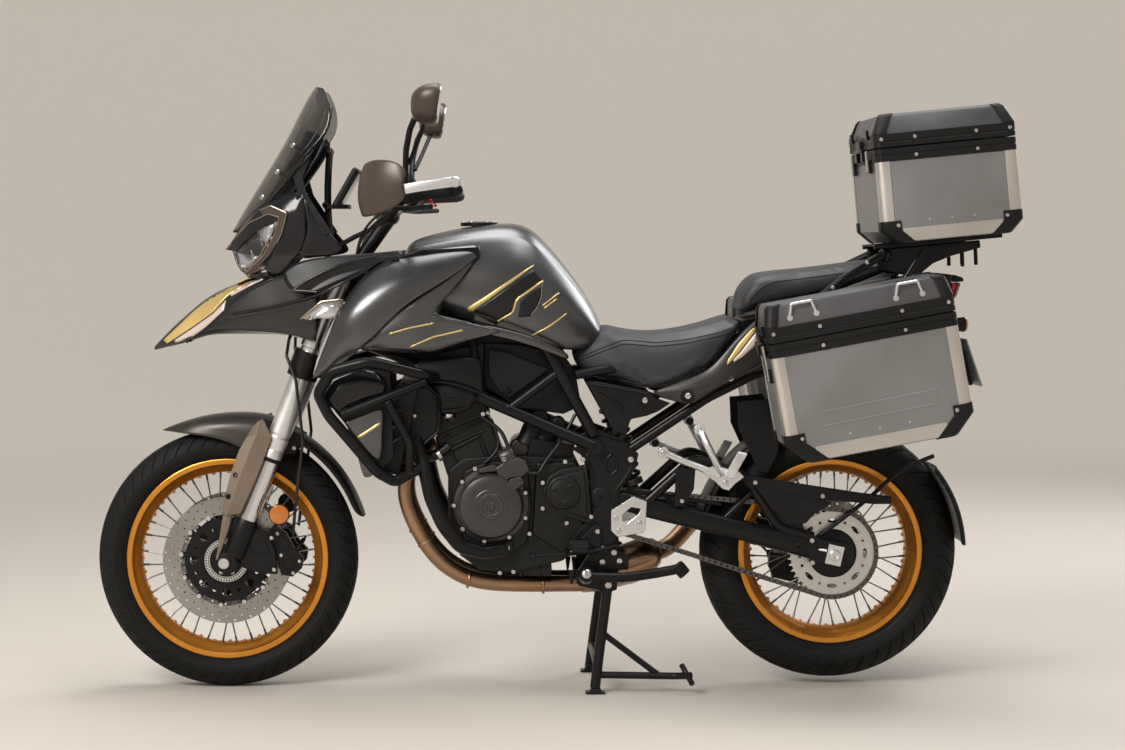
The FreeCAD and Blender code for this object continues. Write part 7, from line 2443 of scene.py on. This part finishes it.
def make_shock():
    top, foot = Vector((978, 0, 705)), Vector((1025, 0, 512))
    run = foot - top
    across = Vector((0, 1, 0))
    ahead = run.normalized().cross(across)
    coil = []
    for i in range(8 * 12 + 1):
        turn = FULL_TURN * i / 12
        coil.append(tuple(top + run * (0.04 + 0.92 * i / 96) + (across * math.cos(turn) + ahead * math.sin(turn)) * 30))
    piece("shock_spring", bent_tube(coil, 5.2, 2), "black_metal", "chassis", replaces=["rear_shock"])
    tube = [lathe(place(965, 0, 760), place(1035, 0, 470),
                  [(0, 12), (0.02, 20), (0.16, 20), (0.17, 34), (0.2, 35), (0.22, 24), (0.5, 22), (0.52, 13),
                   (0.8, 13), (0.81, 34), (0.86, 35), (0.87, 20), (0.98, 20), (1, 12)], 28)]
    piece("shock_body", tube, "dark_alloy", "chassis", slot="black_metal", sharp=30)


def make_footrests():
    plates, pegs, rubbers, heels, levers, bolts, hangers, grips, ribs = [], [], [], [], [], [], [], [], []
    plate = [(893, 390), (928, 426), (944, 420), (942, 351), (932, 347), (928, 371), (912, 378), (900, 372)]
    base = [(905, 434), (940, 470), (985, 470), (1000, 420), (960, 350), (905, 350), (872, 352), (870, 384)]
    heel = [(968, 461), (1024, 496), (1058, 484), (1054, 410), (1048, 404), (984, 394), (968, 410)]
    hole = [(996, 449), (1018, 469), (1042, 465), (1036, 451), (1008, 429), (996, 437)]
    for side in BOTH:
        def between(a, b):
            return sorted((side * a, side * b))
        plates.append(plate_mesh(base, *between(128, 138)))
        plates.append(plate_mesh(plate, *between(138, 148)))
        for x, z in ((864, 271), (880, 271)):
            plates.append(plate_mesh([(x - 1, 309), (x + 14, 309), (x + 8, 273), (x + 3, 273)], *between(128, 136)))
        ring = plate_ring(heel, hole, *between(141, 151))
        heels.append(ring)
        rubbers.append(ring_mesh([[(x0, side * y, 366), (x1, side * y, 366), (x1, side * y, 385),
                                   (x0, side * y, 385)] for y, x0, x1 in
                                  ((146, 862, 905), (150, 860, 907), (236, 866, 910), (242, 870, 906))]))
        for i in range(7):
            y = 158 + 12 * i
            ribs.append(box_mesh(863, 907, *between(y, y + 6), 384, 388))
        pegs.append(rod((884, side * 128, 370), (884, side * 150, 370), 15, 20, 2))
        bolts += [((980, side * 151, 442), (0, side, 0)), ((1040, side * 151, 430), (0, side, 0)),
                  ((988, side * 151, 410), (0, side, 0)),
                  ((934, side * 148, 408), (0, side, 0)), ((947, side * 138, 365), (0, side, 0))]
        y = side * 162
        hangers.append(bent_tube([(1098, y, 607), (1128, y, 594), (1160, y, 580), (1200, y, 566), (1238, y, 545)], 9,
                                 3))
        hangers.append(rod((1188, y, 665), (1246, y, 548), 9.5, 16, 1))
        hangers.append(plate_mesh([(1196, 566), (1232, 574), (1256, 566), (1286, 560), (1300, 546), (1276, 528),
                                   (1262, 512), (1246, 516), (1226, 536), (1200, 552)], *between(156, 168)))
        for x, z in ((1098, 607), (1188, 665)):
            hangers.append(turned_ring([(side * 155, 4), (side * 155, 14), (side * 169, 14), (side * 169, 4)],
                                       place(x, 0, z), 24))
            bolts.append(((x, side * 168, z), (0, side, 0)))
            grips.append(rod((x, side * 112, z), (x, side * 156, z), 10, 16, 1))
        hangers.append(ring_mesh([[(1258 + f * 36 - 10, side * (168 + d0), 548 + f * 62),
                                   (1258 + f * 36 + 12, side * (168 + d0), 542 + f * 62),
                                   (1258 + f * 36 + 12, side * (168 + d1), 542 + f * 62),
                                   (1258 + f * 36 - 10, side * (168 + d1), 548 + f * 62)]
                                  for f, d0, d1 in ((0, 1, 14), (0.05, 0, 16), (0.95, 0, 16), (1.03, 3, 12))]))
        bolts.append(((1254, side * 169, 532), (0, side, 0)))
    levers.append(bent_tube([(985, -150, 372), (930, -156, 360), (860, -160, 352), (770, -182, 350)], 5, 3))
    levers.append(rod((770, -176, 350), (770, -214, 350), 9, 20, 2))
    levers.append(bent_tube([(985, 150, 372), (930, 156, 360), (860, 160, 352), (770, 182, 350)], 5, 3))
    levers.append(rod((770, 176, 350), (770, 214, 350), 9, 20, 2))
    piece("footrest_brackets", plates, "black_metal", "chassis", bevel=2.0, replaces=["footrests"])
    piece("footrest_pegs", pegs + grips, "black_metal", "chassis", sharp=35)
    piece("footrest_rubbers", rubbers, "black_rubber", "chassis", bevel=5, segments=3)
    piece("footrest_ribs", ribs, "black_rubber", "chassis", bevel=1.2)
    piece("heel_guards", heels, "silver_alloy", "chassis", bevel=2.5, segments=3)
    piece("pillion_hangers", hangers, "silver_alloy", "chassis", bevel=2.5, segments=3, sharp=45)
    piece("foot_levers", levers, "black_metal", "chassis", sharp=40)
    bolted("footrest_bolts", 6.5, 4, bolts, "wheel_steel", "chassis")


def plate_ring(outline, hole, y0, y1):
    """A plate with one opening, joined corner to nearest corner."""
    shape = bmesh.new()
    layers = []
    for y in (y0, y1):
        outer = [shape.verts.new(place(x, y, z)) for x, z in outline]
        inner = [shape.verts.new(place(x, y, z)) for x, z in hole]
        edges = [shape.edges.new((ring[i], ring[(i + 1) % len(ring)])) for ring in (outer,
                inner) for i in range(len(ring))]
        bmesh.ops.triangle_fill(shape, edges=edges, use_beauty=True)
        layers.append((outer, inner))
    for ring_a, ring_b in zip(*layers):
        for i in range(len(ring_a)):
            j = (i + 1) % len(ring_a)
            shape.faces.new((ring_a[i], ring_a[j], ring_b[j], ring_b[i]))
    bmesh.ops.dissolve_limit(shape, angle_limit=0.01, verts=shape.verts, edges=shape.edges)
    return finish_mesh(shape)


def make_rear_caliper():
    carrier = [(1440, 330), (1496, 262), (1500, 232), (1402, 256), (1387, 328)]
    body = [(1400, 322), (1440, 318), (1478, 262), (1484, 240), (1412, 258), (1396, 290)]
    parts = [plate_mesh(body, 91, 99), plate_mesh(body, 66, 74)]
    piece("rear_caliper_body",
          parts + [plate_mesh([(1394, 326), (1404, 326), (1416, 262), (1404, 260), (1390, 290)], 70, 96)],
          "black_metal", "chassis",
          bevel=2.5, segments=3, replaces=["rear_caliper"])
    piece("rear_caliper_carrier", plate_mesh(carrier, 97, 103), "black_metal", "chassis", bevel=2)
    spots = [((x, 99, z), (0, 1, 0)) for x, z in ((1414, 312), (1468, 262), (1420, 276))]
    bolted("rear_caliper_pins", 6, 4, spots, "wheel_steel", "chassis")
    hose = bent_tube([(1412, 104, 300), (1360, 118, 360), (1240, 100, 440), (1100, 100, 470), (1010, 96, 430)], 3.2,
                     2)
    piece("rear_brake_hose", hose, "hose_rubber", "chassis")


def make_racks():
    lean = tilted_to(TOP_CASE_ORIGIN, -TOP_CASE_LEAN)
    deck = [turned(box_mesh(-8, 318, -98, 98, -235 - 7, -235 - 2), lean)]
    for i in range(5):
        x = 24 + 62 * i
        deck.append(turned(box_mesh(x, x + 26, -92, 92, -235 - 13, -235 - 6), lean))
    for s in BOTH:
        deck.append(turned(box_mesh(-8, 318, *span(s, 84, 98), -235 - 14, -235 - 2), lean))
    piece("top_case_deck", deck, "black_plastic", "chassis", bevel=2.5, segments=3, replaces=["luggage_racks"])
    rails, beams, clamps, spots = [], [], [], []
    for s in BOTH:
        rails.append(cornered_tube([(1440, s * 112, 935), (1440, s * 140, 955), (1480, s * 150, 985),
                                    (1560, s * 146, 1050), (1660, s * 95, 1102)], 11, 34, 4))
        rails.append(rod((1700, s * 88, 1018), (1760, s * 90, 1112), 9, 18))
        beams.append(plate_mesh([(1648, 1113), (1902, 1137), (1905, 1118), (1828, 1096), (1784, 1078), (1754, 1053),
                                 (1715, 1048), (1642, 1062)],
                                *span(s, 80, 96)))
        for x, z in ((1858, 1094), (1892, 1098)):
            rails.append(rod((x, s * 88, z + 20), (x + 2, s * 88, z - 24), 5, 12, 1))
        y = s * (250 - 14)
        rails.append(cornered_tube([(1480, s * 150, 985), (1460, y, 900), (1440, y, 650), (1700, y, 700),
                                    (1740, y, 900), (1480, s * 230, 870)], 9, 40, 4))
        for x, yy, z in ((1480, 150, 985), (1660, 97, 1100)):
            clamps.append(rod((x - 3, s * yy - s * 4, z - 12), (x + 3, s * yy + s * 4, z + 12), 15, 18, 2))
        spots += [((1520, s * 160, 1018), (0, s, 0)), ((1610, s * 134, 1080), (0, s, 0.4))]
    piece("rack_rails", rails, "black_metal", "chassis", sharp=50)
    piece("rack_beams", beams, "black_metal", "chassis", bevel=4.0, segments=3)
    piece("rack_clamps", clamps, "black_metal", "chassis", sharp=35)
    bolted("rack_bolts", 5.5, 4, spots, "wheel_steel", "chassis")


def make_stands():
    legs, feet, bars, pins = [], [], [], []
    for s in BOTH:
        legs.append(bent_tube([(961, s * 141, 275), (953, s * 141, 212), (945, s * 141, 150), (936, s * 146, 80),
                               (928, s * 152, 14)], 13, 5))
        legs.append(turned_ring([(s * 128, 6), (s * 128, 18), (s * 156, 18), (s * 156, 6)], place(961, 0, 275), 32))
        feet.append(ring_mesh([[(904, s * 137, z0), (953, s * 137, z0), (953, s * 171, z0),
                                (904, s * 171, z0)] for z0 in (0.5, 6)]))
        feet.append(ring_mesh([[(912, s * 142, 5), (946, s * 142, 5), (946, s * 166, 5), (912, s * 166, 5)],
                               [(920, s * 146, 17), (940, s * 146, 17), (940, s * 160, 17), (920, s * 160, 17)]]))
        pins.append(((961, s * 157, 275), (0, s, 0)))
    bars.append(rod((934, -145, 74), (934, 145, 74), 11, 24))
    bars.append(cornered_tube([(930, -146, 46), (1130, -160, 44), (1166, -188, 50)], 9, 24, 4))
    bars.append(rod((948, -140, 150), (1085, -156, 48), 8, 16))
    bars.append(rod((1144, -164, 74), (1170, -196, 28), 7, 14, 2))
    piece("centre_stand_legs", legs, "black_metal", "centre_stand", sharp=50, replaces=["centre_stand"])
    piece("centre_stand_feet", feet, "black_metal", "centre_stand", bevel=2.0, segments=2)
    piece("centre_stand_bars", bars, "black_metal", "centre_stand", sharp=50)
    bolted("centre_stand_pins", 10, 6, pins, "wheel_steel", "centre_stand")
    leg = [bent_tube([(905, -180, 300), (960, -180, 297), (1000, -180, 296), (1070, -180.5, 305), (1132, -181, 317)],
                     12.5, 5)]
    foot = lathe(place(1130, -182, 328), place(1151, -182, 304), [(0, 15), (0.3, 17), (1, 16)], 28)
    a, b = side_pivot(-20), side_pivot(12)
    boss = lathe(place(*a), place(*b), [(0, 17), (0.1, 20), (0.9, 20), (1, 17)], 32)
    piece("side_stand_leg", leg, "black_metal", "side_stand", sharp=50, replaces=["side_stand"])
    piece("side_stand_foot", [foot, boss], "black_metal", "side_stand", sharp=35)
    aim = Vector(a) - Vector(b)
    piece("side_stand_pin", on_spots(bolt_head(12, 5), [(tuple(Vector(a)), tuple(aim.normalized()))], "wheel_steel"),
          "wheel_steel", "side_stand")


def side_pivot(inward):
    lean = math.radians(20)
    return (905, -170 + inward * math.cos(lean), 300 - inward * math.sin(lean))


def make_chassis():
    make_swingarm()
    make_hugger()
    make_shock()
    make_footrests()
    make_rear_caliper()
    make_racks()
    make_stands()

# ----------------------------------------------------------- floor and light

def make_floor():
    mesh = bpy.data.meshes.new("floor")
    shape = bmesh.new()
    flat, bend, top, segments = 9.0, 3.5, 7.0, 72
    profile = [(0.02, 0.0), (4.0, 0.0), (flat, 0.0)]
    for i in range(1, 11):
        turn = math.radians(90 * i / 10)
        profile.append((flat + bend * math.sin(turn), bend - bend * math.cos(turn)))
    profile.append((flat + bend, top))
    rows = []
    for i in range(segments):
        turn = FULL_TURN * i / segments
        rows.append([shape.verts.new((r * math.cos(turn), r * math.sin(turn), z)) for r, z in profile])
    for i in range(segments):
        a, b = rows[i], rows[(i + 1) % segments]
        for j in range(len(profile) - 1):
            shape.faces.new((a[j], a[j + 1], b[j + 1], b[j]))
    shape.faces.new([row[0] for row in rows])
    bmesh.ops.recalc_face_normals(shape, faces=shape.faces)
    shape.to_mesh(mesh)
    shape.free()
    for face in mesh.polygons:
        face.use_smooth = True
    floor = bpy.data.objects.new("floor", mesh)
    bpy.context.collection.objects.link(floor)
    mat, tree, shader = new_material("floor_paint_with_painted_glow")
    shader.inputs["Base Color"].default_value = (0.50, 0.465, 0.42, 1)
    shader.inputs["Roughness"].default_value = 0.75
    # Painted light: the floor and its curved wall glow more the farther they lie from the machine, from none within 1.4
    # m to the most at 9 m, brightening the backdrop where the lamps' light falls off.
    spot = node(tree, "ShaderNodeTexCoord")
    reach = node(tree, "ShaderNodeVectorMath", operation="LENGTH")
    tree.links.new(spot.outputs["Object"], reach.inputs[0])
    painted_backdrop_glow = node(tree, "ShaderNodeMapRange", interpolation_type="SMOOTHSTEP")
    for name, value in (("From Min", 1.4), ("From Max", 9.0), ("To Min", 0.0), ("To Max", 0.36)):
        painted_backdrop_glow.inputs[name].default_value = value
    tree.links.new(reach.outputs["Value"], painted_backdrop_glow.inputs["Value"])
    shader.inputs["Emission Color"].default_value = (0.74, 0.69, 0.62, 1)
    tree.links.new(painted_backdrop_glow.outputs["Result"], shader.inputs["Emission Strength"])
    mesh.materials.append(mat)


def area_light(name, place, aim, size, power, color):
    data = bpy.data.lights.new(name, "AREA")
    data.shape = "RECTANGLE"
    data.size, data.size_y = size
    data.energy = power
    data.color = color
    lamp = bpy.data.objects.new(name, data)
    lamp.location = place
    toward = Vector(aim) - Vector(place)
    lamp.rotation_euler = toward.to_track_quat("-Z", "Y").to_euler()
    bpy.context.collection.objects.link(lamp)


def make_lights():
    world = bpy.data.worlds.new("studio")
    world.use_nodes = True
    back = world.node_tree.nodes["Background"]
    back.inputs["Color"].default_value = (0.80, 0.78, 0.75, 1)
    back.inputs["Strength"].default_value = 0.36
    bpy.context.scene.world = world
    area_light("key", (-3.0, -3.8, 4.0), (0, 0, 0.7), (2.4, 2.4), 300, (1.0, 0.97, 0.93))
    area_light("top", (0.4, 0.4, 4.6), (0, 0, 0.5), (4.5, 2.5), 190, (1.0, 0.98, 0.96))
    area_light("rim", (3.2, 3.0, 3.0), (0, 0, 0.8), (2.0, 2.5), 90, (0.95, 0.97, 1.0))



def dress_cad():
    """Give every carried-over part its finish."""
    wanted = {row["node"]: row["material_slot"] for row in frame["record"]["subparts"]}
    for name, obj in frame["nodes"].items():
        finish = FINISH[wanted[name]]
        obj.data.materials.clear()
        obj.data.materials.append(finish)


dress_cad()
make_wheels()
make_steering()
make_bodywork()
make_rear()
make_machine()
make_chassis()
make_floor()
make_lights()
bpy.context.scene.view_settings.view_transform = "Standard"
